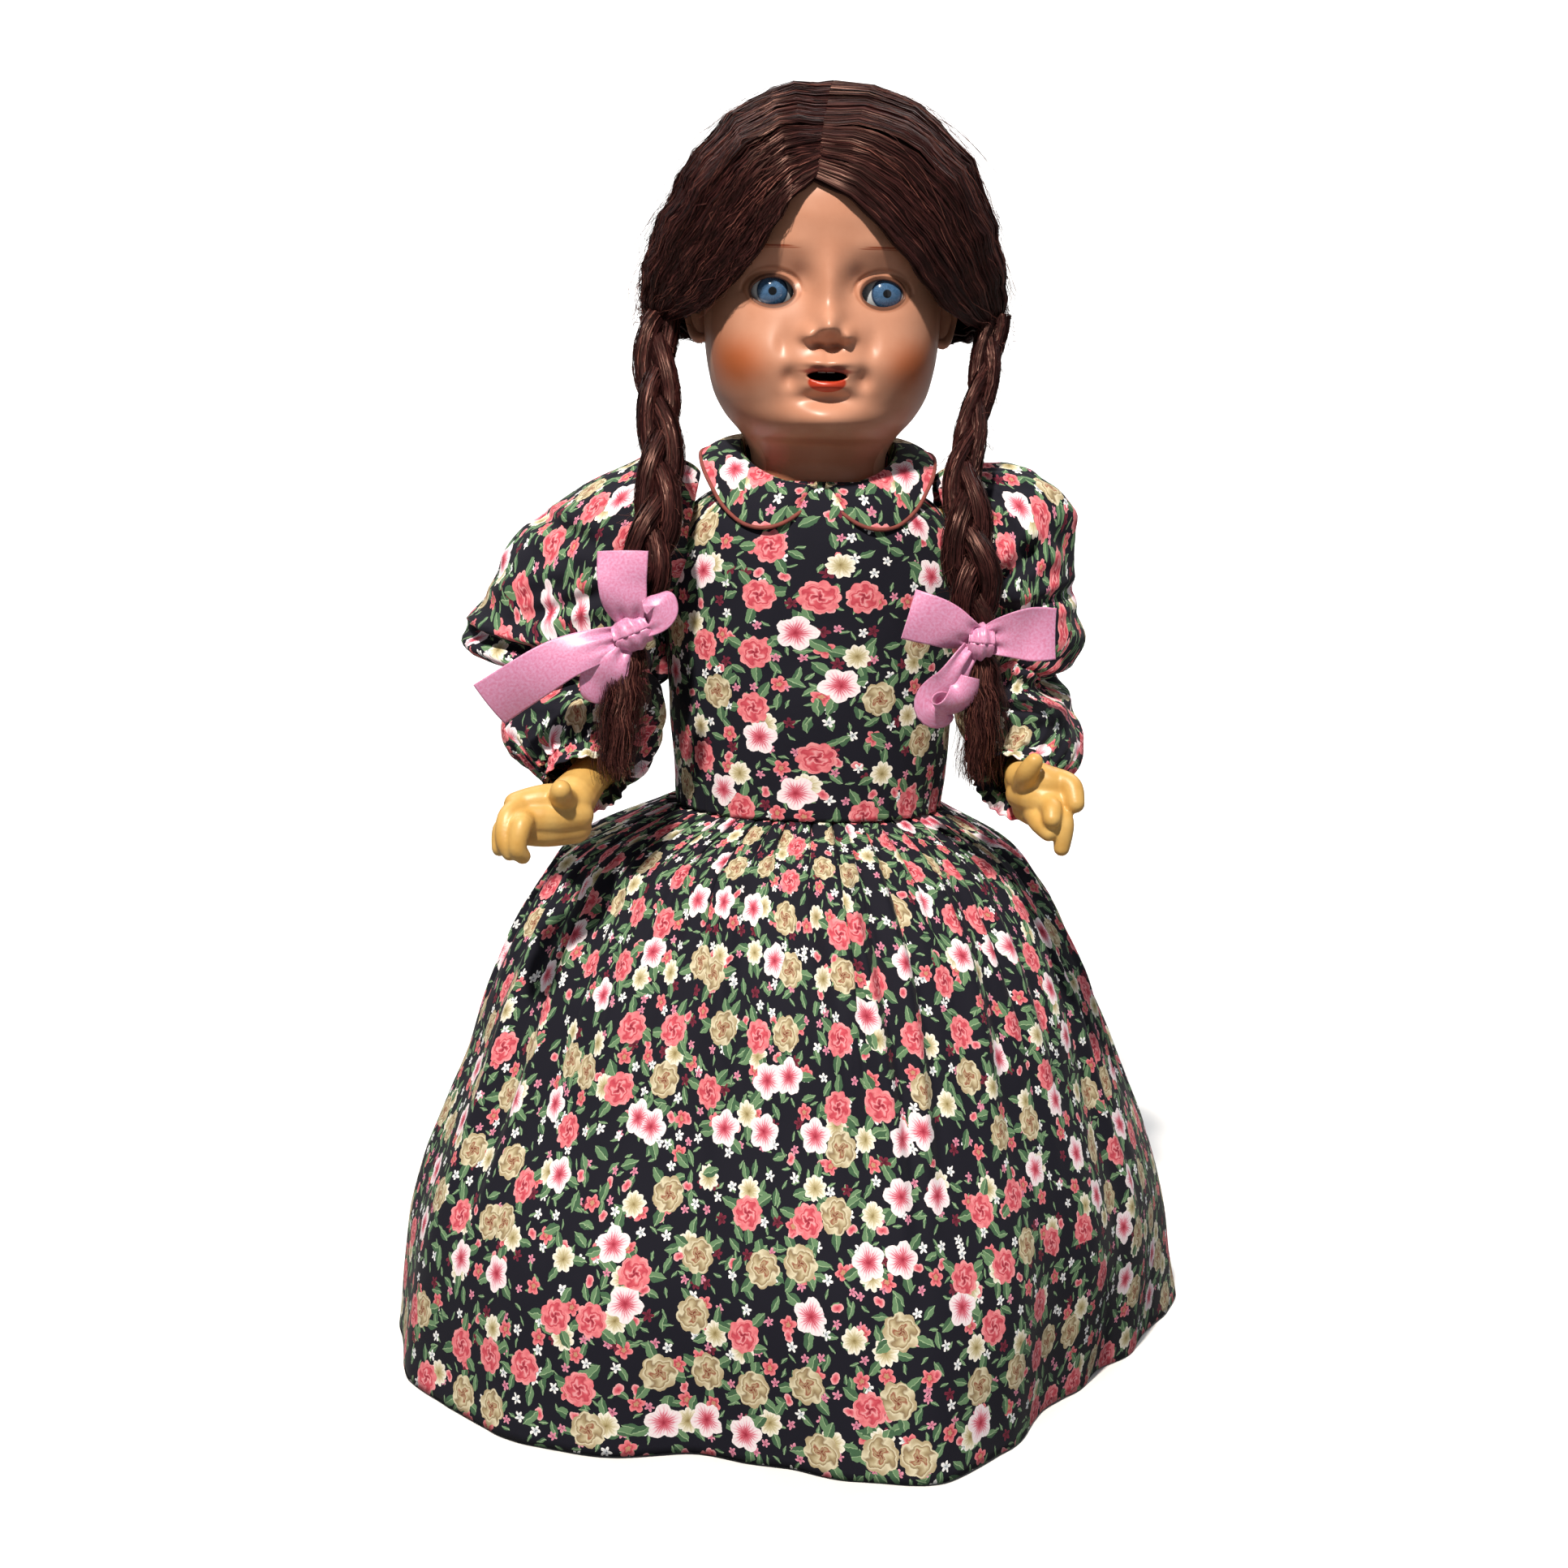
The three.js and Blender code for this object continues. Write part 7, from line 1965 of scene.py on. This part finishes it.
@dataclass(frozen=True)
class GlassEye:
    """Blown glass: milky white, a blue iris with fine spokes, a dark ring and a black pupil."""

    name: str = "blown glass eye"
    white: str = "#cfd6dc"
    iris: str = "#365678"
    spoke: str = "#4f749c"
    ring: str = "#22344f"
    pupil: str = "#05060a"
    iris_radius: float = 6.1
    pupil_radius: float = 1.65
    centre_x: float = 21.7
    gaze: float = 0.5

    def material(self, side: int) -> bpy.types.Material:
        """Builds one eye's glass on object coordinates."""
        material, tree, shader = new_material(f"{self.name} {side_name(side)}")
        place = add_node(tree, "TexCoord").outputs["Object"]
        scaled = add_node(tree, "VectorMath", {0: place, "Scale": 1 / MM}, operation="SCALE")
        middle = (side * self.centre_x + (1.7 if side > 0 else 0.1), 0, 438.0 + self.gaze)
        away = add_node(tree, "VectorMath", {0: scaled, 1: middle}, operation="SUBTRACT")
        flat = add_node(tree, "VectorMath", {0: away, 1: (1, 0, 1)}, operation="MULTIPLY")
        reach = add_node(tree, "VectorMath", {0: flat}, operation="LENGTH").outputs["Value"]
        parts = add_node(tree, "SeparateXYZ", {0: away})
        front = add_node(tree, "Math", {0: parts.outputs["Y"], 1: -20.0}, operation="LESS_THAN")
        angle = add_node(tree, "Math", {0: parts.outputs["Z"], 1: parts.outputs["X"]}, operation="ARCTAN2")
        fan = add_node(tree, "CombineXYZ", {"X": angle, "Y": reach})
        spokes = add_node(tree, "Mapping", {"Vector": fan, "Scale": (9.0, 0.35, 1.0)})
        fibre = add_node(tree, "TexNoise", {"Vector": spokes, "Scale": 1.6, "Detail": 3.0})
        tint = set_stops(add_node(tree, "ValToRGB", {"Fac": fibre}), [(0.35, self.iris), (0.7, self.spoke)])
        rim = add_node(
            tree, "MapRange",
            {"Value": reach, "From Min": self.iris_radius - 1.1, "From Max": self.iris_radius - 0.1},
            interpolation_type="SMOOTHSTEP",
        )
        colour = add_node(tree, "Mix", {0: rim, 6: tint, 7: linear(self.ring)}, data_type="RGBA").outputs[2]
        well = add_node(
            tree, "MapRange",
            {"Value": reach, "From Min": self.pupil_radius - 0.15, "From Max": self.pupil_radius + 0.2},
        )
        dark = {0: well, 6: linear(self.pupil), 7: colour}
        colour = add_node(tree, "Mix", dark, data_type="RGBA").outputs[2]
        out = add_node(
            tree, "MapRange",
            {"Value": reach, "From Min": self.iris_radius - 0.15, "From Max": self.iris_radius + 0.25},
        )
        behind = add_node(tree, "Math", {0: 1.0, 1: front}, operation="SUBTRACT")
        pale = add_node(tree, "Math", {0: out, 1: behind}, operation="MAXIMUM")
        light = {0: pale, 6: colour, 7: linear(self.white)}
        colour = add_node(tree, "Mix", light, data_type="RGBA").outputs[2]
        tree.links.new(colour, shader.inputs["Base Color"])
        set_shader(shader, Roughness=0.12, Coat_Weight=1.0, Coat_Roughness=0.03, IOR=1.5)
        return material


def eye_ball(side: int) -> bpy.types.Object:
    """A glass ball whose iris stands a little proud under the clear glass."""
    bpy.ops.object.select_all(action="DESELECT")
    bpy.ops.mesh.primitive_uv_sphere_add(segments=72, ring_count=48, radius=10.5 * MM)
    ball = bpy.context.view_layer.objects.active
    points = coordinates(ball)[:, [0, 2, 1]] * (1, -1, 1)
    reach = np.hypot(points[:, 0], points[:, 2])
    points[:, 1] -= np.where(points[:, 1] < 0, 0.45 * np.exp(-((reach / 4.6) ** 4)), 0)
    place_vertices(ball, points + (side * 21.7, -27, 437.952))
    select_only(ball)
    bpy.ops.object.mode_set(mode="EDIT")
    bpy.ops.mesh.select_all(action="SELECT")
    bpy.ops.mesh.normals_make_consistent(inside=False)
    bpy.ops.object.mode_set(mode="OBJECT")
    return named(ball, f"glass_eye_{side_name(side)}")


def smoothed_copy(node: str, name: str, voxel: float, rounds: int) -> bpy.types.Object:
    """A finer, softened copy of a CAD node, for a moulded part that is seen close."""
    source = frame["nodes"][node]
    piece = bpy.data.objects.new(name, source.data.copy())
    piece.data.materials.clear()
    bpy.context.scene.collection.objects.link(piece)
    select_only(piece)
    bpy.ops.object.mode_set(mode="EDIT")
    bpy.ops.mesh.select_all(action="SELECT")
    bpy.ops.mesh.remove_doubles(threshold=0.001 * MM)
    bpy.ops.object.mode_set(mode="OBJECT")
    finish_with(piece, "REMESH", mode="VOXEL", voxel_size=voxel * MM, use_smooth_shade=True)
    finish_with(piece, "SMOOTH", factor=0.5, iterations=rounds)
    return named(piece, name)


def arm_copy(node: str, side: int) -> bpy.types.Object:
    """An arm piece, its elbow set in where her left sleeve is drawn tight round it."""
    piece = smoothed_copy(node, f"moulded_{node}", 0.9, 3)
    if side > 0:
        points = coordinates(piece)
        points[:, 0] -= 12.0 * np.exp(-(((points[:, 2] - 280) / 20) ** 2))
        place_vertices(piece, points)
    return piece


# The room: floor, lights and camera

@dataclass
class Studio:
    """A pale sweep, soft lights and the camera at the photograph's angle."""

    photo_side: int = 1932
    focal_pixels: float = 3128.0
    sensor: float = 36.0
    distance: float = 1050.0
    height: float = 440.4
    pitch: float = 11.09
    roll: float = 1.5
    azimuth: float = -2.5
    aside: float = -10.4

    def build(self) -> None:
        """Sets up the whole room."""
        self.sweep()
        self.lights()
        self.camera()

    def sweep(self) -> None:
        """A floor that curves up into a wall well behind the doll."""
        bpy.ops.object.select_all(action="DESELECT")
        bpy.ops.mesh.primitive_plane_add(size=8, location=(0, 0, 0))
        floor = bpy.context.view_layer.objects.active
        bpy.ops.object.transform_apply(location=True, rotation=True, scale=True)
        for edge in floor.data.edges:
            ends = [floor.data.vertices[k].co.y for k in edge.vertices]
            edge.select = min(ends) > 0
        for vertex in floor.data.vertices:
            vertex.select = vertex.co.y > 0
        for face in floor.data.polygons:
            face.select = False
        bpy.ops.object.mode_set(mode="EDIT")
        bpy.ops.mesh.extrude_region_move(TRANSFORM_OT_translate={"value": (0, 0, 4)})
        bpy.ops.object.mode_set(mode="OBJECT")
        finish_with(floor, "BEVEL", width=2.5, segments=16, limit_method="ANGLE")
        named(floor, "floor")
        # Seamless photographers' paper: matt and near white.
        material, tree, shader = new_material("seamless paper")
        place = add_node(tree, "TexCoord").outputs["Object"]
        tooth = add_node(tree, "TexNoise", {"Vector": place, "Scale": 900.0, "Detail": 2.0})
        bump = add_node(tree, "Bump", {"Height": tooth, "Strength": 0.05, "Distance": 0.1 * MM})
        tree.links.new(bump.outputs[0], shader.inputs["Normal"])
        # It is darker for the light that it throws back on to the doll than it looks.
        seen = add_node(tree, "LightPath").outputs["Is Camera Ray"]
        tone = set_stops(add_node(tree, "ValToRGB", {"Fac": seen}), [(0.0, "#7c7c7c"), (1.0, "#f4f4f4")])
        tree.links.new(tone.outputs[0], shader.inputs["Base Color"])
        set_shader(shader, Roughness=0.95, Specular_IOR_Level=0.1)
        floor.data.materials.append(material)

    def lights(self) -> None:
        """A key from the upper left, a wide fill and the room's own light."""
        lamps = (
            ("key", (-0.42, -1.3, 2.08), (0, 0, 0.3), 0.1, 74.0, "#fff6ea"),
            ("fill", (1.5, -1.3, 0.9), (0, 0, 0.3), 1.6, 1.6, "#eef3ff"),
            ("back", (0.3, 1.5, 1.9), (0, 0, 0.3), 1.4, 4.0, "#ffffff"),
            ("wall left", (-1.4, 1.7, 2.6), (-0.7, 3.4, 0.5), 2.0, 75.0, "#ffffff"),
            ("wall right", (1.4, 1.7, 2.6), (0.7, 3.4, 0.5), 2.0, 75.0, "#ffffff"),
        )
        for name, place, aim, side, power, colour in lamps:
            data = bpy.data.lights.new(name, "AREA")
            data.energy, data.size, data.color = power, side, linear(colour)[:3]
            lamp = bpy.data.objects.new(name, data)
            lamp.location = place
            lamp.rotation_euler = (Vector(aim) - Vector(place)).to_track_quat("-Z", "Y").to_euler()
            bpy.context.scene.collection.objects.link(lamp)
        world = bpy.data.worlds.new("room")
        world.use_nodes = True
        sky = world.node_tree.nodes["Background"]
        sky.inputs["Color"].default_value = linear("#f6f8fb")
        sky.inputs["Strength"].default_value = 0.17
        bpy.context.scene.world = world
        bpy.context.scene.view_settings.view_transform = "Standard"

    def camera(self) -> None:
        """A camera with the photograph's place, lens and lean."""
        data = bpy.data.cameras.new("camera")
        data.sensor_width = self.sensor
        data.lens = self.sensor * self.focal_pixels / self.photo_side
        data.clip_end = 100
        camera = bpy.data.objects.new("camera", data)
        swing = Matrix.Rotation(math.radians(self.azimuth), 4, "Z")
        stand = Matrix.Translation((self.aside * MM, -self.distance * MM, self.height * MM))
        tilt = Euler((math.radians(90 - self.pitch), 0, 0)).to_matrix().to_4x4()
        lean = Matrix.Rotation(math.radians(self.roll), 4, "Z")
        camera.matrix_world = swing @ stand @ tilt @ lean
        bpy.context.scene.collection.objects.link(camera)
        bpy.context.scene.camera = camera


def dress_nodes() -> None:
    """Gives every CAD node a finish by its material slot."""
    made: dict[str, bpy.types.Material] = {}
    slots = {row["node"]: row["material_slot"] for row in frame["record"]["subparts"]}
    for name, node in frame["nodes"].items():
        slot = slots[name] if slots[name] in PLAIN_FINISHES else "body_composition"
        if slot not in made:
            made[slot] = PLAIN_FINISHES[slot].material()
        node.data.materials.clear()
        node.data.materials.append(made[slot])


def set_piece(
    piece: bpy.types.Object, material: bpy.types.Material, slot: str, body: str, *nodes: str
) -> bpy.types.Object:
    """Gives a piece its finish, its body and the CAD nodes that it stands for."""
    piece.data.materials.clear()
    piece.data.materials.append(material)
    if nodes:
        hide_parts(*nodes)
    if body:
        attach(piece, body)
    LOG.info("%s: %d faces", piece.name, len(piece.data.polygons))
    return piece


def main() -> None:
    """Builds the room and the doll, piece by piece."""
    logging.basicConfig(level=logging.INFO, format="%(message)s")
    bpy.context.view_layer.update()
    Studio().build()
    dress_nodes()
    skin = FacePaint().material()
    cotton = PrintedCotton().material()
    hair = HairFinish().material()
    satin = SatinFinish().material()
    piping = Finish("cotton piping", "#7a3a35", "#8c463c", 3, 0.5, 0.08, 0.8).material()
    ochre = PLAIN_FINISHES["body_composition"].material()
    set_piece(Head().build(), skin, "face_composition", "head", "head_shell")
    dress = Dress().build()
    set_piece(dress["bodice"], cotton, "printed_cotton", "torso", "bodice")
    set_piece(dress["skirt"], cotton, "printed_cotton", "torso", "skirt")
    sleeves = [
        Sleeve(side, outline=SLEEVE_OUTLINES[side], folds=SLEEVE_FOLDS[side], wrist=WRISTS[side])
        for side in (1, -1)
    ]
    for sleeve in sleeves:
        side = side_name(sleeve.side)
        puff, lower, cuff = sleeve.build()
        set_piece(puff, cotton, "printed_cotton", "", f"upper_sleeve_{side}")
        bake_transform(puff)
        set_piece(lower, cotton, "printed_cotton", "", f"lower_sleeve_{side}")
        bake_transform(lower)
        set_piece(cuff, cotton, "printed_cotton", f"{side}_forearm", f"cuff_{side}")
        hand = next(h for h in HANDS if h.side == sleeve.side).build()
        set_piece(hand, ochre, "body_composition", f"{side}_forearm", f"hand_{side}")
        for limb in ("upper_arm", "forearm"):
            arm = arm_copy(f"{limb}_{side}", sleeve.side)
            set_piece(arm, ochre, "body_composition", f"{side}_{limb}", f"{limb}_{side}")
        half, cord = Collar(sleeve.side).build()
        set_piece(half, cotton, "printed_cotton", "torso", f"collar_{side}")
        set_piece(cord, piping, "cotton_piping", "torso", f"collar_piping_{side}")
        eye = eye_ball(sleeve.side)
        glass = GlassEye().material(sleeve.side)
        set_piece(eye, glass, "eye_glass", "eyes", f"eyeball_{side}", f"iris_{side}")
        for combed in HairSide(sleeve.side, frizz=0.2 if sleeve.side > 0 else 0.55).build():
            set_piece(combed, hair, "hair", "head", "wig")
    for plait, bow in zip(PLAITS, BOWS):
        side = side_name(plait.side)
        tress = plait.build()
        set_piece(tress, hair, "hair", "", f"plait_{side}")
        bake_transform(tress)
        tied = bow.build()
        set_piece(tied, satin, "satin_ribbon", "torso", f"ribbon_{side}")


if __name__ == "__main__":
    main()
